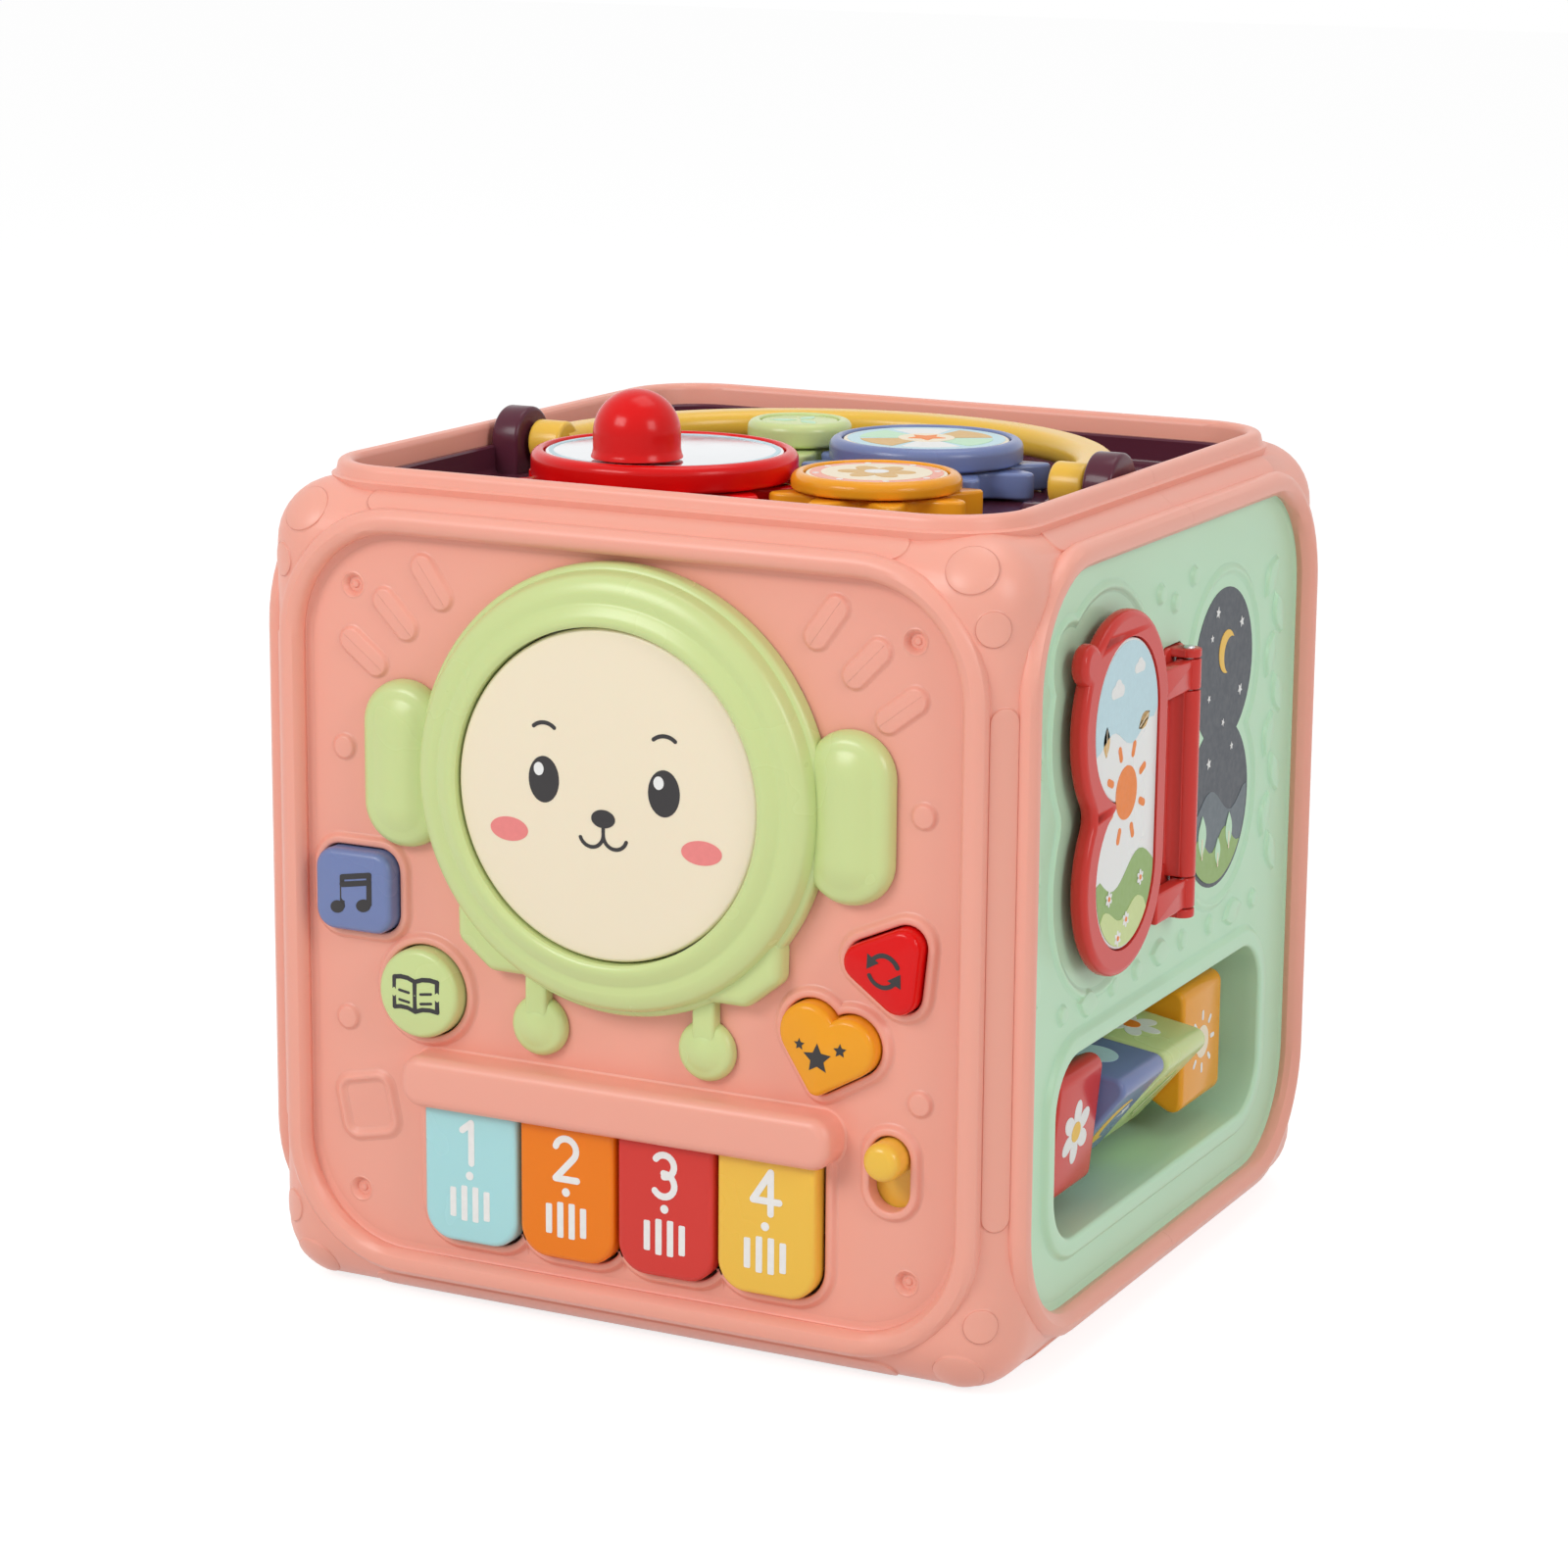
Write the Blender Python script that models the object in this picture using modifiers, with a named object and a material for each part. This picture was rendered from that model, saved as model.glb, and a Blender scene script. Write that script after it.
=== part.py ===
"""Baby activity cube: two rounded half frames that hold six play panels.

Metres, +Z up. The origin is on the floor under the middle of the cube. The front (keys, drum and
buttons) faces -Y, the book and the turning blocks are on +X, the gear tray is on top.
"""

from math import acos, atan2, cos, degrees, hypot, pi, radians, sin, tan

import bmesh
import bpy

# Frame: two half shells that meet at the middle of the cube
FRAME_WIDTH = 0.167
FRAME_HEIGHT = 0.1675
FRAME_WALL = 0.0026
EDGE_RADIUS = 0.013
EDGE_SEGMENTS = 4
HOLLOW_SEGMENTS = 2
PARTING_GAP = 0.0003
OPENING_WIDTH = 0.145
OPENING_HEIGHT = 0.1475
OPENING_CENTRE_Z = 0.085
OPENING_CORNER = 0.022
OPENING_RELIEF = 0.0008
BEAD_RADIUS = 0.0026
BEAD_RISE = 0.0015
LIP_OPENING = 0.1455
LIP_WALL = 0.0034
LIP_RISE = 0.0031
LIP_CORNER = 0.018
LIP_EDGE = 0.0012
LIP_ROOT = 0.0075
BASE_OPENING = 0.124
BASE_CORNER = 0.016
OVERRUN = 0.004
SINK = 0.0006

# Gaps between pieces
SEAT_GAP = 0.0003
RUNNING_GAP = 0.00035
SIDE_GAP = 0.0004

# Side panels
PANEL_DEPTH = 0.0028
PANEL_WALL = 0.0024
PANEL_SKIRT = 0.006
PANEL_SKIRT_WALL = 0.0016

# Raised rims around holes
RIM_WIDTH = 0.0019
RIM_RISE = 0.0012

# Drum: a ring shaped like a head with two ear pads and two feet, and a round pad that is patted
DRUM_V = 0.0277
DRUM_RING_RADIUS = 0.0448
DRUM_PAD_RADIUS = 0.0328
DRUM_RISE = 0.0066
DRUM_PLATE = 0.0036
DRUM_PLATE_EDGE = 0.0014
DRUM_RING_INSET = 0.0012
DRUM_RING_STEPS = 5
PAD_RISE = 0.005
PAD_DOME = 0.0009
PAD_CROWN_SHARE = 0.6
PAD_WALL = 0.002
PAD_FLANGE_RADIUS = 0.0352
PAD_FLANGE_WALL = 0.0012
DRUM_POCKET_RADIUS = 0.0362
DRUM_POCKET_HEIGHT = 0.0034
COLLAR_TOP_V = 0.0035
COLLAR_TOP_U = 0.0362
COLLAR_SHOULDER_V = -0.0058
COLLAR_SHOULDER_U = 0.036
COLLAR_FOOT_V = -0.0118
COLLAR_FOOT_U = 0.0285
COLLAR_CORNER = 0.0032
COLLAR_RISE_SHARE = 0.9
EAR_U = 0.0492
EAR_WIDTH = 0.0185
EAR_HEIGHT = 0.034
EAR_RISE = 0.0052
EAR_CORNER = 0.009
EAR_EDGE = 0.003
FOOT_U = 0.0187
FOOT_V = -0.0222
FOOT_RADIUS = 0.0062
FOOT_RISE = 0.0034
FOOT_EDGE = 0.0016
STEM_WIDTH = 0.005
STEM_TOP_V = -0.0105
STEM_RISE_SHARE = 0.8

# Piano keys, hinged on one rod under a hood
KEY_COUNT = 4
KEY_PITCH = 0.0222
KEY_WIDTH = 0.0215
KEY_TOP_V = -0.0342
KEY_LOW_V = -0.0692
KEY_CORNER = 0.0062
KEY_RISE = 0.0014
KEY_WALL = 0.0046
KEY_EDGE = 0.0012
KEY_ROD_RADIUS = 0.0014
KEY_ROD_V = -0.0372
KEY_ROD_DEPTH = 0.0058
KEY_ARM_WIDTH = 0.012
KEY_EYE_RADIUS = 0.0032
ROD_LUG_WALL = 0.0024
ROD_LUG_MARGIN = 0.0022
HOOD_WIDTH = 0.0962
HOOD_TOP_V = -0.0308
HOOD_LOW_V = -0.0415
HOOD_RISE = 0.0044
HOOD_WALL = 0.002
HOOD_CORNER = 0.0045
HOOD_EDGE = 0.0022
BAY_GAP = 0.0006

# Buttons beside the drum
BUTTON_RISE = 0.0052
BUTTON_EDGE = 0.0014
BUTTON_GAP = 0.00035
FLANGE_WIDTH = 0.0012
FLANGE_WALL = 0.0014
SQUARE_U = -0.0602
SQUARE_V = 0.0008
SQUARE_WIDTH = 0.0178
SQUARE_HEIGHT = 0.0168
SQUARE_CORNER = 0.0042
ROUND_U = -0.0452
ROUND_V = -0.0186
ROUND_RADIUS = 0.0092
TRIANGLE_U = 0.0583
TRIANGLE_V = -0.0002
TRIANGLE_REACH = 0.0092
TRIANGLE_CORNER = 0.0038
TRIANGLE_TURN_DEGREES = 174.0
HEART_U = 0.0452
HEART_V = -0.0186
HEART_WIDTH = 0.0206
HEART_HEIGHT = 0.0176
HEART_TURN_DEGREES = -14.0
HEART_LOBE_SHARE = 0.29
HEART_TIP_SHARE = 0.1

# Sliding switch
SWITCH_U = 0.0583
SWITCH_V = -0.0413
SWITCH_SLOT_WIDTH = 0.0086
SWITCH_SLOT_HEIGHT = 0.0152
SWITCH_KNOB_RADIUS = 0.0039
SWITCH_KNOB_RISE = 0.0036
SWITCH_KNOB_EDGE = 0.0016
SWITCH_TRAVEL = 0.0066
SWITCH_PLATE_WIDTH = 0.0112
SWITCH_PLATE_WALL = 0.0014
SWITCH_PLATE_OVERLAP = 0.0012

# Book leaf on the right panel
BOOK_U = 0.001
BOOK_V = 0.022
BOOK_AXIS_RISE = 0.0009
BOOK_PIN_RADIUS = 0.0012
BOOK_KNUCKLE_RADIUS = 0.0026
SPINE_WIDTH = 0.0112
SPINE_HEIGHT = 0.0558
SPINE_WALL = 0.0017
SPINE_RECESS = 0.0012
SPINE_END_WALL = 0.0018
SPINE_CORNER = 0.002
LEAF_WALL = 0.0036
LEAF_HEAD_RADIUS = 0.0217
LEAF_HEAD_U = -0.036
LEAF_HEAD_V = 0.0197
LEAF_BODY_RADIUS = 0.0205
LEAF_BODY_U = -0.0352
LEAF_BODY_V = -0.0111
LEAF_ARM_HEIGHT = 0.0062
LEAF_ARM_ROOT_SHARE = 0.6
LEAF_EAR_RADIUS = 0.0042
LEAF_EAR_REACH = 0.0222
LEAF_EAR_DEGREES = 142.0
LEAF_EDGE = 0.0012
LEAF_BORDER = 0.0052
LEAF_INSERT_WALL = 0.0012

# Turning blocks in the lower window of the right panel
WINDOW_V = -0.0423
WINDOW_WIDTH = 0.112
WINDOW_HEIGHT = 0.0375
WINDOW_CORNER = 0.011
WINDOW_RIM = 0.0042
WINDOW_DEPTH = 0.0288
POCKET_WALL = 0.002
BLOCK_COLOURS = ("red", "blue", "green", "orange")
BLOCK_TURN_DEGREES = (6.0, 38.0, 40.0, 0.0)
BLOCK_REACH = 0.0152
BLOCK_CORNER = 0.0026
BLOCK_EDGE = 0.0009
BLOCK_LENGTH = 0.0222
BLOCK_END_GAP = 0.0008
BLOCK_BORE_GAP = 0.0003
AXLE_RADIUS = 0.0017
AXLE_DEPTH = 0.0154
AXLE_SOCKET_DEPTH = 0.0013

# Gear tray on top
TRAY_GAP = 0.0004
TRAY_FLOOR_DEPTH = 0.0073
TRAY_WALL = 0.002
TRAY_RIM_DEPTH = 0.0013
POST_RADIUS = 0.0034
POST_HEIGHT = 0.0053
GEAR_MODULE_SHARE = 0.07475
GEAR_BACKLASH = 0.0004
GEAR_TOOTH_UP = 0.0036
GEAR_TOOTH_DOWN = 0.0042
GEAR_TOOTH_POWER = 1.3
GEAR_TOOTH_STEPS = 6
GEAR_START_DEGREES = 4.0
GEAR_FLOOR_GAP = 0.0005
GEAR_THICKNESS = 0.0055
GEAR_CAP_LIFT = 0.0005
GEAR_NECK_INSET = 0.0006
CRANK_GEAR_SHARES = (-0.289, -0.5449)
GEAR_NAMES = ("crank_gear", "orange_gear", "blue_gear", "green_gear")
GEAR_TEETH = (12, 8, 10, 6)
GEAR_STEP_DEGREES = (7.0, 101.0, 163.3)
GEAR_CAP_SHARES = (1.0074, 0.9556, 0.9022, 0.8296)
CRANK_CAP_RISE = 0.006
ORANGE_CAP_RISE = 0.004
BLUE_CAP_RISE = 0.0054
GREEN_CAP_RISE = 0.0056
GEAR_CAP_EDGE = 0.0018
GEAR_CAP_EDGE_SHARE = 0.3
GEAR_DISC_BORDER = 0.0026
GEAR_DISC_WALL = 0.0012
GEAR_DISC_SINK = 0.0004
KNOB_RADIUS = 0.0088
KNOB_SIDE = 0.0048
KNOB_REACH = 0.0158
KNOB_DEGREES = -82.0
KNOB_STUD_RADIUS = 0.003
KNOB_STUD_DEPTH = 0.003

# Carry handle, an arc that lies round the gears
HANDLE_RADIUS = 0.0602
HANDLE_Y = -0.004
HANDLE_PIVOT_LIFT = 0.0066
HANDLE_WIDTH = 0.0088
HANDLE_HEIGHT = 0.0062
HANDLE_EYE_RADIUS = 0.0046
HANDLE_EYE_WIDTH = 0.0076
HANDLE_EDGE = 0.0026
HANDLE_PIN_RADIUS = 0.0016
HANDLE_STEPS = 12
HANDLE_EAR_WALL = 0.0064
HANDLE_PIN_LENGTH = 0.012
HANDLE_EAR_RADIUS = 0.0072

# Clock and counting beads on the left panel
CLOCK_V = 0.022
CLOCK_RADIUS = 0.037
CLOCK_LINE = 0.003
CLOCK_HUB_RADIUS = 0.0034
HAND_HUB_RADIUS = 0.0052
HAND_WALL = 0.0016
HAND_HEAD_WIDTH = 0.0042
MINUTE_HAND_LENGTH = 0.0275
HOUR_HAND_LENGTH = 0.0185
HAND_CAP_RADIUS = 0.0056
HAND_CAP_WALL = 0.0022
HOUR_HAND_DEGREES = 150.0
MINUTE_HAND_DEGREES = 60.0
COUNTER_V = -0.0462
COUNTER_WIDTH = 0.098
COUNTER_HEIGHT = 0.029
COUNTER_CORNER = 0.012
COUNTER_DEPTH = 0.016
COUNTER_RIM = 0.003
COUNTER_ROD_RADIUS = 0.0016
COUNTER_ROD_DEPTH = 0.0078
BEAD_COUNT = 3
BEAD_OUTER_RADIUS = 0.0095
BEAD_LENGTH = 0.0165
BEAD_PITCH = 0.03
BEAD_EDGE = 0.004
BEAD_COLOURS = ("red", "yellow", "blue")

# Flower spinner and slider on the back panel
SPINNER_V = 0.0215
SPINNER_PETALS = 6
SPINNER_RADIUS = 0.0335
SPINNER_WAVE = 0.0062
SPINNER_WALL = 0.0045
SPINNER_EDGE = 0.0018
SPINNER_HUB_RADIUS = 0.0042
SPINNER_CAP_RADIUS = 0.011
SPINNER_CAP_WALL = 0.0026
TRACK_V = -0.0445
TRACK_LENGTH = 0.088
TRACK_HEIGHT = 0.0072
TRACK_KNOB_RADIUS = 0.009
TRACK_KNOB_RISE = 0.005
TRACK_KNOB_EDGE = 0.0022
TRACK_FOOT_WALL = 0.0014
TRACK_FOOT_OVERLAP = 0.0022

# Base: panel, battery bay and door
BASE_WALL = 0.0024
BASE_SKIRT = 0.007
BAY_Y = 0.0305
BATTERY_COUNT = 3
BATTERY_RADIUS = 0.0071
BATTERY_LENGTH = 0.0498
BATTERY_GAP = 0.0004
BATTERY_NUB_RADIUS = 0.0027
BATTERY_NUB_LENGTH = 0.001
BATTERY_Z = 0.0092
BAY_END_GAP = 0.0015
BAY_WALL = 0.0018
DOOR_LOW_Z = 0.0002
DOOR_WALL = 0.0016
DOOR_LEDGE = 0.002
DOOR_CORNER = 0.004
SPEAKER_Y = -0.031
SPEAKER_RADIUS = 0.0195
SPEAKER_MAGNET_RADIUS = 0.011
SPEAKER_RIM_WALL = 0.0016
SPEAKER_CONE_HEIGHT = 0.0045
SPEAKER_MAGNET_HEIGHT = 0.0055
GRILLE_HOLE_RADIUS = 0.0021
GRILLE_RINGS = (1, 8)
GRILLE_STEP = 0.009

# Circuit board behind the buttons
BOARD_WIDTH = 0.132
BOARD_HEIGHT = 0.044
BOARD_V = -0.003
BOARD_WALL = 0.0016
BOARD_DEPTH = 0.0125
BOARD_POST_RADIUS = 0.0026
BOARD_POST_INSET = 0.005

FRONT_AXIS_TURN = radians(90)
SIDE_TURNS = {"front": 0, "right": 90, "back": 180, "left": -90}
FACE_OFFSET = FRAME_WIDTH / 2
PANEL_FACE = -PANEL_DEPTH
PANEL_BACK = PANEL_FACE - PANEL_WALL
PANEL_REAR = PANEL_FACE - PANEL_SKIRT
LIP_TOP = FRAME_HEIGHT + LIP_RISE
TRAY_FLOOR_Z = FRAME_HEIGHT - TRAY_FLOOR_DEPTH
TRAY_RIM_Z = FRAME_HEIGHT - TRAY_RIM_DEPTH
POST_TOP_Z = TRAY_FLOOR_Z + POST_HEIGHT
GEAR_LOW_Z = TRAY_FLOOR_Z + GEAR_FLOOR_GAP
GEAR_TOOTH_TOP_Z = GEAR_LOW_Z + GEAR_THICKNESS
GEAR_CAP_RISES = (CRANK_CAP_RISE, ORANGE_CAP_RISE, BLUE_CAP_RISE, GREEN_CAP_RISE)
GEAR_MODULE = HANDLE_RADIUS * GEAR_MODULE_SHARE
HANDLE_PIVOT_Z = TRAY_FLOOR_Z + HANDLE_PIVOT_LIFT

COLOURS = {
    "pink": ((0.87, 0.37, 0.28), 0.42),
    "green": ((0.61, 0.75, 0.30), 0.4),
    "cream": ((0.87, 0.78, 0.60), 0.45),
    "cyan": ((0.40, 0.74, 0.74), 0.3),
    "orange": ((0.88, 0.28, 0.02), 0.3),
    "red": ((0.76, 0.03, 0.02), 0.28),
    "coral": ((0.76, 0.14, 0.09), 0.3),
    "yellow": ((0.85, 0.55, 0.08), 0.3),
    "blue": ((0.20, 0.25, 0.49), 0.35),
    "mint": ((0.48, 0.68, 0.49), 0.42),
    "sky": ((0.33, 0.55, 0.72), 0.42),
    "lemon": ((0.83, 0.66, 0.27), 0.42),
    "plum": ((0.13, 0.03, 0.05), 0.35),
    "white": ((0.8, 0.8, 0.78), 0.3),
    "mirror": ((0.75, 0.76, 0.78), 0.15),
    "board": ((0.05, 0.25, 0.1), 0.5),
    "steel": ((0.6, 0.6, 0.62), 0.3),
    "black": ((0.03, 0.03, 0.03), 0.5),
    "cell": ((0.72, 0.42, 0.1), 0.35),
}
METALS = {"steel", "mirror"}


def remove_old_objects():
    for obj in list(bpy.data.objects):
        bpy.data.objects.remove(obj, do_unlink=True)


def new_collection(name):
    made = bpy.data.collections.new(name)
    bpy.context.scene.collection.children.link(made)
    return made


def make_paints():
    paints = {}
    for name, (colour, roughness) in COLOURS.items():
        paint = bpy.data.materials.new(name)
        paint.use_nodes = True
        shader = paint.node_tree.nodes["Principled BSDF"]
        shader.inputs["Base Color"].default_value = (*colour, 1)
        shader.inputs["Roughness"].default_value = roughness
        shader.inputs["Metallic"].default_value = 1 if name in METALS else 0
        paint.diffuse_color = (*colour, 1)
        paints[name] = paint
    return paints


remove_old_objects()
MODEL = new_collection("activity_cube")
CUTTERS = new_collection("cutters")
PAINTS = make_paints()


def add_object(name, mesh, paint=None, side=None, at=(0, 0, 0), turn=(0, 0, 0)):
    """Puts a mesh in the model, placed in the frame of one side of the cube."""
    obj = bpy.data.objects.new(name, mesh)
    MODEL.objects.link(obj)
    obj.parent = side
    obj.location = at
    obj.rotation_euler = turn
    if paint:
        mesh.materials.append(PAINTS[paint])
    return obj


def hide_tool(tool):
    MODEL.objects.unlink(tool)
    CUTTERS.objects.link(tool)
    tool.hide_render = True
    tool.display_type = "WIRE"


def boolean(target, tool, operation):
    modifier = target.modifiers.new(tool.name, "BOOLEAN")
    modifier.operation = operation
    modifier.object = tool
    if not tool.hide_render:
        hide_tool(tool)


def cut(target, tool):
    boolean(target, tool, "DIFFERENCE")


def fuse(target, tool):
    boolean(target, tool, "UNION")


def round_edges(obj, width, segments=2, angle=50):
    """Rounds the sharp edges of a piece, and leaves the facets of its round stretches."""
    bevel = obj.modifiers.new("edges", "BEVEL")
    bevel.width = width
    bevel.segments = segments
    bevel.limit_method = "ANGLE"
    bevel.angle_limit = radians(angle)
    bevel.use_clamp_overlap = True


def smooth(obj, angle=35):
    obj.data.shade_smooth()
    obj.data.set_sharp_from_angle(angle=radians(angle))
    return obj


def baked_mesh(obj):
    """The evaluated mesh of an object, in the object's own frame. The object goes."""
    bpy.context.view_layer.update()
    graph = bpy.context.evaluated_depsgraph_get()
    mesh = bpy.data.meshes.new_from_object(obj.evaluated_get(graph))
    bpy.data.objects.remove(obj, do_unlink=True)
    return mesh


def welded(mesh):
    """Joins the loose caps of a mesh that was a curve."""
    shape = bmesh.new()
    shape.from_mesh(mesh)
    bmesh.ops.remove_doubles(shape, verts=shape.verts, dist=SINK / 100)
    bmesh.ops.recalc_face_normals(shape, faces=shape.faces)
    shape.to_mesh(mesh)
    shape.free()
    return mesh


def slab(name, loops, low, high, paint=None, side=None, at=(0, 0, 0), turn=(0, 0, 0)):
    """A flat outline with any holes, from low to high along its own Z."""
    curve = bpy.data.curves.new(name, "CURVE")
    curve.dimensions = "2D"
    curve.fill_mode = "BOTH"
    curve.extrude = (high - low) / 2
    for loop in loops:
        spline = curve.splines.new("POLY")
        spline.points.add(len(loop) - 1)
        for point, (u, v) in zip(spline.points, loop):
            point.co = (u, v, 0, 1)
        spline.use_cyclic_u = True
    mesh = welded(baked_mesh(add_object(name + "_outline", curve)))
    for vertex in mesh.vertices:
        vertex.co.z += (low + high) / 2
    return smooth(add_object(name, mesh, paint, side, at, turn))


def tube(name, points, radius, cyclic=False, sides=1):
    """A mesh tube along points, with filled ends."""
    curve = bpy.data.curves.new(name, "CURVE")
    curve.dimensions = "3D"
    curve.bevel_depth = radius
    curve.bevel_resolution = sides
    curve.use_fill_caps = True
    spline = curve.splines.new("POLY")
    spline.points.add(len(points) - 1)
    for point, place in zip(spline.points, points):
        point.co = (*place, 1)
    spline.use_cyclic_u = cyclic
    return welded(baked_mesh(add_object(name + "_path", curve)))


def turned(name, profile, paint=None, side=None, at=(0, 0, 0), turn=(0, 0, 0), steps=32, ring=False):
    """A profile of (radius, height) points, outer side downwards, turned about its own Z."""
    mesh = bpy.data.meshes.new(name)
    edges = [(i, i + 1) for i in range(len(profile) - 1)]
    if ring:
        edges.append((len(profile) - 1, 0))
    mesh.from_pydata([(r, 0, z) for r, z in profile], edges, [])
    obj = add_object(name + "_profile", mesh)
    screw = obj.modifiers.new("turn", "SCREW")
    screw.steps = steps
    screw.render_steps = steps
    screw.use_merge_vertices = True
    screw.merge_threshold = SINK / 100
    return smooth(add_object(name, welded(baked_mesh(obj)), paint, side, at, turn))


def rod(name, radius, low, high, paint=None, side=None, at=(0, 0, 0), turn=(0, 0, 0), sides=20):
    """A cylinder from low to high along its own Z."""
    mesh = bpy.data.meshes.new(name)
    shape = bmesh.new()
    bmesh.ops.create_cone(
        shape, cap_ends=True, segments=sides, radius1=radius, radius2=radius, depth=high - low
    )
    bmesh.ops.translate(shape, verts=shape.verts, vec=(0, 0, (low + high) / 2))
    shape.to_mesh(mesh)
    shape.free()
    return smooth(add_object(name, mesh, paint, side, at, turn))


def block(name, low, high, paint=None, side=None, at=(0, 0, 0), turn=(0, 0, 0)):
    """A box between two corners."""
    mesh = bpy.data.meshes.new(name)
    shape = bmesh.new()
    bmesh.ops.create_cube(shape, size=1)
    for vertex in shape.verts:
        vertex.co = [a + (b - a) * (c + 0.5) for a, b, c in zip(low, high, vertex.co)]
    shape.to_mesh(mesh)
    shape.free()
    return add_object(name, mesh, paint, side, at, turn)


def arc(centre, radius, start, end, steps):
    """Points on an arc, both ends included; angles in degrees."""
    points = []
    for i in range(steps + 1):
        angle = radians(start + (end - start) * i / steps)
        points.append((centre[0] + radius * cos(angle), centre[1] + radius * sin(angle)))
    return points


def rounded_rect(width, height, corner, steps=4, centre=(0, 0)):
    u = width / 2 - corner
    v = height / 2 - corner
    points = []
    for su, sv, start in ((1, 1, 0), (-1, 1, 90), (-1, -1, 180), (1, -1, 270)):
        middle = (centre[0] + su * u, centre[1] + sv * v)
        points += arc(middle, corner, start, start + 90, steps)
    return points


def circle(radius, steps=28, centre=(0, 0)):
    return arc(centre, radius, 0, 360, steps)[:-1]


def turned_points(points, angle, centre=(0, 0)):
    """Points turned about the origin, then moved by centre."""
    c = cos(radians(angle))
    s = sin(radians(angle))
    return [(centre[0] + u * c - v * s, centre[1] + u * s + v * c) for u, v in points]


def rounded_triangle(reach, corner, steps=4, grow=0.0):
    """A triangle with one corner along +u; reach is from the middle to a rounded corner's tip."""
    points = []
    for angle in (0, 120, 240):
        a = radians(angle)
        middle = ((reach - corner) * cos(a), (reach - corner) * sin(a))
        points += arc(middle, corner + grow, angle - 60, angle + 60, steps)
    return points


def heart(width, height, grow=0.0):
    """Two round lobes whose sides run down to a rounded tip."""
    lobe = width * HEART_LOBE_SHARE
    tip = width * HEART_TIP_SHARE
    lobe_u = width / 2 - lobe
    lobe_v = height / 2 - lobe
    tip_v = tip - height / 2
    reach = hypot(lobe_u, lobe_v - tip_v)
    start = degrees(atan2(lobe_v - tip_v, lobe_u) - acos((tip - lobe) / reach))
    notch = degrees(acos(-lobe_u / (lobe + grow)))
    points = arc((lobe_u, lobe_v), lobe + grow, start, notch, 6)
    points += arc((-lobe_u, lobe_v), lobe + grow, 180 - notch, 180 - start, 6)[1:]
    points += arc((0, tip_v), tip + grow, 180 - start, 360 + start, 3)
    return points


def crossings(centre, radius, other, other_radius):
    """The angles, in degrees about centre, at which a second circle crosses the first."""
    du = other[0] - centre[0]
    dv = other[1] - centre[1]
    apart = hypot(du, dv)
    spread = acos((radius**2 + apart**2 - other_radius**2) / (2 * radius * apart))
    middle = atan2(dv, du)
    return degrees(middle - spread) % 360, degrees(middle + spread) % 360


def filleted(points, radius, steps=3):
    """A polygon, listed anticlockwise, with every corner rounded."""
    result = []
    for i, corner in enumerate(points):
        before = points[i - 1]
        after = points[(i + 1) % len(points)]
        start = atan2(corner[1] - before[1], corner[0] - before[0])
        end = atan2(after[1] - corner[1], after[0] - corner[0])
        swing = (end - start + pi) % (2 * pi) - pi
        back = radius * abs(tan(swing / 2))
        first = (corner[0] - back * cos(start), corner[1] - back * sin(start))
        way = 1 if swing > 0 else -1
        centre = (first[0] - way * radius * sin(start), first[1] + way * radius * cos(start))
        turn = degrees(start) - 90 * way
        result += arc(centre, radius, turn, turn + degrees(swing), steps)
    return result


def side_frame(name, at, turn):
    """An empty whose +Z points out of one side of the cube."""
    empty = bpy.data.objects.new(name, None)
    MODEL.objects.link(empty)
    empty.location = at
    empty.rotation_euler = turn
    return empty


def make_side_frames():
    sides = {}
    for name, angle in SIDE_TURNS.items():
        out = radians(angle - 90)
        at = (FACE_OFFSET * cos(out), FACE_OFFSET * sin(out), OPENING_CENTRE_Z)
        sides[name] = side_frame(name + "_side", at, (FRONT_AXIS_TURN, 0, radians(angle)))
    sides["top"] = side_frame("top_side", (0, 0, 0), (0, 0, 0))
    return sides


SIDES = make_side_frames()


def rounded_cube(name, inset, radius, segments):
    """The frame's rounded cube, smaller by inset on every side."""
    half = FRAME_WIDTH / 2 - inset
    obj = block(name, (-half, -half, inset), (half, half, FRAME_HEIGHT - inset), "pink")
    bevel = obj.modifiers.new("edges", "BEVEL")
    bevel.width = radius
    bevel.segments = segments
    bevel.limit_method = "NONE"
    return obj


def opening_outline(grow=0.0):
    return rounded_rect(
        OPENING_WIDTH + 2 * grow, OPENING_HEIGHT + 2 * grow, OPENING_CORNER + grow, 4
    )


def bead(side_name):
    """The round bead that borders one side's opening."""
    points = [(u, v, BEAD_RISE - BEAD_RADIUS) for u, v in opening_outline(BEAD_RADIUS)]
    mesh = tube("bead", points, BEAD_RADIUS, cyclic=True)
    return add_object(side_name + "_bead", mesh, None, SIDES[side_name])


def top_lip():
    outer = LIP_OPENING + 2 * LIP_WALL
    loops = [
        rounded_rect(outer, outer, LIP_CORNER),
        rounded_rect(LIP_OPENING, LIP_OPENING, LIP_CORNER - LIP_WALL),
    ]
    lip = slab("top_lip", loops, LIP_TOP - LIP_ROOT, LIP_TOP)
    round_edges(lip, LIP_EDGE, 1)
    return lip


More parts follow.
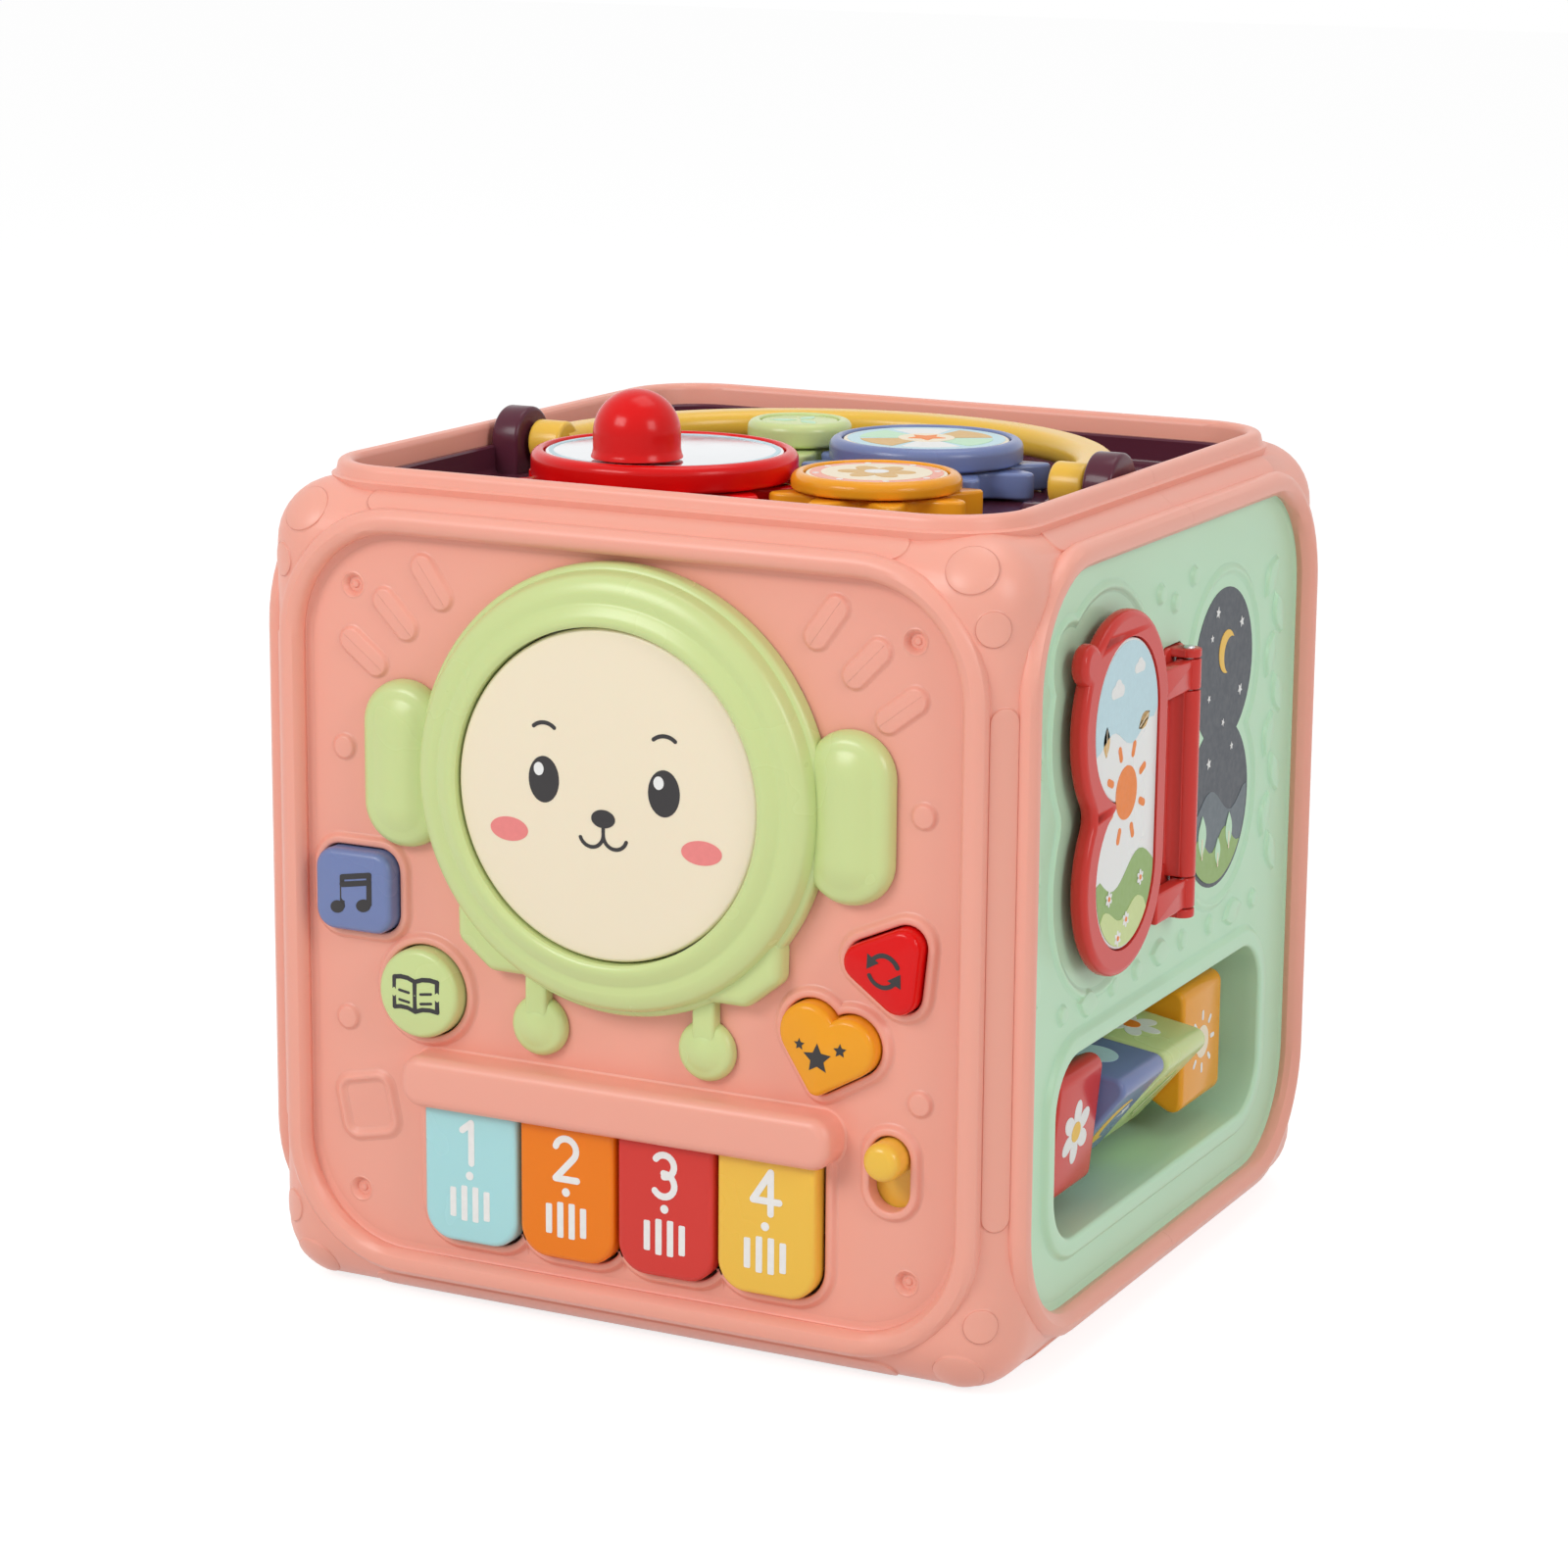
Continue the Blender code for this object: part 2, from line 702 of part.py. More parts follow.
def whole_frame():
    """The rounded cube, hollow, with an opening and a bead on each side and a lip round the top."""
    frame = rounded_cube("frame", 0, EDGE_RADIUS, EDGE_SEGMENTS)
    radius = EDGE_RADIUS - FRAME_WALL
    cut(frame, rounded_cube("frame_hollow", FRAME_WALL, radius, HOLLOW_SEGMENTS))
    for side_name in ("front", "right"):
        window = [opening_outline(OPENING_RELIEF)]
        cut(frame, slab("window", window, -FRAME_WIDTH - OVERRUN, OVERRUN, None, SIDES[side_name]))
    top_width = LIP_OPENING + LIP_WALL
    top = [rounded_rect(top_width, top_width, LIP_CORNER - LIP_WALL / 2)]
    cut(frame, slab("top_window", top, FRAME_HEIGHT - FRAME_WALL - OVERRUN, FRAME_HEIGHT + OVERRUN))
    base = [rounded_rect(BASE_OPENING, BASE_OPENING, BASE_CORNER)]
    cut(frame, slab("base_window", base, -OVERRUN, FRAME_WALL + OVERRUN))
    for side_name in SIDE_TURNS:
        fuse(frame, bead(side_name))
    fuse(frame, top_lip())
    return baked_mesh(frame)


def make_frame():
    """The frame's two halves, parted in the middle of the cube."""
    mesh = whole_frame()
    far = FRAME_WIDTH
    near = PARTING_GAP / 2
    front = smooth(add_object("frame_front", mesh))
    cut(front, block("rear_half", (-far, -near, -far), (far, far, 2 * far)))
    rear = smooth(add_object("frame_rear", mesh.copy()))
    cut(rear, block("front_half", (-far, -far, -far), (far, near, 2 * far)))


def panel_shell(name, side_name, paint):
    """A shallow moulded tray that closes one opening."""
    side = SIDES[side_name]
    panel = slab(name, [opening_outline()], PANEL_REAR, PANEL_FACE, paint, side)
    hollow = [opening_outline(-PANEL_SKIRT_WALL)]
    cut(panel, slab(name + "_hollow", hollow, PANEL_REAR - OVERRUN, PANEL_BACK, None, side))
    return panel


def raise_on(panel, name, loops, rise, at=(0, 0), turn=0):
    """Adds relief to a panel: an outline that stands up from its face."""
    place = (at[0], at[1], PANEL_FACE)
    fuse(panel, slab(name, loops, -SINK, rise, None, panel.parent, place, (0, 0, radians(turn))))


def pierce(panel, name, outline, at=(0, 0), turn=0, floor=None):
    """Cuts an outline through a panel, or down to a floor."""
    low = PANEL_REAR if floor is None else floor
    place = (at[0], at[1], 0)
    cut(panel, slab(name, [outline], low, OVERRUN, None, panel.parent, place, (0, 0, radians(turn))))


def button_outlines(grow):
    return {
        "square_button": rounded_rect(
            SQUARE_WIDTH + 2 * grow, SQUARE_HEIGHT + 2 * grow, SQUARE_CORNER + grow, 3
        ),
        "round_button": circle(ROUND_RADIUS + grow, 18),
        "triangle_button": rounded_triangle(TRIANGLE_REACH, TRIANGLE_CORNER, 4, grow),
        "heart_button": heart(HEART_WIDTH, HEART_HEIGHT, grow),
    }


BUTTON_PLACES = {
    "square_button": ((SQUARE_U, SQUARE_V), 0, "blue"),
    "round_button": ((ROUND_U, ROUND_V), 0, "green"),
    "triangle_button": ((TRIANGLE_U, TRIANGLE_V), TRIANGLE_TURN_DEGREES, "red"),
    "heart_button": ((HEART_U, HEART_V), HEART_TURN_DEGREES, "orange"),
}


def make_buttons():
    """Four caps that are held behind the panel by a flange and pop back on rubber domes."""
    caps = button_outlines(0)
    flanges = button_outlines(FLANGE_WIDTH)
    side = SIDES["front"]
    flange_top = PANEL_BACK - SEAT_GAP
    flange_low = flange_top - FLANGE_WALL
    for name, (place, turn, paint) in BUTTON_PLACES.items():
        at = (place[0], place[1], 0)
        pose = (0, 0, radians(turn))
        top = PANEL_FACE + BUTTON_RISE
        cap = slab(name, [caps[name]], flange_low, top, paint, side, at, pose)
        round_edges(cap, BUTTON_EDGE, 1)
        loops = [flanges[name]]
        fuse(cap, slab(name + "_flange", loops, flange_low, flange_top, None, side, at, pose))


def key_u(index):
    return (index - (KEY_COUNT - 1) / 2) * KEY_PITCH


def key_bay(grow, top_v):
    """Outline of the keys' bay: straight sides, and a lower edge that follows each key's round end."""
    reach = KEY_CORNER + grow
    half_gap = (KEY_PITCH - KEY_WIDTH) / 2
    notch = degrees(acos((KEY_CORNER + half_gap) / reach)) if grow > half_gap else 0
    inner = KEY_WIDTH / 2 - KEY_CORNER
    centre_v = KEY_LOW_V + KEY_CORNER
    points = [(key_u(0) - KEY_WIDTH / 2 - grow, top_v)]
    for i in range(KEY_COUNT):
        start = 180 if i == 0 else 180 + notch
        end = 360 if i == KEY_COUNT - 1 else 360 - notch
        points += arc((key_u(i) - inner, centre_v), reach, start, 270, 4)[min(i, 1):]
        points += arc((key_u(i) + inner, centre_v), reach, 270, end, 4)
    points.append((key_u(KEY_COUNT - 1) + KEY_WIDTH / 2 + grow, top_v))
    return points


def key_outline():
    half = KEY_WIDTH / 2
    low = KEY_LOW_V - KEY_ROD_V
    top = KEY_TOP_V - KEY_ROD_V
    inner = half - KEY_CORNER
    points = [(half, top), (-half, top)]
    points += arc((-inner, low + KEY_CORNER), KEY_CORNER, 180, 270, 5)
    points += arc((inner, low + KEY_CORNER), KEY_CORNER, 270, 360, 5)
    return points


def make_keys():
    """Four keys that turn on one steel rod; each key's origin is on the rod."""
    colours = ("cyan", "orange", "coral", "yellow")
    side = SIDES["front"]
    across = (0, radians(90), 0)
    for i, colour in enumerate(colours):
        name = "key_" + str(i + 1)
        at = (key_u(i), KEY_ROD_V, -KEY_ROD_DEPTH)
        top = KEY_ROD_DEPTH + KEY_RISE
        key = slab(name, [key_outline()], top - KEY_WALL, top, colour, side, at)
        round_edges(key, KEY_EDGE, 1)
        arm = KEY_ARM_WIDTH / 2
        fuse(key, rod(name + "_eye", KEY_EYE_RADIUS, -arm, arm, None, side, at, across, 14))
        bore = KEY_ROD_RADIUS + SEAT_GAP
        cut(key, rod(name + "_bore", bore, -KEY_WIDTH, KEY_WIDTH, None, side, at, across, 10))
    reach = rod_reach()
    at = (0, KEY_ROD_V, -KEY_ROD_DEPTH)
    rod("key_rod", KEY_ROD_RADIUS, -reach, reach, "steel", side, at, across, 10)


def rod_reach():
    """Half the length of the key rod: past the keys and through its two lugs."""
    return key_u(KEY_COUNT - 1) + KEY_WIDTH / 2 + BAY_GAP + ROD_LUG_WALL


def add_key_bay(panel):
    side = panel.parent
    half = HOOD_WIDTH / 2
    hood = slab(
        "hood",
        [rounded_rect(2 * half, HOOD_TOP_V - HOOD_LOW_V, HOOD_CORNER)],
        PANEL_FACE - SINK,
        HOOD_RISE,
        None,
        side,
        (0, (HOOD_TOP_V + HOOD_LOW_V) / 2, 0),
    )
    round_edges(hood, HOOD_EDGE, 2)
    rim = key_bay(BAY_GAP + RIM_WIDTH, HOOD_LOW_V + OVERRUN)
    raise_on(panel, "bay_rim", [rim], RIM_RISE)
    fuse(panel, hood)
    for way in (-1, 1):
        near = way * (rod_reach() - ROD_LUG_WALL - SINK)
        far = way * rod_reach()
        margin = KEY_ROD_RADIUS + ROD_LUG_MARGIN
        low = (min(near, far), KEY_ROD_V - margin, -KEY_ROD_DEPTH - margin)
        high = (max(near, far), KEY_ROD_V + margin, PANEL_BACK + SINK)
        fuse(panel, block("rod_lug", low, high, None, side))
    opening = [key_bay(BAY_GAP, HOOD_LOW_V)]
    cut(panel, slab("key_bay", opening, PANEL_REAR - OVERRUN, OVERRUN + HOOD_RISE, None, side))
    inner = rod_reach() - ROD_LUG_WALL
    low = (-inner, HOOD_LOW_V - SINK, PANEL_REAR - OVERRUN)
    high = (inner, KEY_TOP_V + BAY_GAP, HOOD_RISE - HOOD_WALL)
    cut(panel, block("hood_pocket", low, high, None, side))
    bore = KEY_ROD_RADIUS + SEAT_GAP
    at = (0, KEY_ROD_V, -KEY_ROD_DEPTH)
    length = rod_reach() + OVERRUN
    cut(panel, rod("rod_bore", bore, -length, length, None, side, at, (0, radians(90), 0), 10))


def add_button_holes(panel):
    rims = button_outlines(BUTTON_GAP + RIM_WIDTH)
    holes = button_outlines(BUTTON_GAP)
    for i, (name, (place, turn, _)) in enumerate(BUTTON_PLACES.items()):
        rise = RIM_RISE + i * SINK / 4
        raise_on(panel, name + "_rim", [rims[name]], rise, place, turn)
    for name, (place, turn, _) in BUTTON_PLACES.items():
        pierce(panel, name + "_hole", holes[name], place, turn)


def stadium(width, height):
    return rounded_rect(width, height, min(width, height) / 2 - SINK / 100, 4)


def add_switch_slot(panel):
    at = (SWITCH_U, SWITCH_V)
    rim = stadium(SWITCH_SLOT_WIDTH + 2 * RIM_WIDTH, SWITCH_SLOT_HEIGHT + 2 * RIM_WIDTH)
    raise_on(panel, "switch_rim", [rim], RIM_RISE, at)
    pierce(panel, "switch_slot", stadium(SWITCH_SLOT_WIDTH, SWITCH_SLOT_HEIGHT), at)


def make_switch():
    """A knob on a plate that slides behind its slot; at rest it is up."""
    side = SIDES["front"]
    at = (SWITCH_U, SWITCH_V + SWITCH_TRAVEL / 2, 0)
    top = PANEL_BACK - SEAT_GAP
    half = SWITCH_KNOB_RADIUS + SWITCH_TRAVEL + SWITCH_PLATE_OVERLAP
    plate = [rounded_rect(SWITCH_PLATE_WIDTH, 2 * half, SWITCH_PLATE_OVERLAP)]
    low = top - SWITCH_PLATE_WALL
    slider = slab("mode_switch", plate, low, top, "yellow", side, at)
    radius = SWITCH_KNOB_RADIUS
    knob = rod("switch_knob", radius, low, SWITCH_KNOB_RISE, None, side, at, sides=16)
    round_edges(knob, SWITCH_KNOB_EDGE, 2)
    fuse(slider, knob)


def board_corners():
    u = BOARD_WIDTH / 2 - BOARD_POST_INSET
    v = BOARD_HEIGHT / 2 - BOARD_POST_INSET
    return [(su * u, BOARD_V + sv * v) for su in (-1, 1) for sv in (-1, 1)]


def make_front_panel():
    panel = panel_shell("front_panel", "front", "pink")
    for u, v in board_corners():
        post = rod(
            "board_post",
            BOARD_POST_RADIUS,
            SEAT_GAP - BOARD_DEPTH,
            PANEL_BACK + SINK,
            None,
            panel.parent,
            (u, v, 0),
            (0, 0, 0),
            12,
        )
        fuse(panel, post)
    add_key_bay(panel)
    add_button_holes(panel)
    add_switch_slot(panel)
    pierce(panel, "drum_hole", circle(PAD_FLANGE_RADIUS + RUNNING_GAP), (0, DRUM_V))


def make_board():
    outline = [rounded_rect(BOARD_WIDTH, BOARD_HEIGHT, BOARD_POST_INSET / 2, 2)]
    low = -BOARD_DEPTH - BOARD_WALL
    slab("circuit_board", outline, low, -BOARD_DEPTH, "board", SIDES["front"], (0, BOARD_V, 0))


def bezel_profile(foot):
    """Cross-section of the head: a flat plate, a fat round ring on it, a well and a pocket."""
    outer = DRUM_RING_RADIUS - DRUM_RING_INSET
    inner = DRUM_PAD_RADIUS + SIDE_GAP
    plate = foot + DRUM_PLATE
    points = [(DRUM_RING_RADIUS, plate - DRUM_PLATE_EDGE), (DRUM_RING_RADIUS, foot)]
    points += [(DRUM_POCKET_RADIUS, foot), (DRUM_POCKET_RADIUS, foot + DRUM_POCKET_HEIGHT)]
    points.append((inner, foot + DRUM_POCKET_HEIGHT))
    for i in range(DRUM_RING_STEPS + 1):
        angle = pi * i / DRUM_RING_STEPS
        crown = (outer + inner) / 2 - (outer - inner) / 2 * cos(angle)
        points.append((crown, plate + (DRUM_RISE - plate) * sin(angle)))
    return points


def make_drum():
    side = SIDES["front"]
    at = (0, DRUM_V, 0)
    foot = PANEL_FACE + SEAT_GAP
    bezel = turned("drum_bezel", bezel_profile(foot), "green", side, at, steps=32, ring=True)
    collar = [
        (COLLAR_TOP_U, COLLAR_TOP_V),
        (-COLLAR_TOP_U, COLLAR_TOP_V),
        (-COLLAR_SHOULDER_U, COLLAR_SHOULDER_V),
        (-COLLAR_FOOT_U, COLLAR_FOOT_V),
        (COLLAR_FOOT_U, COLLAR_FOOT_V),
        (COLLAR_SHOULDER_U, COLLAR_SHOULDER_V),
    ]
    rise = DRUM_PLATE * COLLAR_RISE_SHARE
    apron = slab("drum_collar", [filleted(collar, COLLAR_CORNER, 2)], foot, foot + rise, None, side)
    middle = (DRUM_RING_RADIUS + DRUM_POCKET_RADIUS) / 2
    cut(apron, rod("collar_cut", middle, foot - OVERRUN, foot + OVERRUN, None, side, at, sides=30))
    fuse(bezel, apron)
    for way in (-1, 1):
        ear = rounded_rect(EAR_WIDTH, EAR_HEIGHT, EAR_CORNER)
        stem = rounded_rect(STEM_WIDTH, STEM_TOP_V - FOOT_V, STEM_WIDTH / 4, 1)
        stem_v = (STEM_TOP_V + FOOT_V) / 2
        add_ons = (
            ("ear_pad", ear, (way * EAR_U, DRUM_V), EAR_RISE, EAR_EDGE),
            ("drum_foot", circle(FOOT_RADIUS, 14), (way * FOOT_U, FOOT_V), FOOT_RISE, FOOT_EDGE),
            ("drum_stem", stem, (way * FOOT_U, stem_v), FOOT_RISE * STEM_RISE_SHARE, FOOT_EDGE / 2),
        )
        for name, outline, place, rise, edge in add_ons:
            piece = slab(name, [outline], foot, foot + rise, None, side, (*place, 0))
            round_edges(piece, edge, 1)
            fuse(bezel, piece)
    make_drum_pad(at, foot + DRUM_POCKET_HEIGHT - SEAT_GAP)


def make_drum_pad(at, flange_top):
    radius = DRUM_PAD_RADIUS
    flange_low = flange_top - PAD_FLANGE_WALL
    inner = radius - PAD_WALL
    profile = [
        (0, PAD_RISE + PAD_DOME),
        (radius * PAD_CROWN_SHARE, PAD_RISE + PAD_DOME * PAD_CROWN_SHARE),
        (radius - PAD_DOME, PAD_RISE),
        (radius, PAD_RISE - PAD_DOME),
        (radius, flange_top),
        (PAD_FLANGE_RADIUS, flange_top),
        (PAD_FLANGE_RADIUS, flange_low),
        (inner, flange_low),
        (inner, PAD_RISE - PAD_WALL),
        (0, PAD_RISE + PAD_DOME - PAD_WALL),
    ]
    turned("drum_pad", profile, "cream", SIDES["front"], at, steps=30)


def leaf_outline(grow=0.0):
    """The leaf's outline about the hinge axis: a round head with one ear, over a round body."""
    head = (LEAF_HEAD_U, LEAF_HEAD_V)
    body = (LEAF_BODY_U, LEAF_BODY_V)
    head_radius = LEAF_HEAD_RADIUS + grow
    body_radius = LEAF_BODY_RADIUS + grow
    ear_angle = radians(LEAF_EAR_DEGREES)
    ear = (head[0] + LEAF_EAR_REACH * cos(ear_angle), head[1] + LEAF_EAR_REACH * sin(ear_angle))
    waist = crossings(head, head_radius, body, body_radius)[0]
    points = []
    if grow < 0:
        points += arc(head, head_radius, 0, waist, 12)
    else:
        ear_start, ear_end = crossings(head, head_radius, ear, LEAF_EAR_RADIUS + grow)
        back, start = crossings(ear, LEAF_EAR_RADIUS + grow, head, head_radius)
        points += arc(head, head_radius, 0, ear_start, 8)
        points += arc(ear, LEAF_EAR_RADIUS + grow, start, start + (back - start) % 360, 5)[1:]
        points += arc(head, head_radius, ear_end, waist, 4)[1:]
    body_start = crossings(body, body_radius, head, head_radius)[1]
    points += arc(body, body_radius, body_start, 360, 11)[1:]
    return points


def make_book():
    """A leaf on a pin in a fixed spine; at rest it lies open to the left of the spine."""
    side = SIDES["right"]
    at = (BOOK_U, BOOK_V, BOOK_AXIS_RISE)
    upright = (radians(-90), 0, 0)
    half = SPINE_HEIGHT / 2
    arm_high = half - SPINE_END_WALL - SEAT_GAP
    arm_low = arm_high - LEAF_ARM_HEIGHT
    base_low = PANEL_FACE - SPINE_RECESS + SEAT_GAP - BOOK_AXIS_RISE
    spine = slab(
        "book_spine",
        [rounded_rect(SPINE_WIDTH, SPINE_HEIGHT, SPINE_CORNER, 3)],
        base_low,
        base_low + SPINE_WALL,
        "coral",
        side,
        at,
    )
    radius = BOOK_KNUCKLE_RADIUS
    pieces = [(-arm_low + SEAT_GAP, arm_low - SEAT_GAP)]
    pieces += [(half - SPINE_END_WALL, half), (-half, SPINE_END_WALL - half)]
    for low, high in pieces:
        fuse(spine, rod("spine_knuckle", radius, low, high, None, side, at, upright, 12))
        web = block("spine_web", (-radius, low, base_low + SINK), (radius, high, 0), None, side, at)
        fuse(spine, web)
    bore = BOOK_PIN_RADIUS + SEAT_GAP
    cut(spine, rod("spine_bore", bore, -half - SINK, half + SINK, None, side, at, upright, 10))
    make_leaf(side, at, upright, arm_low, arm_high)
    rod("book_pin", BOOK_PIN_RADIUS, -half, half, "steel", side, at, upright, 10)


def make_leaf(side, at, upright, arm_low, arm_high):
    wall = LEAF_WALL / 2
    leaf = slab("book_leaf", [leaf_outline()], -wall, wall, "coral", side, at)
    round_edges(leaf, LEAF_EDGE, 1)
    for low, high in ((arm_low, arm_high), (-arm_high, -arm_low)):
        inner_u = LEAF_BODY_U + LEAF_BODY_RADIUS * LEAF_ARM_ROOT_SHARE
        arm_wall = wall - SINK / 4
        arm = block("leaf_arm", (inner_u, low, -arm_wall), (0, high, arm_wall), None, side, at)
        fuse(leaf, arm)
        fuse(leaf, rod("leaf_knuckle", BOOK_KNUCKLE_RADIUS, low, high, None, side, at, upright, 14))
    bore = BOOK_PIN_RADIUS + SEAT_GAP
    cut(leaf, rod("leaf_bore", bore, -arm_high - SINK, arm_high + SINK, None, side, at, upright, 10))
    floor = wall - LEAF_INSERT_WALL - SEAT_GAP
    window = [leaf_outline(-LEAF_BORDER)]
    cut(leaf, slab("insert_pocket", window, floor - SEAT_GAP, wall + OVERRUN, None, side, at))
    insert = [leaf_outline(-LEAF_BORDER - SEAT_GAP)]
    slab("book_insert", insert, floor, floor + LEAF_INSERT_WALL, "white", side, at)


def add_pocket(panel, name, width, height, corner, v, depth, rim):
    """A window with a closed pocket behind it."""
    side = panel.parent
    wall = 2 * POCKET_WALL
    floor = PANEL_FACE - depth
    at = (0, v, 0)
    outer = [rounded_rect(width + wall, height + wall, corner + POCKET_WALL)]
    cup = slab(name + "_cup", outer, floor - POCKET_WALL, PANEL_BACK + SINK, None, side, at)
    fuse(panel, cup)
    rim_loop = [rounded_rect(width + 2 * rim, height + 2 * rim, corner + rim)]
    raise_on(panel, name + "_rim", rim_loop, RIM_RISE, (0, v))
    inner = [rounded_rect(width, height, corner)]
    cut(panel, slab(name + "_window", inner, floor, OVERRUN, None, side, at))


def make_right_panel():
    panel = panel_shell("right_panel", "right", "mint")
    side = panel.parent
    add_pocket(
        panel,
        "block",
        WINDOW_WIDTH,
        WINDOW_HEIGHT,
        WINDOW_CORNER,
        WINDOW_V,
        WINDOW_DEPTH,
        WINDOW_RIM,
    )
    socket = WINDOW_WIDTH / 2 + AXLE_SOCKET_DEPTH + SEAT_GAP
    at = (0, WINDOW_V, -AXLE_DEPTH)
    across = (0, radians(90), 0)
    bore = AXLE_RADIUS + SEAT_GAP
    cut(panel, rod("axle_sockets", bore, -socket, socket, None, side, at, across, 14))
    recess = rounded_rect(
        SPINE_WIDTH + 2 * SEAT_GAP, SPINE_HEIGHT + 2 * SEAT_GAP, SPINE_CORNER + SEAT_GAP, 3
    )
    floor = PANEL_FACE - SPINE_RECESS
    pierce(panel, "spine_recess", recess, (BOOK_U, BOOK_V), 0, floor)


def block_u(index):
    return (index - (len(BLOCK_COLOURS) - 1) / 2) * (BLOCK_LENGTH + BLOCK_END_GAP)


def make_blocks():
    """Four three-sided blocks on one axle, each turned its own way."""
    side = SIDES["right"]
    reach = WINDOW_WIDTH / 2 + AXLE_SOCKET_DEPTH
    across = (0, radians(90), 0)
    axle_at = (0, WINDOW_V, -AXLE_DEPTH)
    rod("block_axle", AXLE_RADIUS, -reach, reach, "white", side, axle_at, across, 14)
    for i, colour in enumerate(BLOCK_COLOURS):
        at = (block_u(i), WINDOW_V, -AXLE_DEPTH)
        outline = turned_points(rounded_triangle(BLOCK_REACH, BLOCK_CORNER, 3), BLOCK_TURN_DEGREES[i])
        half = BLOCK_LENGTH / 2
        name = colour + "_block"
        piece = slab(name, [outline], -half, half, colour, side, at, across)
        round_edges(piece, BLOCK_EDGE, 1)
        bore = AXLE_RADIUS + BLOCK_BORE_GAP
        cut(piece, rod(name + "_bore", bore, -2 * half, 2 * half, None, side, at, across, 14))


def gear_centres():
    centres = [tuple(HANDLE_RADIUS * share for share in CRANK_GEAR_SHARES)]
    for i, step in enumerate(GEAR_STEP_DEGREES):
        reach = GEAR_MODULE * (GEAR_TEETH[i] + GEAR_TEETH[i + 1]) / 2 + GEAR_BACKLASH
        x, y = centres[-1]
        centres.append((x + reach * cos(radians(step)), y + reach * sin(radians(step))))
    return centres


def gear_phases():
    """How far each gear is turned, so that every tooth stands in its neighbour's gap."""
    phases = [radians(GEAR_START_DEGREES)]
    for i, step in enumerate(GEAR_STEP_DEGREES):
        way = radians(step)
        driven = (pi - GEAR_TEETH[i] * (way - phases[-1])) / GEAR_TEETH[i + 1]
        phases.append(way + pi - driven)
    return phases


def gear_outline(teeth):
    """Broad round teeth."""
    root = GEAR_MODULE * teeth / 2 - GEAR_TOOTH_DOWN
    count = teeth * GEAR_TOOTH_STEPS
    points = []
    for i in range(count):
        angle = 2 * pi * i / count
        lobe = (0.5 + 0.5 * cos(teeth * angle)) ** GEAR_TOOTH_POWER
        radius = root + (GEAR_TOOTH_UP + GEAR_TOOTH_DOWN) * lobe
        points.append((radius * cos(angle), radius * sin(angle)))
    return points


def make_gears():
    """Four gears in one train. Each has a raised round cap with a disc let into it."""
    centres = gear_centres()
    phases = gear_phases()
    colours = ("coral", "orange", "blue", "green")
    for i, name in enumerate(GEAR_NAMES):
        teeth = GEAR_TEETH[i]
        top = GEAR_TOOTH_TOP_Z + GEAR_CAP_RISES[i]
        radius = GEAR_MODULE * teeth / 2 * GEAR_CAP_SHARES[i]
        at = (*centres[i], 0)
        turn = (0, 0, phases[i])
        outline = [gear_outline(teeth)]
        gear = slab(name, outline, GEAR_LOW_Z, GEAR_TOOTH_TOP_Z, colours[i], None, at, turn)
        recess = radius - GEAR_DISC_BORDER
        floor = top - GEAR_DISC_SINK - GEAR_DISC_WALL - SEAT_GAP
        neck = GEAR_MODULE * teeth / 2 - GEAR_TOOTH_DOWN - GEAR_NECK_INSET
        profile = [
            (0, floor),
            (recess, floor),
            (recess, top),
            (radius - GEAR_CAP_EDGE, top),
            (radius - GEAR_CAP_EDGE * GEAR_CAP_EDGE_SHARE, top - GEAR_CAP_EDGE * GEAR_CAP_EDGE_SHARE),
            (radius, top - GEAR_CAP_EDGE),
            (radius, GEAR_TOOTH_TOP_Z + GEAR_CAP_LIFT),
            (neck, GEAR_TOOTH_TOP_Z + GEAR_CAP_LIFT),
            (neck, (GEAR_LOW_Z + GEAR_TOOTH_TOP_Z) / 2),
            (0, (GEAR_LOW_Z + GEAR_TOOTH_TOP_Z) / 2),
        ]
        fuse(gear, turned(name + "_cap", profile, None, None, at, steps=24))
        bore = POST_RADIUS + RUNNING_GAP
        low = GEAR_LOW_Z - OVERRUN
        cut(gear, rod(name + "_bore", bore, low, POST_TOP_Z + SEAT_GAP, None, None, at, sides=14))
        paint = "mirror" if name == "crank_gear" else colours[i]
        disc = rod(
            name.replace("gear", "disc"),
            recess - SEAT_GAP,
            floor + SEAT_GAP,
            floor + SEAT_GAP + GEAR_DISC_WALL,
            paint,
            None,
            at,
            sides=24,
        )
        if name == "crank_gear":
            make_crank_knob(gear, disc, at, top)


def make_crank_knob(gear, disc, gear_at, gear_top):
    at = (
        gear_at[0] + KNOB_REACH * cos(radians(KNOB_DEGREES)),
        gear_at[1] + KNOB_REACH * sin(radians(KNOB_DEGREES)),
        gear_top + SEAT_GAP,
    )
    profile = [(0, KNOB_SIDE + KNOB_RADIUS)]
    for i in range(1, 6):
        angle = radians(90 - 18 * i)
        profile.append((KNOB_RADIUS * cos(angle), KNOB_SIDE + KNOB_RADIUS * sin(angle)))
    profile += [
        (KNOB_RADIUS, 0),
        (KNOB_STUD_RADIUS, 0),
        (KNOB_STUD_RADIUS, -KNOB_STUD_DEPTH),
        (0, -KNOB_STUD_DEPTH),
    ]
    turned("crank_knob", profile, "coral", None, at, steps=18)
    bore = KNOB_STUD_RADIUS + SEAT_GAP
    socket = rod("knob_socket", bore, -KNOB_STUD_DEPTH - SEAT_GAP, OVERRUN, None, None, at)
    cut(gear, socket)
    cut(disc, socket)


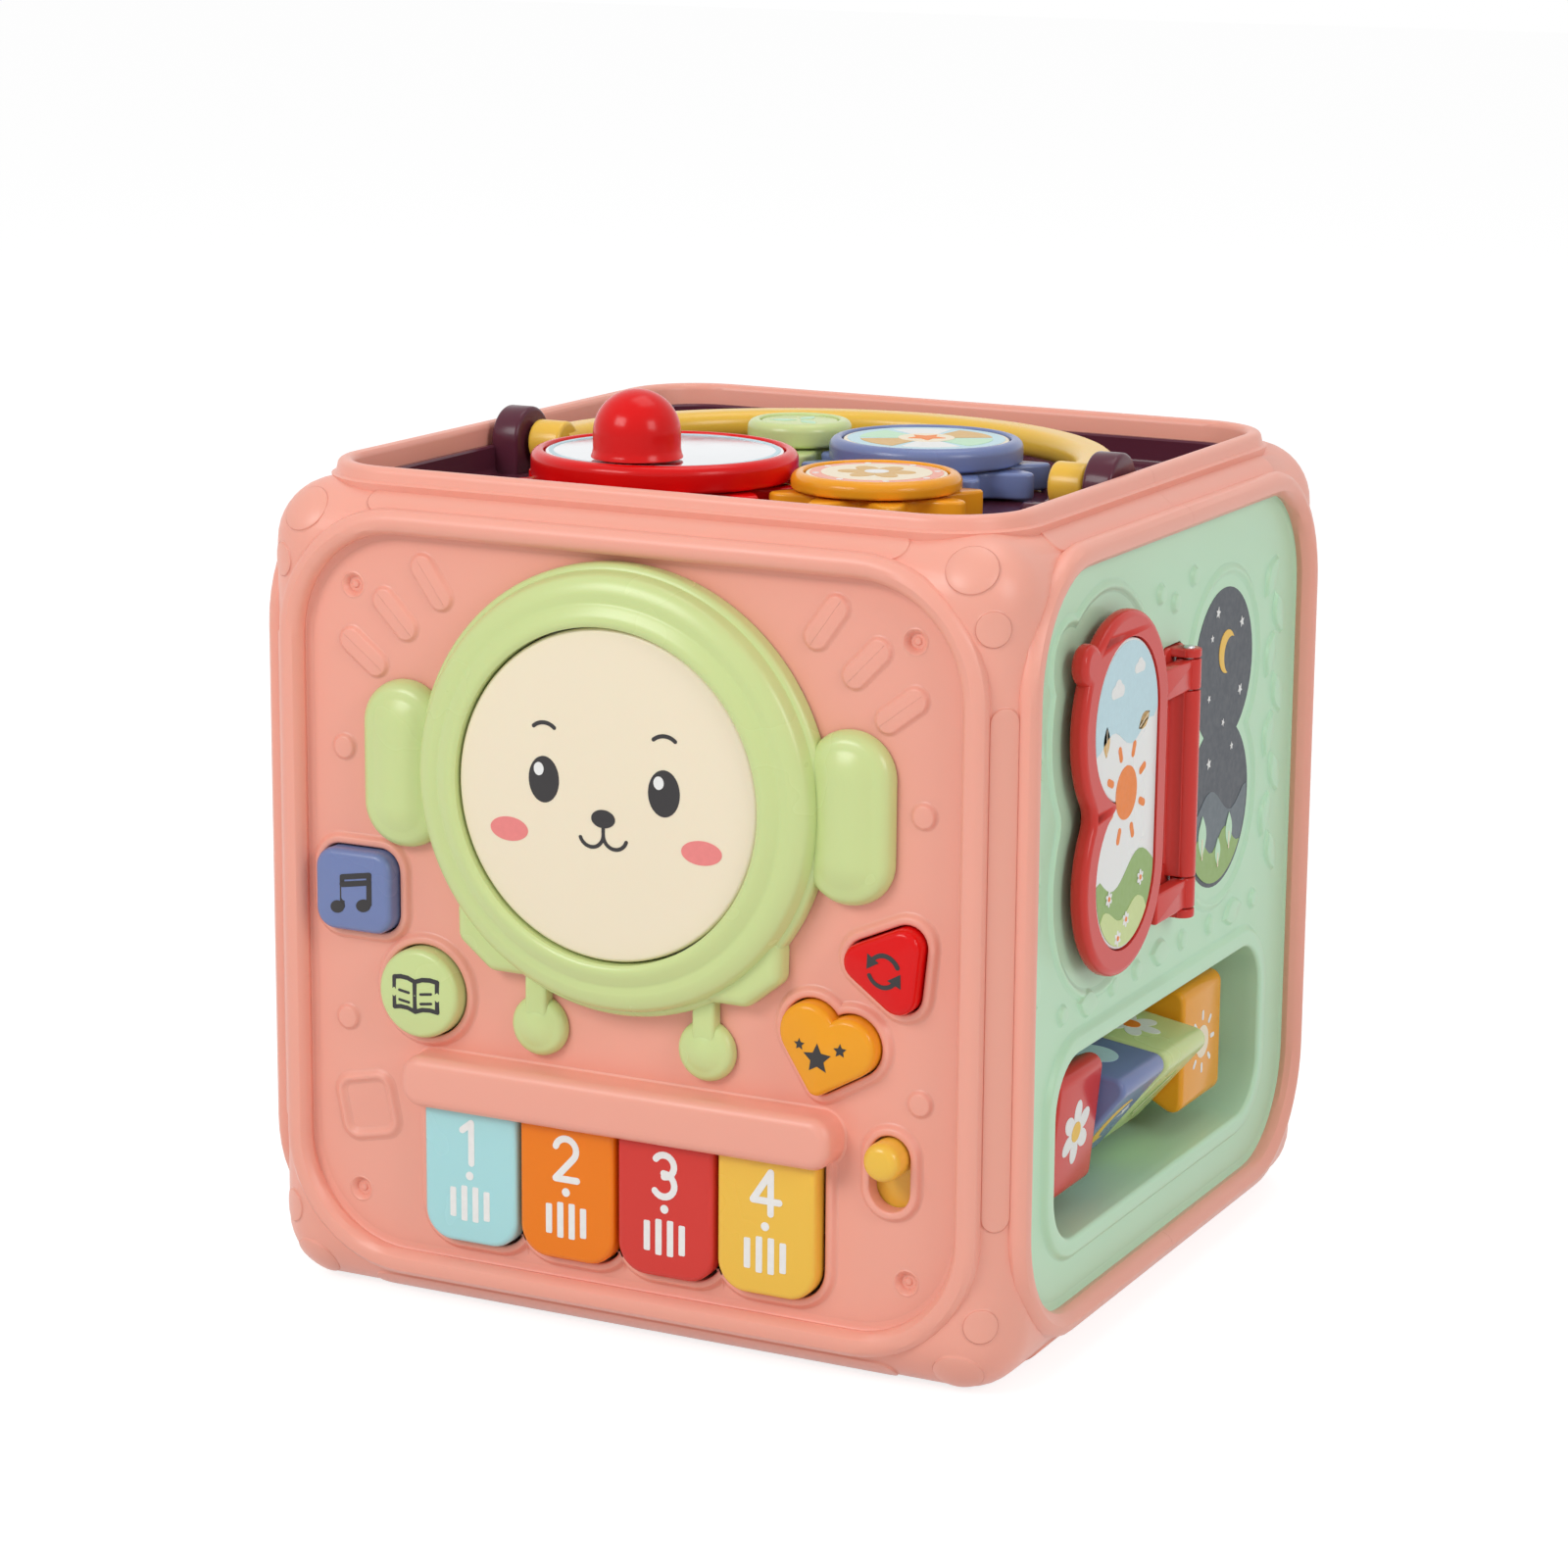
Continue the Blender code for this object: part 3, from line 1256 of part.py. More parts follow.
def make_tray():
    """The plum tray with four gear posts and the two ears that carry the handle."""
    width = LIP_OPENING - 2 * TRAY_GAP
    corner = LIP_CORNER - LIP_WALL - TRAY_GAP
    outline = [rounded_rect(width, width, corner)]
    tray = slab("top_tray", outline, TRAY_FLOOR_Z - TRAY_WALL, TRAY_RIM_Z, "plum")
    inner = width - 2 * TRAY_WALL
    hollow = [rounded_rect(inner, inner, corner - TRAY_WALL)]
    cut(tray, slab("tray_hollow", hollow, TRAY_FLOOR_Z, TRAY_RIM_Z + OVERRUN))
    for x, y in gear_centres():
        low = TRAY_FLOOR_Z - SINK
        fuse(tray, rod("gear_post", POST_RADIUS, low, POST_TOP_Z, None, None, (x, y, 0), sides=14))
    near = HANDLE_RADIUS + HANDLE_WIDTH / 2 + SIDE_GAP
    far = near + HANDLE_EAR_WALL
    for way in (-1, 1):
        ends = sorted((way * near, way * far))
        low = (ends[0], HANDLE_Y - HANDLE_EAR_RADIUS, TRAY_FLOOR_Z - SINK)
        high = (ends[1], HANDLE_Y + HANDLE_EAR_RADIUS, HANDLE_PIVOT_Z)
        fuse(tray, block("ear_foot", low, high))
        at = (0, HANDLE_Y, HANDLE_PIVOT_Z)
        across = (0, radians(90), 0)
        fuse(tray, rod("ear_head", HANDLE_EAR_RADIUS, ends[0], ends[1], None, None, at, across, 16))
    make_handle_pins(tray)


def pin_ends():
    """Where a handle pin starts and ends, measured from the middle of the handle."""
    far = HANDLE_RADIUS + HANDLE_WIDTH / 2 + SIDE_GAP + HANDLE_EAR_WALL - TRAY_WALL
    return far - HANDLE_PIN_LENGTH, far


def make_handle_pins(tray):
    near, far = pin_ends()
    at = (0, HANDLE_Y, HANDLE_PIVOT_Z)
    across = (0, radians(90), 0)
    bore = HANDLE_PIN_RADIUS + SEAT_GAP
    for way, name in ((-1, "handle_pin_left"), (1, "handle_pin_right")):
        ends = sorted((way * near, way * far))
        rod(name, HANDLE_PIN_RADIUS, ends[0], ends[1], "steel", None, at, across, 10)
        ends = sorted((way * HANDLE_RADIUS, way * (far + SEAT_GAP)))
        cut(tray, rod(name + "_socket", bore, ends[0], ends[1], None, None, at, across, 10))


def make_handle():
    """A half ring that lies round the gears and swings up on two pins."""
    half = HANDLE_WIDTH / 2
    middle = (0, 0)
    outline = arc(middle, HANDLE_RADIUS + half, 0, 180, HANDLE_STEPS)
    outline += arc(middle, HANDLE_RADIUS - half, 180, 0, HANDLE_STEPS)
    at = (0, HANDLE_Y, HANDLE_PIVOT_Z)
    rise = HANDLE_HEIGHT / 2
    handle = slab("carry_handle", [outline], -rise, rise, "yellow", None, at)
    round_edges(handle, HANDLE_EDGE, 2)
    across = (0, radians(90), 0)
    near, far = pin_ends()
    bore = HANDLE_PIN_RADIUS + RUNNING_GAP
    for way in (-1, 1):
        eye = HANDLE_EYE_WIDTH / 2
        ends = (way * HANDLE_RADIUS - eye, way * HANDLE_RADIUS + eye)
        fuse(handle, rod("eye", HANDLE_EYE_RADIUS, ends[0], ends[1], None, None, at, across, 16))
        ends = sorted((way * (near - SEAT_GAP), way * far))
        cut(handle, rod("eye_bore", bore, ends[0], ends[1], None, None, at, across, 10))


def pointer(hub, tip, length):
    """A hand of a clock: a round hub that tapers to a round tip, along +u."""
    spread = degrees(acos((hub - tip) / length))
    return arc((0, 0), hub, spread, 360 - spread, 12) + arc((length, 0), tip, -spread, spread, 4)


def make_left_panel():
    panel = panel_shell("left_panel", "left", "sky")
    side = panel.parent
    loops = [circle(CLOCK_RADIUS, 26), circle(CLOCK_RADIUS - CLOCK_LINE, 26)]
    raise_on(panel, "clock_ring", loops, RIM_RISE, (0, CLOCK_V))
    make_clock_hands(panel)
    add_pocket(
        panel,
        "counter",
        COUNTER_WIDTH,
        COUNTER_HEIGHT,
        COUNTER_CORNER,
        COUNTER_V,
        COUNTER_DEPTH,
        COUNTER_RIM,
    )
    at = (0, COUNTER_V, -COUNTER_ROD_DEPTH)
    across = (0, radians(90), 0)
    reach = COUNTER_WIDTH / 2 + AXLE_SOCKET_DEPTH
    rod("bead_rod", COUNTER_ROD_RADIUS, -reach, reach, "steel", side, at, across, 10)
    bore = COUNTER_ROD_RADIUS + SEAT_GAP
    socket = reach + SEAT_GAP
    cut(panel, rod("bead_sockets", bore, -socket, socket, None, side, at, across, 10))
    for i, colour in enumerate(BEAD_COLOURS):
        u = (i - (BEAD_COUNT - 1) / 2) * BEAD_PITCH
        bead_at = (u, COUNTER_V, -COUNTER_ROD_DEPTH)
        half = BEAD_LENGTH / 2
        name = colour + "_bead"
        piece = rod(name, BEAD_OUTER_RADIUS, -half, half, colour, side, bead_at, across, 16)
        round_edges(piece, BEAD_EDGE, 2)
        bore = COUNTER_ROD_RADIUS + RUNNING_GAP
        cut(piece, rod(name + "_bore", bore, -2 * half, 2 * half, None, side, bead_at, across, 10))


def make_clock_hands(panel):
    side = panel.parent
    at = (0, CLOCK_V, 0)
    bore = circle(CLOCK_HUB_RADIUS + RUNNING_GAP, 16)
    low = PANEL_FACE + SEAT_GAP
    hands = (
        ("hour_hand", HOUR_HAND_LENGTH, "red", HOUR_HAND_DEGREES),
        ("minute_hand", MINUTE_HAND_LENGTH, "blue", MINUTE_HAND_DEGREES),
    )
    for name, length, colour, angle in hands:
        outline = turned_points(pointer(HAND_HUB_RADIUS, HAND_HEAD_WIDTH / 2, length), angle)
        slab(name, [outline, bore], low, low + HAND_WALL, colour, side, at)
        low += HAND_WALL + SEAT_GAP
    post_top = low - SEAT_GAP
    post = rod("clock_post", CLOCK_HUB_RADIUS, PANEL_FACE - SINK, post_top, None, side, at, sides=16)
    fuse(panel, post)
    cap = slab("hand_cap", [circle(HAND_CAP_RADIUS, 16)], low, low + HAND_CAP_WALL, "yellow", side, at)
    round_edges(cap, HAND_CAP_WALL / 2, 1)


def flower(radius, wave, petals, steps=7):
    points = []
    count = petals * steps
    for i in range(count):
        angle = 2 * pi * i / count
        reach = radius - wave * (0.5 - 0.5 * cos(petals * angle))
        points.append((reach * cos(angle), reach * sin(angle)))
    return points


def make_back_panel():
    panel = panel_shell("back_panel", "back", "lemon")
    side = panel.parent
    at = (0, SPINNER_V, 0)
    low = PANEL_FACE + SEAT_GAP
    top = low + SPINNER_WALL
    loops = [
        flower(SPINNER_RADIUS, SPINNER_WAVE, SPINNER_PETALS),
        circle(SPINNER_HUB_RADIUS + RUNNING_GAP, 16),
    ]
    spinner = slab("flower_spinner", loops, low, top, "coral", side, at)
    round_edges(spinner, SPINNER_EDGE, 1)
    post = rod("spinner_post", SPINNER_HUB_RADIUS, PANEL_FACE - SINK, top, None, side, at, sides=16)
    fuse(panel, post)
    cap_low = top + SEAT_GAP
    cap_loop = [circle(SPINNER_CAP_RADIUS, 20)]
    cap = slab("spinner_cap", cap_loop, cap_low, cap_low + SPINNER_CAP_WALL, "white", side, at)
    round_edges(cap, SPINNER_CAP_WALL / 2, 1)
    slot_at = (0, TRACK_V)
    rim = stadium(TRACK_LENGTH + 2 * RIM_WIDTH, TRACK_HEIGHT + 2 * RIM_WIDTH)
    raise_on(panel, "track_rim", [rim], RIM_RISE, slot_at)
    pierce(panel, "track_slot", stadium(TRACK_LENGTH, TRACK_HEIGHT), slot_at)
    make_track_knob(side)


def make_track_knob(side):
    at = (0, TRACK_V, 0)
    foot_top = PANEL_BACK - SEAT_GAP
    foot_low = foot_top - TRACK_FOOT_WALL
    width = TRACK_HEIGHT + 2 * TRACK_FOOT_OVERLAP
    low = PANEL_FACE + RIM_RISE + SEAT_GAP
    loop = [circle(TRACK_KNOB_RADIUS, 20)]
    knob = slab("track_knob", loop, low, TRACK_KNOB_RISE, "blue", side, at)
    round_edges(knob, TRACK_KNOB_EDGE, 2)
    neck = TRACK_HEIGHT / 2 - SIDE_GAP
    fuse(knob, rod("track_neck", neck, foot_top - SINK, low + SINK, None, side, at, sides=14))
    foot = [rounded_rect(width, width, TRACK_FOOT_OVERLAP, 3)]
    fuse(knob, slab("track_foot", foot, foot_low, foot_top, None, side, at))


def bay_half_sizes():
    """Half the length and half the width of the space for the batteries."""
    pitch = 2 * BATTERY_RADIUS + BATTERY_GAP
    half_width = (BATTERY_COUNT - 1) / 2 * pitch + BATTERY_RADIUS + BATTERY_GAP
    return BATTERY_LENGTH / 2 + BAY_END_GAP, half_width


def make_base():
    """The flat base: a grille under the speaker and a bay for the batteries."""
    width = BASE_OPENING - 2 * SIDE_GAP
    corner = BASE_CORNER - SIDE_GAP
    base = slab("base_panel", [rounded_rect(width, width, corner)], 0, BASE_SKIRT, "cream")
    inner = width - 2 * BASE_WALL
    hollow = [rounded_rect(inner, inner, corner - BASE_WALL)]
    cut(base, slab("base_hollow", hollow, BASE_WALL, BASE_SKIRT + OVERRUN))
    x, y = bay_half_sizes()
    ceiling = BATTERY_Z + BATTERY_RADIUS + BATTERY_GAP
    grow = DOOR_LEDGE + SEAT_GAP + BAY_WALL
    low = (-x - grow, BAY_Y - y - grow, SINK)
    high = (x + grow, BAY_Y + y + grow, ceiling + BAY_WALL)
    fuse(base, block("bay_block", low, high))
    low = (-x, BAY_Y - y, -OVERRUN)
    high = (x, BAY_Y + y, ceiling)
    cut(base, block("bay_space", low, high))
    at = (0, BAY_Y, 0)
    door = (2 * (x + DOOR_LEDGE), 2 * (y + DOOR_LEDGE))
    gap = 2 * SEAT_GAP
    recess = [rounded_rect(door[0] + gap, door[1] + gap, DOOR_CORNER + SEAT_GAP, 3)]
    door_top = DOOR_LOW_Z + DOOR_WALL
    cut(base, slab("door_recess", recess, -OVERRUN, door_top + SEAT_GAP, None, None, at))
    outline = [rounded_rect(door[0], door[1], DOOR_CORNER, 3)]
    slab("battery_door", outline, DOOR_LOW_Z, door_top, "cream", None, at)
    for i, count in enumerate(GRILLE_RINGS):
        for j in range(count):
            angle = 2 * pi * j / count
            hole_at = (i * GRILLE_STEP * cos(angle), SPEAKER_Y + i * GRILLE_STEP * sin(angle), 0)
            hole = rod("grille", GRILLE_HOLE_RADIUS, -OVERRUN, OVERRUN, None, None, hole_at, sides=6)
            cut(base, hole)
    make_batteries()
    make_speaker()


def make_batteries():
    half = BATTERY_LENGTH / 2
    profile = [
        (0, half),
        (BATTERY_NUB_RADIUS, half),
        (BATTERY_NUB_RADIUS, half - BATTERY_NUB_LENGTH),
        (BATTERY_RADIUS, half - BATTERY_NUB_LENGTH),
        (BATTERY_RADIUS, -half),
        (0, -half),
    ]
    for i in range(BATTERY_COUNT):
        y = BAY_Y + (i - (BATTERY_COUNT - 1) / 2) * (2 * BATTERY_RADIUS + BATTERY_GAP)
        way = 90 if i % 2 == 0 else -90
        name = "battery_" + str(i + 1)
        turned(name, profile, "cell", None, (0, y, BATTERY_Z), (0, radians(way), 0), steps=14)


def make_speaker():
    low = BASE_WALL + SEAT_GAP
    rim = low + SPEAKER_RIM_WALL
    cone = rim + SPEAKER_CONE_HEIGHT
    top = cone + SPEAKER_MAGNET_HEIGHT
    profile = [
        (0, top),
        (SPEAKER_MAGNET_RADIUS, top),
        (SPEAKER_MAGNET_RADIUS, cone),
        (SPEAKER_RADIUS, rim),
        (SPEAKER_RADIUS, low),
        (0, low),
    ]
    turned("speaker", profile, "black", None, (0, SPEAKER_Y, 0), steps=28)


make_frame()
make_front_panel()
make_board()
make_drum()
make_keys()
make_buttons()
make_switch()
make_right_panel()
make_book()
make_blocks()
make_tray()
make_gears()
make_handle()
make_left_panel()
make_back_panel()
make_base()
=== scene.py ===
"""Looks of the baby activity cube: smooth moulded shapes, prints, materials, light and camera.

Metres, +Z up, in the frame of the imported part. The front faces -Y, the book and blocks are on +X.
A side's own coordinates are u (to the right), v (up from the middle of its opening) and w (outward).
"""

from math import acos, atan2, cos, degrees, hypot, pi, radians, sin, tan

import bmesh
import bpy
from mathutils import Matrix, Vector


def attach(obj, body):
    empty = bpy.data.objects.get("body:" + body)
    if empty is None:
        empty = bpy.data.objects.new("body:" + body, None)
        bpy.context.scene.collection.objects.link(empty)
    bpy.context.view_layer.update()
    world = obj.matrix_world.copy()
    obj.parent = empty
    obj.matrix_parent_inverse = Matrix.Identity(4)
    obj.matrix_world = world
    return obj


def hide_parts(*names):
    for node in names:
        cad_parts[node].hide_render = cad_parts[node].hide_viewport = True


# Camera
PHOTO_PIXELS = 1600
SENSOR_MM = 36
FOCAL_PIXELS = 4229.7
PRINCIPAL_X = 874.6
PRINCIPAL_Y = 760.9
EYE = (0.38147, -0.76666, 0.29229)
YAW = 0.450308
ELEVATION = 0.21419
ROLL = 0.0118064
CLIP_NEAR = 0.05
CLIP_FAR = 20

# Frame
FRAME_WIDTH = 0.167
FRAME_HEIGHT = 0.1675
FRAME_WALL = 0.0026
EDGE_RADIUS = 0.013
EDGE_STEPS = 10
OPENING_WIDTH = 0.145
OPENING_HEIGHT = 0.1475
OPENING_CENTRE_Z = 0.085
OPENING_CORNER = 0.022
OPENING_RELIEF = 0.0008
BEAD_RADIUS = 0.0026
BEAD_RISE = 0.0015
LIP_OPENING = 0.1455
LIP_WALL = 0.0034
LIP_TOP = 0.1706
LIP_ROOT_Z = 0.1631
LIP_CORNER = 0.018
LIP_EDGE = 0.0014
BASE_OPENING = 0.124
BASE_CORNER = 0.016
OVERRUN = 0.004
SEAT_GAP = 0.0003
SIDE_GAP = 0.0004
RUNNING_GAP = 0.00035
SEAM_GAP = 0.00003
EDGE_PAD_WIDTH = 0.0058
EDGE_PAD_RISE = 0.00035
UPRIGHT_PAD_LENGTH = 0.1017
UPRIGHT_PAD_Z = 0.0857
LEVEL_PAD_WIDTH = 0.0064
LEVEL_PAD_LENGTH = 0.118
LEVEL_PAD_DEGREES = 52.0
BIG_DISC_RADIUS = 0.0051
BIG_DISC_TURN = 13.0
BIG_DISC_TILT = 37.0
SMALL_DISC_RADIUS = 0.0034
SMALL_DISC_TURN = 34.0
SMALL_DISC_DROP = 0.0031

# Panels
PANEL_FACE = -0.0028
PANEL_BACK = -0.0052
PANEL_REAR = -0.0088
PANEL_SKIRT_WALL = 0.0016
PANEL_OVERLAP = 0.0006
HOLE_GROW = 0.0002
RIM_WIDTH = 0.0019
RIM_RISE = 0.0012
RELIEF_RISE = 0.0008

# Drum
DRUM_V = 0.0277
DRUM_RING_RADIUS = 0.0448
DRUM_PAD_RADIUS = 0.0328
DRUM_RISE = 0.0066
DRUM_FOOT = -0.0025
DRUM_PLATE = 0.0036
DRUM_PLATE_EDGE = 0.0014
DRUM_RING_INSET = 0.0012
DRUM_BAND = (
    (0.0, 0.0), (0.08, 0.42), (0.2, 0.62), (0.36, 0.74), (0.46, 0.75), (0.56, 0.75),
    (0.64, 0.83), (0.78, 0.96), (0.88, 1.0), (0.95, 0.96), (1.0, 0.88),
)
DRUM_POCKET_RADIUS = 0.0362
DRUM_POCKET_HEIGHT = 0.0034
PAD_RISE = 0.005
PAD_DOME = 0.0009
PAD_WALL = 0.002
COLLAR_TOP_V = 0.0035
COLLAR_TOP_U = 0.0362
COLLAR_SHOULDER_V = -0.0058
COLLAR_SHOULDER_U = 0.036
COLLAR_FOOT_V = -0.0118
COLLAR_FOOT_U = 0.0285
COLLAR_CORNER = 0.0032
COLLAR_TOP = 0.0019
COLLAR_EDGE = 0.0026
EAR_U = 0.0492
EAR_WIDTH = 0.0185
EAR_HEIGHT = 0.034
EAR_RISE = 0.0052
EAR_CORNER = 0.009
FOOT_U = 0.0187
FOOT_V = -0.0222
FOOT_RADIUS = 0.0062
FOOT_RISE = 0.0034
FOOT_EDGE = 0.002
FOOT_CROWN = 0.0011
STEM_EDGE = 0.0009
EAR_EDGE = 0.0032
EAR_CROWN = 0.0016
EAR_REACH = 0.0088
STEM_WIDTH = 0.005
STEM_TOP_V = -0.0105
STEM_RISE_SHARE = 0.8

# Keys
KEY_COUNT = 4
KEY_PITCH = 0.0222
KEY_WIDTH = 0.0215
KEY_TOP_V = -0.0342
KEY_LOW_V = -0.0692
KEY_CORNER = 0.0062
KEY_RISE = 0.0014
KEY_WALL = 0.0046
KEY_EDGE = 0.0013
HOOD_WIDTH = 0.0962
HOOD_TOP_V = -0.0308
HOOD_LOW_V = -0.0415
HOOD_RISE = 0.0044
HOOD_CORNER = 0.0045
HOOD_EDGE = 0.0024
BAY_GAP = 0.0006

# Buttons and switch
BUTTON_RISE = 0.0052
BUTTON_EDGE = 0.0015
BUTTON_CROWN = 0.0008
BUTTON_GAP = 0.00035
SQUARE_U = -0.0602
SQUARE_V = 0.0008
SQUARE_WIDTH = 0.0178
SQUARE_HEIGHT = 0.0168
SQUARE_CORNER = 0.0042
ROUND_U = -0.0452
ROUND_V = -0.0186
ROUND_RADIUS = 0.0092
TRIANGLE_U = 0.0583
TRIANGLE_V = -0.0002
TRIANGLE_REACH = 0.0092
TRIANGLE_CORNER = 0.0038
TRIANGLE_TURN = 174.0
HEART_U = 0.0452
HEART_V = -0.0186
HEART_WIDTH = 0.0206
HEART_HEIGHT = 0.0176
HEART_TURN = -14.0
HEART_LOBE_SHARE = 0.29
HEART_TIP_SHARE = 0.1
SWITCH_U = 0.0583
SWITCH_V = -0.0413
SWITCH_SLOT_WIDTH = 0.0086
SWITCH_SLOT_HEIGHT = 0.0152
SWITCH_KNOB_RADIUS = 0.0039
SWITCH_KNOB_RISE = 0.0036
SWITCH_TRAVEL = 0.0066
SWITCH_PLATE_WIDTH = 0.0112
SWITCH_PLATE_WALL = 0.0014
SWITCH_PLATE_OVERLAP = 0.0012

# Relief of the front panel
DOT_RADIUS = 0.0024
DOT_PLACES = ((-0.0641, 0.0294), (0.0641, 0.0294), (-0.0641, -0.0268), (0.0641, -0.0268))
SCREW_RADIUS = 0.0023
SCREW_DEPTH = 0.0012
SCREW_PLACES = ((-0.0617, 0.0625), (0.0617, 0.0625), (-0.0617, -0.063), (0.0617, -0.063))
PILL_WIDTH = 0.0052
PILL_HEIGHT = 0.0122
PILL_FAN_RADIUS = 0.0746
PILL_FAN_V = 0.0038
PILL_ANGLES = (54.5, 46.0, 37.5)
DIAMOND_PLACE = (-0.0596, -0.0449)
DIAMOND_SIZE = 0.0142
DIAMOND_LINE = 0.0022
DIAMOND_CORNER = 0.0028
DIAMOND_TURN = 12.0

# Book leaf on the right panel
BOOK_U = 0.001
BOOK_V = 0.022
BOOK_AXIS_RISE = 0.0009
BOOK_PIN_RADIUS = 0.0012
BOOK_KNUCKLE_RADIUS = 0.0026
SPINE_WIDTH = 0.0112
SPINE_HEIGHT = 0.0558
SPINE_WALL = 0.0017
SPINE_RECESS = 0.0012
SPINE_END_WALL = 0.0018
SPINE_CORNER = 0.002
PIN_HEAD = 0.0004
LEAF_WALL = 0.0036
LEAF_HEAD_RADIUS = 0.0217
LEAF_HEAD = (-0.036, 0.0197)
LEAF_BODY_RADIUS = 0.0205
LEAF_BODY = (-0.0352, -0.0111)
LEAF_ARM_HEIGHT = 0.0062
LEAF_ARM_ROOT_SHARE = 0.6
LEAF_EAR_RADIUS = 0.0042
LEAF_WAIST_EASE = 0.003
LEAF_EAR_REACH = 0.0222
LEAF_EAR_DEGREES = 142.0
LEAF_EDGE = 0.0014
LEAF_BORDER = 0.0052
LEAF_INSERT_WALL = 0.0012
PAGE_HEAD = (0.0305, 0.0405)
PAGE_HEAD_RADIUS = 0.0168
PAGE_BODY = (0.029, 0.0115)
PAGE_BODY_RADIUS = 0.0178

# Turning blocks in the lower window of the right panel
WINDOW_V = -0.0423
WINDOW_WIDTH = 0.112
WINDOW_HEIGHT = 0.0375
WINDOW_CORNER = 0.011
WINDOW_RIM = 0.0042
WINDOW_DEPTH = 0.0288
POCKET_WALL = 0.002
BLOCKS = (("red_block", "coral", "red"), ("blue_block", "blue", "blue"),
          ("green_block", "green", "green"), ("orange_block", "amber", "orange"))
BLOCK_TURNS = (6.0, 38.0, 40.0, 0.0)
BLOCK_REACH = 0.0152
BLOCK_CORNER = 0.0026
BLOCK_EDGE = 0.0011
BLOCK_LENGTH = 0.0222
BLOCK_END_GAP = 0.0008
AXLE_RADIUS = 0.0017
AXLE_DEPTH = 0.0154
AXLE_SOCKET_DEPTH = 0.0013

# Gear tray on top
TRAY_GAP = 0.0004
TRAY_FLOOR_Z = 0.1602
TRAY_WALL = 0.002
TRAY_RIM_Z = 0.1662
POST_RADIUS = 0.0034
POST_TOP_Z = 0.1655
GEAR_MODULE = 0.0045
GEAR_BACKLASH = 0.0004
GEAR_TOOTH_UP = 0.0036
GEAR_TOOTH_DOWN = 0.0042
GEAR_TOOTH_POWER = 1.3
GEAR_TOOTH_STEPS = 22
GEAR_START_DEGREES = 4.0
GEAR_LOW_Z = 0.1607
GEAR_TOOTH_TOP_Z = 0.1662
GEAR_CAP_LIFT = 0.0005
GEAR_NECK_INSET = 0.0006
CRANK_GEAR_SHARES = (-0.289, -0.5449)
GEAR_NAMES = ("crank", "orange", "blue", "green")
GEAR_BODIES = ("crank", "orange_wheel", "blue_wheel", "green_wheel")
GEAR_PAINTS = ("red", "amber", "blue", "green")
GEAR_SLOTS = ("coral", "orange", "blue", "green")
GEAR_TEETH = (12, 8, 10, 6)
GEAR_STEP_DEGREES = (7.0, 101.0, 163.3)
GEAR_CAP_SHARES = (1.0074, 0.9556, 0.9022, 0.8296)
GEAR_CAP_RISES = (0.006, 0.004, 0.0054, 0.0056)
GEAR_CAP_EDGE = 0.0019
GEAR_DISC_BORDER = 0.0026
GEAR_DISC_WALL = 0.0012
GEAR_DISC_SINK = 0.0004
KNOB_RADIUS = 0.0088
KNOB_SIDE = 0.0048
KNOB_REACH = 0.0158
KNOB_DEGREES = -82.0
KNOB_FLARE = 0.0007

# Carry handle
HANDLE_RADIUS = 0.0602
HANDLE_Y = -0.004
HANDLE_PIVOT_Z = 0.1668
HANDLE_WIDTH = 0.0088
HANDLE_HEIGHT = 0.0062
HANDLE_EYE_RADIUS = 0.0046
HANDLE_EYE_WIDTH = 0.0076
HANDLE_EDGE = 0.0028
HANDLE_EAR_WALL = 0.0064
HANDLE_EAR_RADIUS = 0.0072

# Clock and counting beads on the left panel
CLOCK_V = 0.022
CLOCK_RADIUS = 0.037
CLOCK_LINE = 0.003
CLOCK_HUB_RADIUS = 0.0034
HAND_HUB_RADIUS = 0.0052
HAND_WALL = 0.0016
HAND_TIP_RADIUS = 0.0021
HANDS = (("hour_hand", 0.0185, "red", 150.0), ("minute_hand", 0.0275, "blue", 60.0))
HAND_CAP_RADIUS = 0.0056
HAND_CAP_WALL = 0.0022
COUNTER_V = -0.0462
COUNTER_WIDTH = 0.098
COUNTER_HEIGHT = 0.029
COUNTER_CORNER = 0.012
COUNTER_DEPTH = 0.016
COUNTER_RIM = 0.003
COUNTER_ROD_RADIUS = 0.0016
COUNTER_ROD_DEPTH = 0.0078
COUNTER_BEADS = ("red", "yellow", "blue")
COUNTER_BEAD_RADIUS = 0.0095
COUNTER_BEAD_LENGTH = 0.0165
COUNTER_BEAD_PITCH = 0.03
COUNTER_BEAD_EDGE = 0.0042

# Flower spinner and slider on the back panel
SPINNER_V = 0.0215
SPINNER_PETALS = 6
SPINNER_RADIUS = 0.0335
SPINNER_WAVE = 0.0062
SPINNER_WALL = 0.0045
SPINNER_EDGE = 0.0018
SPINNER_HUB_RADIUS = 0.0042
SPINNER_CAP_RADIUS = 0.011
SPINNER_CAP_WALL = 0.0026
TRACK_V = -0.0445
TRACK_LENGTH = 0.088
TRACK_HEIGHT = 0.0072
TRACK_KNOB_RADIUS = 0.009
TRACK_KNOB_RISE = 0.005
TRACK_KNOB_EDGE = 0.0022
TRACK_FOOT_WALL = 0.0014
TRACK_FOOT_OVERLAP = 0.0022

SIDE_TURNS = {"front": 0, "right": 90, "back": 180, "left": -90}

# Print
INK_WALL = 0.00008
INK_SINK = 0.00003
LINE_LIFT = 0.00001

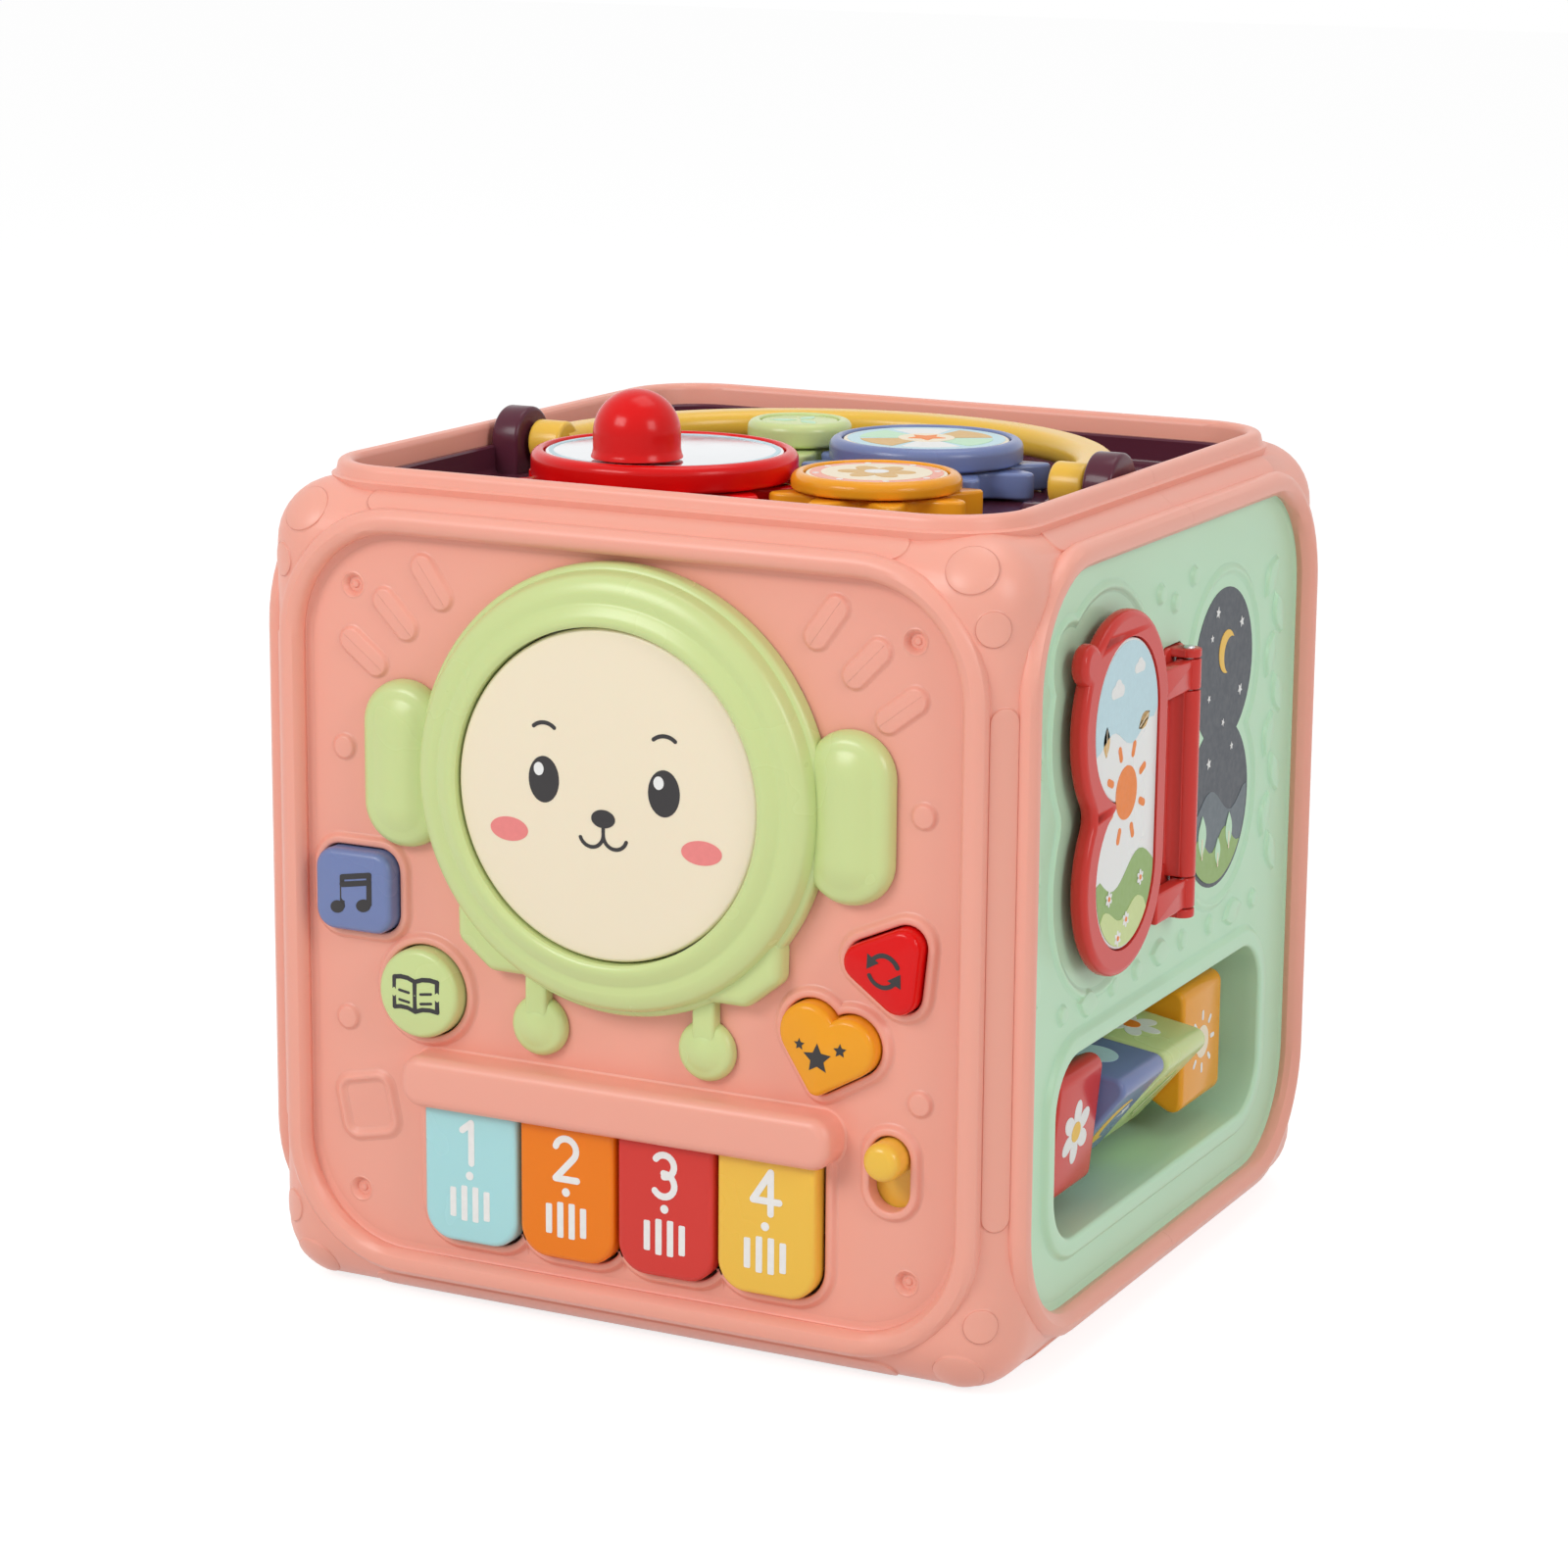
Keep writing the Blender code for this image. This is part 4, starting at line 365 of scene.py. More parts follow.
# Smoothing angles in degrees, and round steps
SMOOTH_ANGLE = 35
FRAME_SMOOTH_ANGLE = 30
WHEEL_SMOOTH_ANGLE = 40
PRINT_SMOOTH_ANGLE = 60
ROUND_STEPS = 32
DOME_RINGS = 6
LENS_STEPS = 14
MOON_STEPS = 20
PETAL_STEPS = 28
OPENING_STEPS = 12
POST_SINK = 0.0005

# Surfaces: noise scales are in repeats per metre
NOISE_LOW = 0.15
NOISE_HIGH = 0.85
PLASTIC_DRIFT = 0.012
PLASTIC_DRIFT_SCALE = 40
PLASTIC_GLOSS_DRIFT = 0.03
PLASTIC_GLOSS_SCALE = 60
PLASTIC_GRAIN = 0.1
PLASTIC_GRAIN_SCALE = 2600
PLASTIC_GRAIN_DEPTH = 0.00006
PLASTIC_GLOW = 0.06
PLASTIC_GLOW_DEPTH = 0.002
PLASTICS = (
    (("pink", "mint", "sky", "lemon", "cream"), "_plastic", 0.36, 0.4),
    (("green", "yellow", "blue", "cyan", "white"), "_plastic", 0.26, 0.38),
    (("orange", "red", "coral", "amber", "plum"), "_plastic", 0.2, 0.22),
    (("black", "board", "cell"), "_part", 0.5, 0.4),
)
INK_DRIFT = 0.06
INK_DRIFT_SCALE = 900
INK_GLOSS_SCALE = 700
INK_ROUGH = (0.38, 0.5)
INK_GRAIN = 0.06
INK_GRAIN_SCALE = 3000
FINE_GRAIN_DEPTH = 0.00003
METAL_DRIFT = 0.04
METAL_DRIFT_SCALE = 120
METAL_GLOSS_DRIFT = 0.08
METAL_GLOSS_SCALE = 300
METAL_GRAIN = 0.05
METAL_GRAIN_SCALE = 1500
MIRROR_COLOUR = (0.82, 0.84, 0.86)
MIRROR_ROUGH = 0.12
STEEL_COLOUR = (0.62, 0.62, 0.64)
STEEL_ROUGH = 0.25

# Stage: each lamp has its place, its size and its power
LAMP_TARGET = (0, 0, 0.08)
LAMPS = (
    ("key_lamp", (-0.5, -1.2, 0.95), (0.7, 0.5), 9.2),
    ("side_lamp", (1.3, -0.5, 0.8), (0.5, 0.6), 5.5),
    ("top_lamp", (0.1, 0.3, 1.5), (0.8, 0.8), 3.9),
)
WORLD_LIGHT = 0.46
FLOOR_GLOW = 0.8
FLOOR_REACH = 6.0
FLOOR_COLOUR = (0.8, 0.8, 0.8, 1)
FLOOR_SEEN_COLOUR = (0.4, 0.4, 0.4, 1)

COLOURS = {
    "pink": (0.87, 0.385, 0.295),
    "green": (0.60, 0.70, 0.30),
    "cream": (0.88, 0.77, 0.58),
    "cyan": (0.40, 0.72, 0.74),
    "orange": (0.86, 0.21, 0.008),
    "red": (0.74, 0.004, 0.004),
    "coral": (0.66, 0.045, 0.035),
    "yellow": (0.86, 0.52, 0.06),
    "amber": (0.88, 0.36, 0.018),
    "blue": (0.165, 0.215, 0.43),
    "mint": (0.52, 0.77, 0.54),
    "sky": (0.33, 0.55, 0.72),
    "lemon": (0.83, 0.66, 0.27),
    "plum": (0.10, 0.022, 0.04),
    "white": (0.83, 0.83, 0.81),
    "ink": (0.02, 0.017, 0.018),
    "blush": (0.82, 0.23, 0.22),
    "night": (0.035, 0.045, 0.06),
    "slate": (0.10, 0.13, 0.15),
    "grass": (0.27, 0.42, 0.12),
    "ochre": (0.68, 0.42, 0.14),
    "pale_blue": (0.52, 0.72, 0.78),
    "black": (0.03, 0.03, 0.03),
    "board": (0.03, 0.16, 0.07),
    "cell": (0.7, 0.38, 0.08),
}

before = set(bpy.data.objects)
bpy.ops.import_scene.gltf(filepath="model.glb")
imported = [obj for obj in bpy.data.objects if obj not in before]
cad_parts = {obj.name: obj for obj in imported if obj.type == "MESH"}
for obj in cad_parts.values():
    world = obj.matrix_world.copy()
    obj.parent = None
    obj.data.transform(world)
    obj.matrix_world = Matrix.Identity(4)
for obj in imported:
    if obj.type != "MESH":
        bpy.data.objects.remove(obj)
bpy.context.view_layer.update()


def side_matrix(name):
    """From a side's own coordinates to the part's."""
    if name == "top":
        return Matrix.Identity(4)
    turn = radians(SIDE_TURNS[name])
    out = turn - pi / 2
    offset = FRAME_WIDTH / 2
    at = Matrix.Translation((offset * cos(out), offset * sin(out), OPENING_CENTRE_Z))
    return at @ Matrix.Rotation(turn, 4, "Z") @ Matrix.Rotation(pi / 2, 4, "X")


def placed(side, at=(0, 0, 0), turn=0.0):
    """The matrix of a piece at a place on a side, turned about the side's outward axis."""
    return side_matrix(side) @ Matrix.Translation(at) @ Matrix.Rotation(radians(turn), 4, "Z")


# Materials


def add_node(tree, kind, **settings):
    node = tree.nodes.new(kind)
    for key, value in settings.items():
        setattr(node, key, value)
    return node


def noise(tree, scale, detail=2.0):
    """Noise in the part's own coordinates; scale is in repeats per metre."""
    place = add_node(tree, "ShaderNodeTexCoord")
    texture = add_node(tree, "ShaderNodeTexNoise")
    texture.inputs["Scale"].default_value = scale
    texture.inputs["Detail"].default_value = detail
    tree.links.new(place.outputs["Object"], texture.inputs["Vector"])
    return texture.outputs["Fac"]


def spread(tree, source, low, high):
    ranged = add_node(tree, "ShaderNodeMapRange", interpolation_type="SMOOTHSTEP")
    ranged.inputs["From Min"].default_value = NOISE_LOW
    ranged.inputs["From Max"].default_value = NOISE_HIGH
    ranged.inputs["To Min"].default_value = low
    ranged.inputs["To Max"].default_value = high
    tree.links.new(source, ranged.inputs["Value"])
    return ranged.outputs["Result"]


def mottled(tree, colour, amount, scale):
    """A colour that drifts a little over the surface, as in coloured moulding."""
    mix = add_node(tree, "ShaderNodeMix", data_type="RGBA")
    mix.inputs["A"].default_value = (*[c * (1 - amount) for c in colour], 1)
    mix.inputs["B"].default_value = (*[min(1, c * (1 + amount)) for c in colour], 1)
    tree.links.new(noise(tree, scale, 3.0), mix.inputs["Factor"])
    return mix.outputs["Result"]


def grain(tree, shader, scale, strength, distance):
    bump = add_node(tree, "ShaderNodeBump")
    bump.inputs["Strength"].default_value = strength
    bump.inputs["Distance"].default_value = distance
    tree.links.new(noise(tree, scale), bump.inputs["Height"])
    tree.links.new(bump.outputs["Normal"], shader.inputs["Normal"])


def new_material(name):
    material = bpy.data.materials.new(name)
    material.use_nodes = True
    return material, material.node_tree, material.node_tree.nodes["Principled BSDF"]


def plastic(name, colour, rough, specular):
    """Moulded plastic: drifting colour, uneven gloss and a fine moulded grain."""
    material, tree, shader = new_material(name)
    tree.links.new(mottled(tree, colour, PLASTIC_DRIFT, PLASTIC_DRIFT_SCALE), shader.inputs["Base Color"])
    tree.links.new(
        spread(
            tree, noise(tree, PLASTIC_GLOSS_SCALE), rough - PLASTIC_GLOSS_DRIFT, rough + PLASTIC_GLOSS_DRIFT
        ),
        shader.inputs["Roughness"]
    )
    shader.inputs["Specular IOR Level"].default_value = specular
    shader.inputs["Subsurface Weight"].default_value = PLASTIC_GLOW
    shader.inputs["Subsurface Scale"].default_value = PLASTIC_GLOW_DEPTH
    grain(tree, shader, PLASTIC_GRAIN_SCALE, PLASTIC_GRAIN, PLASTIC_GRAIN_DEPTH)
    return material


def ink(name, colour):
    """Flat printed ink with a slightly uneven cover."""
    material, tree, shader = new_material(name)
    tree.links.new(mottled(tree, colour, INK_DRIFT, INK_DRIFT_SCALE), shader.inputs["Base Color"])
    tree.links.new(spread(tree, noise(tree, INK_GLOSS_SCALE), *INK_ROUGH), shader.inputs["Roughness"])
    grain(tree, shader, INK_GRAIN_SCALE, INK_GRAIN, FINE_GRAIN_DEPTH)
    return material


def metal(name, colour, rough):
    material, tree, shader = new_material(name)
    tree.links.new(mottled(tree, colour, METAL_DRIFT, METAL_DRIFT_SCALE), shader.inputs["Base Color"])
    tree.links.new(
        spread(tree, noise(tree, METAL_GLOSS_SCALE), rough, rough + METAL_GLOSS_DRIFT),
        shader.inputs["Roughness"]
    )
    shader.inputs["Metallic"].default_value = 1.0
    grain(tree, shader, METAL_GRAIN_SCALE, METAL_GRAIN, FINE_GRAIN_DEPTH)
    return material


def make_paints():
    paints = {}
    for names, ending, rough, specular in PLASTICS:
        for name in names:
            paints[name] = plastic(name + ending, COLOURS[name], rough, specular)
    inks = ("ink", "blush", "night", "slate", "grass", "ochre", "pale_blue")
    for name in inks:
        paints[name] = ink(name + "_print", COLOURS[name])
    for name in ("white", "cream", "red", "orange", "green", "yellow", "mint", "pink"):
        paints[name + "_ink"] = ink(name + "_print", COLOURS[name])
    paints["mirror"] = metal("mirror_foil", MIRROR_COLOUR, MIRROR_ROUGH)
    paints["steel"] = metal("steel", STEEL_COLOUR, STEEL_ROUGH)
    return paints


PAINTS = make_paints()


# Outlines


def arc(centre, radius, start, end, steps):
    """Points on an arc, both ends included; angles in degrees."""
    points = []
    for i in range(steps + 1):
        angle = radians(start + (end - start) * i / steps)
        points.append((centre[0] + radius * cos(angle), centre[1] + radius * sin(angle)))
    return points


def circle(radius, steps):
    return arc((0, 0), radius, 0, 360, steps)[:-1]


def ellipse(across, up, centre=(0, 0), steps=40):
    return [(centre[0] + across * u, centre[1] + up * v) for u, v in circle(1, steps)]


def rounded_rect(width, height, corner, steps=10, centre=(0, 0)):
    u = width / 2 - corner
    v = height / 2 - corner
    points = []
    for su, sv, start in ((1, 1, 0), (-1, 1, 90), (-1, -1, 180), (1, -1, 270)):
        points += arc((centre[0] + su * u, centre[1] + sv * v), corner, start, start + 90, steps)
    return points


def stadium(width, height, steps=12):
    return rounded_rect(width, height, min(width, height) * 0.499, steps)


def moved(points, at, angle=0.0):
    """Points turned about the origin, then moved."""
    c = cos(radians(angle))
    s = sin(radians(angle))
    return [(at[0] + u * c - v * s, at[1] + u * s + v * c) for u, v in points]


def rounded_triangle(reach, corner, grow=0.0):
    points = []
    for angle in (0, 120, 240):
        a = radians(angle)
        middle = ((reach - corner) * cos(a), (reach - corner) * sin(a))
        points += arc(middle, corner + grow, angle - 60, angle + 60, 8)
    return points


def heart(width, height, grow=0.0):
    """Two round lobes whose sides run down to a rounded tip."""
    lobe = width * HEART_LOBE_SHARE
    tip = width * HEART_TIP_SHARE
    lobe_u = width / 2 - lobe
    lobe_v = height / 2 - lobe
    tip_v = tip - height / 2
    reach = hypot(lobe_u, lobe_v - tip_v)
    start = degrees(atan2(lobe_v - tip_v, lobe_u) - acos((tip - lobe) / reach))
    notch = degrees(acos(-lobe_u / (lobe + grow)))
    points = arc((lobe_u, lobe_v), lobe + grow, start, notch, 16)
    points += arc((-lobe_u, lobe_v), lobe + grow, 180 - notch, 180 - start, 16)[1:]
    points += arc((0, tip_v), tip + grow, 180 - start, 360 + start, 8)
    return points


def filleted(points, radius, steps=6):
    """A polygon, listed anticlockwise, with every corner rounded."""
    result = []
    for i, corner in enumerate(points):
        before = points[i - 1]
        after = points[(i + 1) % len(points)]
        start = atan2(corner[1] - before[1], corner[0] - before[0])
        end = atan2(after[1] - corner[1], after[0] - corner[0])
        swing = (end - start + pi) % (2 * pi) - pi
        back = radius * abs(tan(swing / 2))
        first = (corner[0] - back * cos(start), corner[1] - back * sin(start))
        way = 1 if swing > 0 else -1
        centre = (first[0] - way * radius * sin(start), first[1] + way * radius * cos(start))
        turn = degrees(start) - 90 * way
        result += arc(centre, radius, turn, turn + degrees(swing), steps)
    return result


def without_doubles(points):
    """Drops points that lie on the one before."""
    result = []
    for point in points:
        if not result or hypot(point[0] - result[-1][0], point[1] - result[-1][1]) > 1e-6:
            result.append(point)
    if hypot(result[0][0] - result[-1][0], result[0][1] - result[-1][1]) < 1e-6:
        result.pop()
    return result


def miters(outline):
    """For each point, the way that moves it straight out by one unit."""
    ways = []
    count = len(outline)
    for i in range(count):
        before = Vector(outline[i]) - Vector(outline[i - 1])
        after = Vector(outline[(i + 1) % count]) - Vector(outline[i])
        first = Vector((before.y, -before.x)).normalized()
        second = Vector((after.y, -after.x)).normalized()
        middle = (first + second).normalized()
        ways.append(middle / max(0.4, middle.dot(first)))
    return ways


# Meshes, each a list of vertices and a list of faces


def swept(outline, profile, ring=False):
    """A cross-section of (outward offset, height) points carried round an outline.

    The profile runs upwards on the outer side. A ring closes on itself, anything else has flat ends.
    """
    outline = without_doubles(outline)
    ways = miters(outline)
    count = len(outline)
    verts = []
    for offset, height in profile:
        for (u, v), way in zip(outline, ways):
            verts.append((u + way.x * offset, v + way.y * offset, height))
    faces = []
    rows = len(profile)
    for j in range(rows if ring else rows - 1):
        low = j * count
        high = ((j + 1) % rows) * count
        for i in range(count):
            k = (i + 1) % count
            faces.append((low + i, low + k, high + k, high + i))
    if not ring:
        faces.append(tuple(reversed(range(count))))
        faces.append(tuple(range((rows - 1) * count, rows * count)))
    return verts, faces


def edge_steps(radius, top, steps=5):
    """The part of a profile that rounds an upper edge."""
    points = []
    for i in range(steps + 1):
        angle = pi / 2 * i / steps
        points.append((-radius * (1 - cos(angle)), top - radius * (1 - sin(angle))))
    return points


def crown_steps(radius, top, crown, reach, steps):
    """Rounds an upper edge and then domes the top towards the middle."""
    points = edge_steps(radius, top)
    for i in range(1, steps + 1):
        share = i / steps
        points.append((-radius - (reach - radius) * share, top + crown * sin(share * pi / 2)))
    return points


def edge_low(low, radius, steps=4):
    """Rounds a lower edge."""
    points = []
    for i in range(steps + 1):
        angle = pi / 2 * i / steps
        points.append((-radius * (1 - sin(angle)), low + radius * (1 - cos(angle))))
    return points


def inner_edge(edge, top, count):
    """A rounded edge that rolls from the top down into a hole."""
    angles = [pi / 2 * i / (count - 1) for i in range(count)]
    return [(edge * (1 - sin(a)), top - edge * (1 - cos(a))) for a in angles]


def floor_edge(fillet, floor, count):
    """A rounded corner between a pocket's wall and its floor."""
    angles = [pi / 2 * i / (count - 1) for i in range(count)]
    return [(-fillet * (1 - cos(a)), floor + fillet * (1 - sin(a))) for a in angles]


RELIEF_SPREAD = 0.0011
RELIEF_FOOT = 0.0005
RELIEF_SINK = 0.0003


def raised(outline, rise, face, spread=RELIEF_SPREAD):
    """Relief whose side swells up softly from the face."""
    profile = [(spread * 0.5 + RELIEF_FOOT, face - RELIEF_SINK), (spread * 0.5, face)]
    for i in range(1, 8):
        share = i / 7
        profile.append((spread * (0.5 - share), face + rise * (0.5 - 0.5 * cos(pi * share))))
    return swept(outline, profile)


RIM_SWELL_SHARE = 0.7
RIM_SWELL = 0.0016
RIM_FOOT = 0.0008
RIM_START = 0.4
RIM_EDGE = 0.0005


def rim_mesh(outline, width, rise, face, depth, edge=RIM_EDGE):
    """A raised border round a hole. outline is the hole's; depth is how far its wall goes down."""
    swell = min(width * RIM_SWELL_SHARE, RIM_SWELL)
    profile = [(0, depth), (width + RIM_FOOT, depth), (width + swell * RIM_START, face)]
    for i in range(1, 7):
        share = i / 6
        offset = width + swell * (RIM_START - share)
        profile.append((offset, face + rise * (0.5 - 0.5 * cos(pi * share))))
    top = face + rise
    return swept(outline, profile + inner_edge(edge, top, 5), ring=True)


GROOVE_EDGE = 0.0004


def groove_mesh(outline, width, rise, face, edge=GROOVE_EDGE):
    """A raised line that follows an outline, with soft sides."""
    reach = width / 2 + edge
    profile = [(reach + RELIEF_SINK, face - RELIEF_SINK)]
    for i in range(13):
        share = i / 6 - 1
        profile.append((-share * reach, face + rise * (0.5 + 0.5 * cos(pi * share))))
    profile.append((-reach - RELIEF_SINK, face - RELIEF_SINK))
    return swept(outline, profile, ring=True)


def turned(profile, steps=96, ring=False):
    """A profile of (radius, height) points turned about Z, listed from the bottom up on the outer side."""
    verts = []
    faces = []
    rows = []
    for radius, height in profile:
        if radius < 1e-7:
            rows.append([len(verts)] * steps)
            verts.append((0, 0, height))
            continue
        rows.append(list(range(len(verts), len(verts) + steps)))
        for i in range(steps):
            angle = 2 * pi * i / steps
            verts.append((radius * cos(angle), radius * sin(angle), height))
    for j in range(len(rows) if ring else len(rows) - 1):
        low = rows[j]
        high = rows[(j + 1) % len(rows)]
        for i in range(steps):
            k = (i + 1) % steps
            face = [low[i], low[k], high[k], high[i]]
            kept = [p for n, p in enumerate(face) if p not in face[:n]]
            if len(kept) > 2:
                faces.append(tuple(kept))
    return verts, faces


def plate(loops, low, high):
    """A flat sheet with holes."""
    curve = bpy.data.curves.new("plate", "CURVE")
    curve.dimensions = "2D"
    curve.fill_mode = "BOTH"
    curve.extrude = (high - low) / 2
    for loop in loops:
        loop = without_doubles(loop)
        spline = curve.splines.new("POLY")
        spline.points.add(len(loop) - 1)
        for point, (u, v) in zip(spline.points, loop):
            point.co = (u, v, 0, 1)
        spline.use_cyclic_u = True
    obj = linked("plate", curve)
    mesh = evaluated(obj)
    bpy.data.curves.remove(curve)
    middle = (low + high) / 2
    verts = [(v.co.x, v.co.y, v.co.z + middle) for v in mesh.vertices]
    faces = [tuple(p.vertices) for p in mesh.polygons]
    bpy.data.meshes.remove(mesh)
    return verts, faces


def evaluated(obj):
    """The final mesh of an object, which is then removed."""
    bpy.context.view_layer.update()
    graph = bpy.context.evaluated_depsgraph_get()
    mesh = bpy.data.meshes.new_from_object(obj.evaluated_get(graph))
    bpy.data.objects.remove(obj, do_unlink=True)
    return mesh


def transformed(shape, matrix):
    verts, faces = shape
    return [tuple(matrix @ Vector(v)) for v in verts], faces


def joined(*shapes):
    verts = []
    faces = []
    for more_verts, more_faces in shapes:
        base = len(verts)
        verts += more_verts
        faces += [tuple(base + i for i in face) for face in more_faces]
    return verts, faces


def to_mesh(name, shape):
    """Makes a welded mesh whose faces all point outward."""
    mesh = bpy.data.meshes.new(name)
    mesh.from_pydata(shape[0], [], shape[1])
    work = bmesh.new()
    work.from_mesh(mesh)
    bmesh.ops.remove_doubles(work, verts=work.verts, dist=1e-7)
    bmesh.ops.recalc_face_normals(work, faces=work.faces)
    work.to_mesh(mesh)
    work.free()
    return mesh


def mesh_shape(obj):
    """The mesh of a helper object, which is then removed."""
    verts = [tuple(v.co) for v in obj.data.vertices]
    faces = [tuple(p.vertices) for p in obj.data.polygons]
    bpy.data.objects.remove(obj, do_unlink=True)
    return verts, faces


def about(radius, steps):
    """A profile of offsets, moved out to a radius."""
    return [(radius + a, b) for a, b in steps]


def column(radius, low, high, steps):
    """A plain round post."""
    return turned([(0, low), (radius, low), (radius, high), (0, high)], steps)


def linked(name, data):
    """A new object in the scene."""
    obj = bpy.data.objects.new(name, data)
    bpy.context.scene.collection.objects.link(obj)
    return obj


def bored(body, radius, low, high):
    """Drills a tool object along its axis."""
    hole = swept(circle(radius, 40), [(0, low), (0, high)])
    apply_boolean(body, tool_object("bore", hole))


def piece(name, shape, paint, body="housing", stands_for=(), matrix=None, angle=SMOOTH_ANGLE, slot=None):
    """Adds a visible piece that moves with a body. The slot argument is not used."""
    if stands_for and slot is None:
        slot = paint
    if matrix is not None:
        shape = transformed(shape, matrix)
    mesh = shape if isinstance(shape, bpy.types.Mesh) else to_mesh(name, shape)
    mesh.materials.clear()
    mesh.materials.append(PAINTS[paint])
    mesh.shade_smooth()
    mesh.set_sharp_from_angle(angle=radians(angle))
    obj = linked(name, mesh)
    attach(obj, body)
    if stands_for:
        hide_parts(*stands_for)
    return obj


# Frame


def opening_outline(grow=0.0):
    across = OPENING_WIDTH + 2 * grow
    return rounded_rect(across, OPENING_HEIGHT + 2 * grow, OPENING_CORNER + grow, OPENING_STEPS)


def rounded_cube(inset, radius, steps):
    """The frame's outer or inner form, as an object."""
    half = FRAME_WIDTH / 2 - inset
    mesh = bpy.data.meshes.new("rounded_cube")
    work = bmesh.new()
    bmesh.ops.create_cube(work, size=1)
    middle = FRAME_HEIGHT / 2
    tall = middle - inset
    for vertex in work.verts:
        vertex.co = Vector((vertex.co.x * 2 * half, vertex.co.y * 2 * half, vertex.co.z * 2 * tall + middle))
    work.to_mesh(mesh)
    work.free()
    obj = linked("rounded_cube", mesh)
    bevel = obj.modifiers.new("edges", "BEVEL")
    bevel.width = radius
    bevel.segments = steps
    bevel.limit_method = "NONE"
    return obj


def tool_object(name, shape):
    obj = bpy.data.objects.new(name, to_mesh(name, shape))
    bpy.context.scene.collection.objects.link(obj)
    return obj


def apply_boolean(target, tool, operation="DIFFERENCE"):
    """Cuts or fuses with a tool object, which is then removed."""
    modifier = target.modifiers.new("boolean", "BOOLEAN")
    modifier.operation = operation
    modifier.solver = "EXACT"
    modifier.object = tool
    bpy.context.view_layer.update()
    graph = bpy.context.evaluated_depsgraph_get()
    mesh = bpy.data.meshes.new_from_object(target.evaluated_get(graph))
    target.modifiers.clear()
    target.data = mesh
    bpy.data.objects.remove(tool, do_unlink=True)


def bead_shape():
    """The round bead round an opening, as a closed ring."""
    profile = []
    for i in range(12):
        angle = 2 * pi * i / 12
        profile.append(
            (BEAD_RADIUS - BEAD_RADIUS * cos(angle), BEAD_RISE - BEAD_RADIUS - BEAD_RADIUS * sin(angle))
        )
    return swept(opening_outline(), profile, ring=True)


LIP_FLARE = ((0.0012, 0), (0.0003, 0.0004))


def lip_shape():
    outline = rounded_rect(LIP_OPENING, LIP_OPENING, LIP_CORNER - LIP_WALL, 12)
    profile = [(0, LIP_ROOT_Z), (LIP_WALL, LIP_ROOT_Z)]
    profile += [(LIP_WALL + reach, FRAME_HEIGHT + rise) for reach, rise in LIP_FLARE]
    profile += about(LIP_WALL, edge_steps(LIP_EDGE, LIP_TOP, 5))
    return swept(outline, profile + inner_edge(LIP_EDGE, LIP_TOP, 4), ring=True)


def bend_over_edge(shape, radius):
    """Wraps a flat shape (v along the edge, u across it) on a cylinder about the V axis."""
    verts = []
    for u, v, w in shape[0]:
        angle = u / radius
        verts.append(((radius + w) * sin(angle), v, (radius + w) * cos(angle)))
    return verts, shape[1]


def bend_over_corner(shape, radius):
    """Wraps a flat shape on a sphere."""
    verts = []
    for u, v, w in shape[0]:
        away = hypot(u, v)
        if away < 1e-9:
            verts.append((0, 0, radius + w))
            continue
        angle = away / radius
        reach = (radius + w) * sin(angle) / away
        verts.append((u * reach, v * reach, (radius + w) * cos(angle)))
    return verts, shape[1]


def pad_shape(width, length):
    """A long raised pad; its outline has points all along so that it can bend."""
    outline = []
    half = width / 2
    straight = length / 2 - half
    outline += [(half, -straight + 2 * straight * i / 8) for i in range(9)]
    outline += arc((0, straight), half, 0, 180, 12)[1:-1]
    outline += [(-half, straight - 2 * straight * i / 8) for i in range(9)]
    outline += arc((0, -straight), half, 180, 360, 12)[1:-1]
    return dish(outline, EDGE_PAD_RISE)


DISH_SKIRT = ((0.0004, -0.0006), (0.0004, -0.00005), (0.00012, 0.00008), (0, 0.0003))
DISH_EDGE = 0.0002


def dish(outline, rise):
    """A low raised shape built of rings, so that it can be bent over a curved surface."""
    profile = list(DISH_SKIRT) + edge_steps(DISH_EDGE, rise, 3)
    outline = without_doubles(outline)
    verts, faces = swept(outline, profile)
    faces.pop()
    faces.pop()
    count = len(outline)
    start = len(verts) - count
    low = min(outline, key=lambda p: p[0])[0]
    high = max(outline, key=lambda p: p[0])[0]
    middle_u = (low + high) / 2
    low = min(outline, key=lambda p: p[1])[1]
    high = max(outline, key=lambda p: p[1])[1]
    half_v = (high - low) / 2
    half_u = max(p[0] for p in outline) - middle_u
    spine = max(0, half_v - half_u)
    rows = [list(range(start, start + count))]
    for step in (1, 2, 3, 4):
        share = 1 - step / 4
        row = []
        for i in range(count):
            u, v, w = verts[start + i]
            anchor = (middle_u, max(-spine, min(spine, v)))
            row.append(len(verts))
            verts.append((anchor[0] + (u - anchor[0]) * share, anchor[1] + (v - anchor[1]) * share, w))
        rows.append(row)
    for low_row, high_row in zip(rows, rows[1:]):
        for i in range(count):
            k = (i + 1) % count
            faces.append((low_row[i], low_row[k], high_row[k], high_row[i]))
    return verts, faces


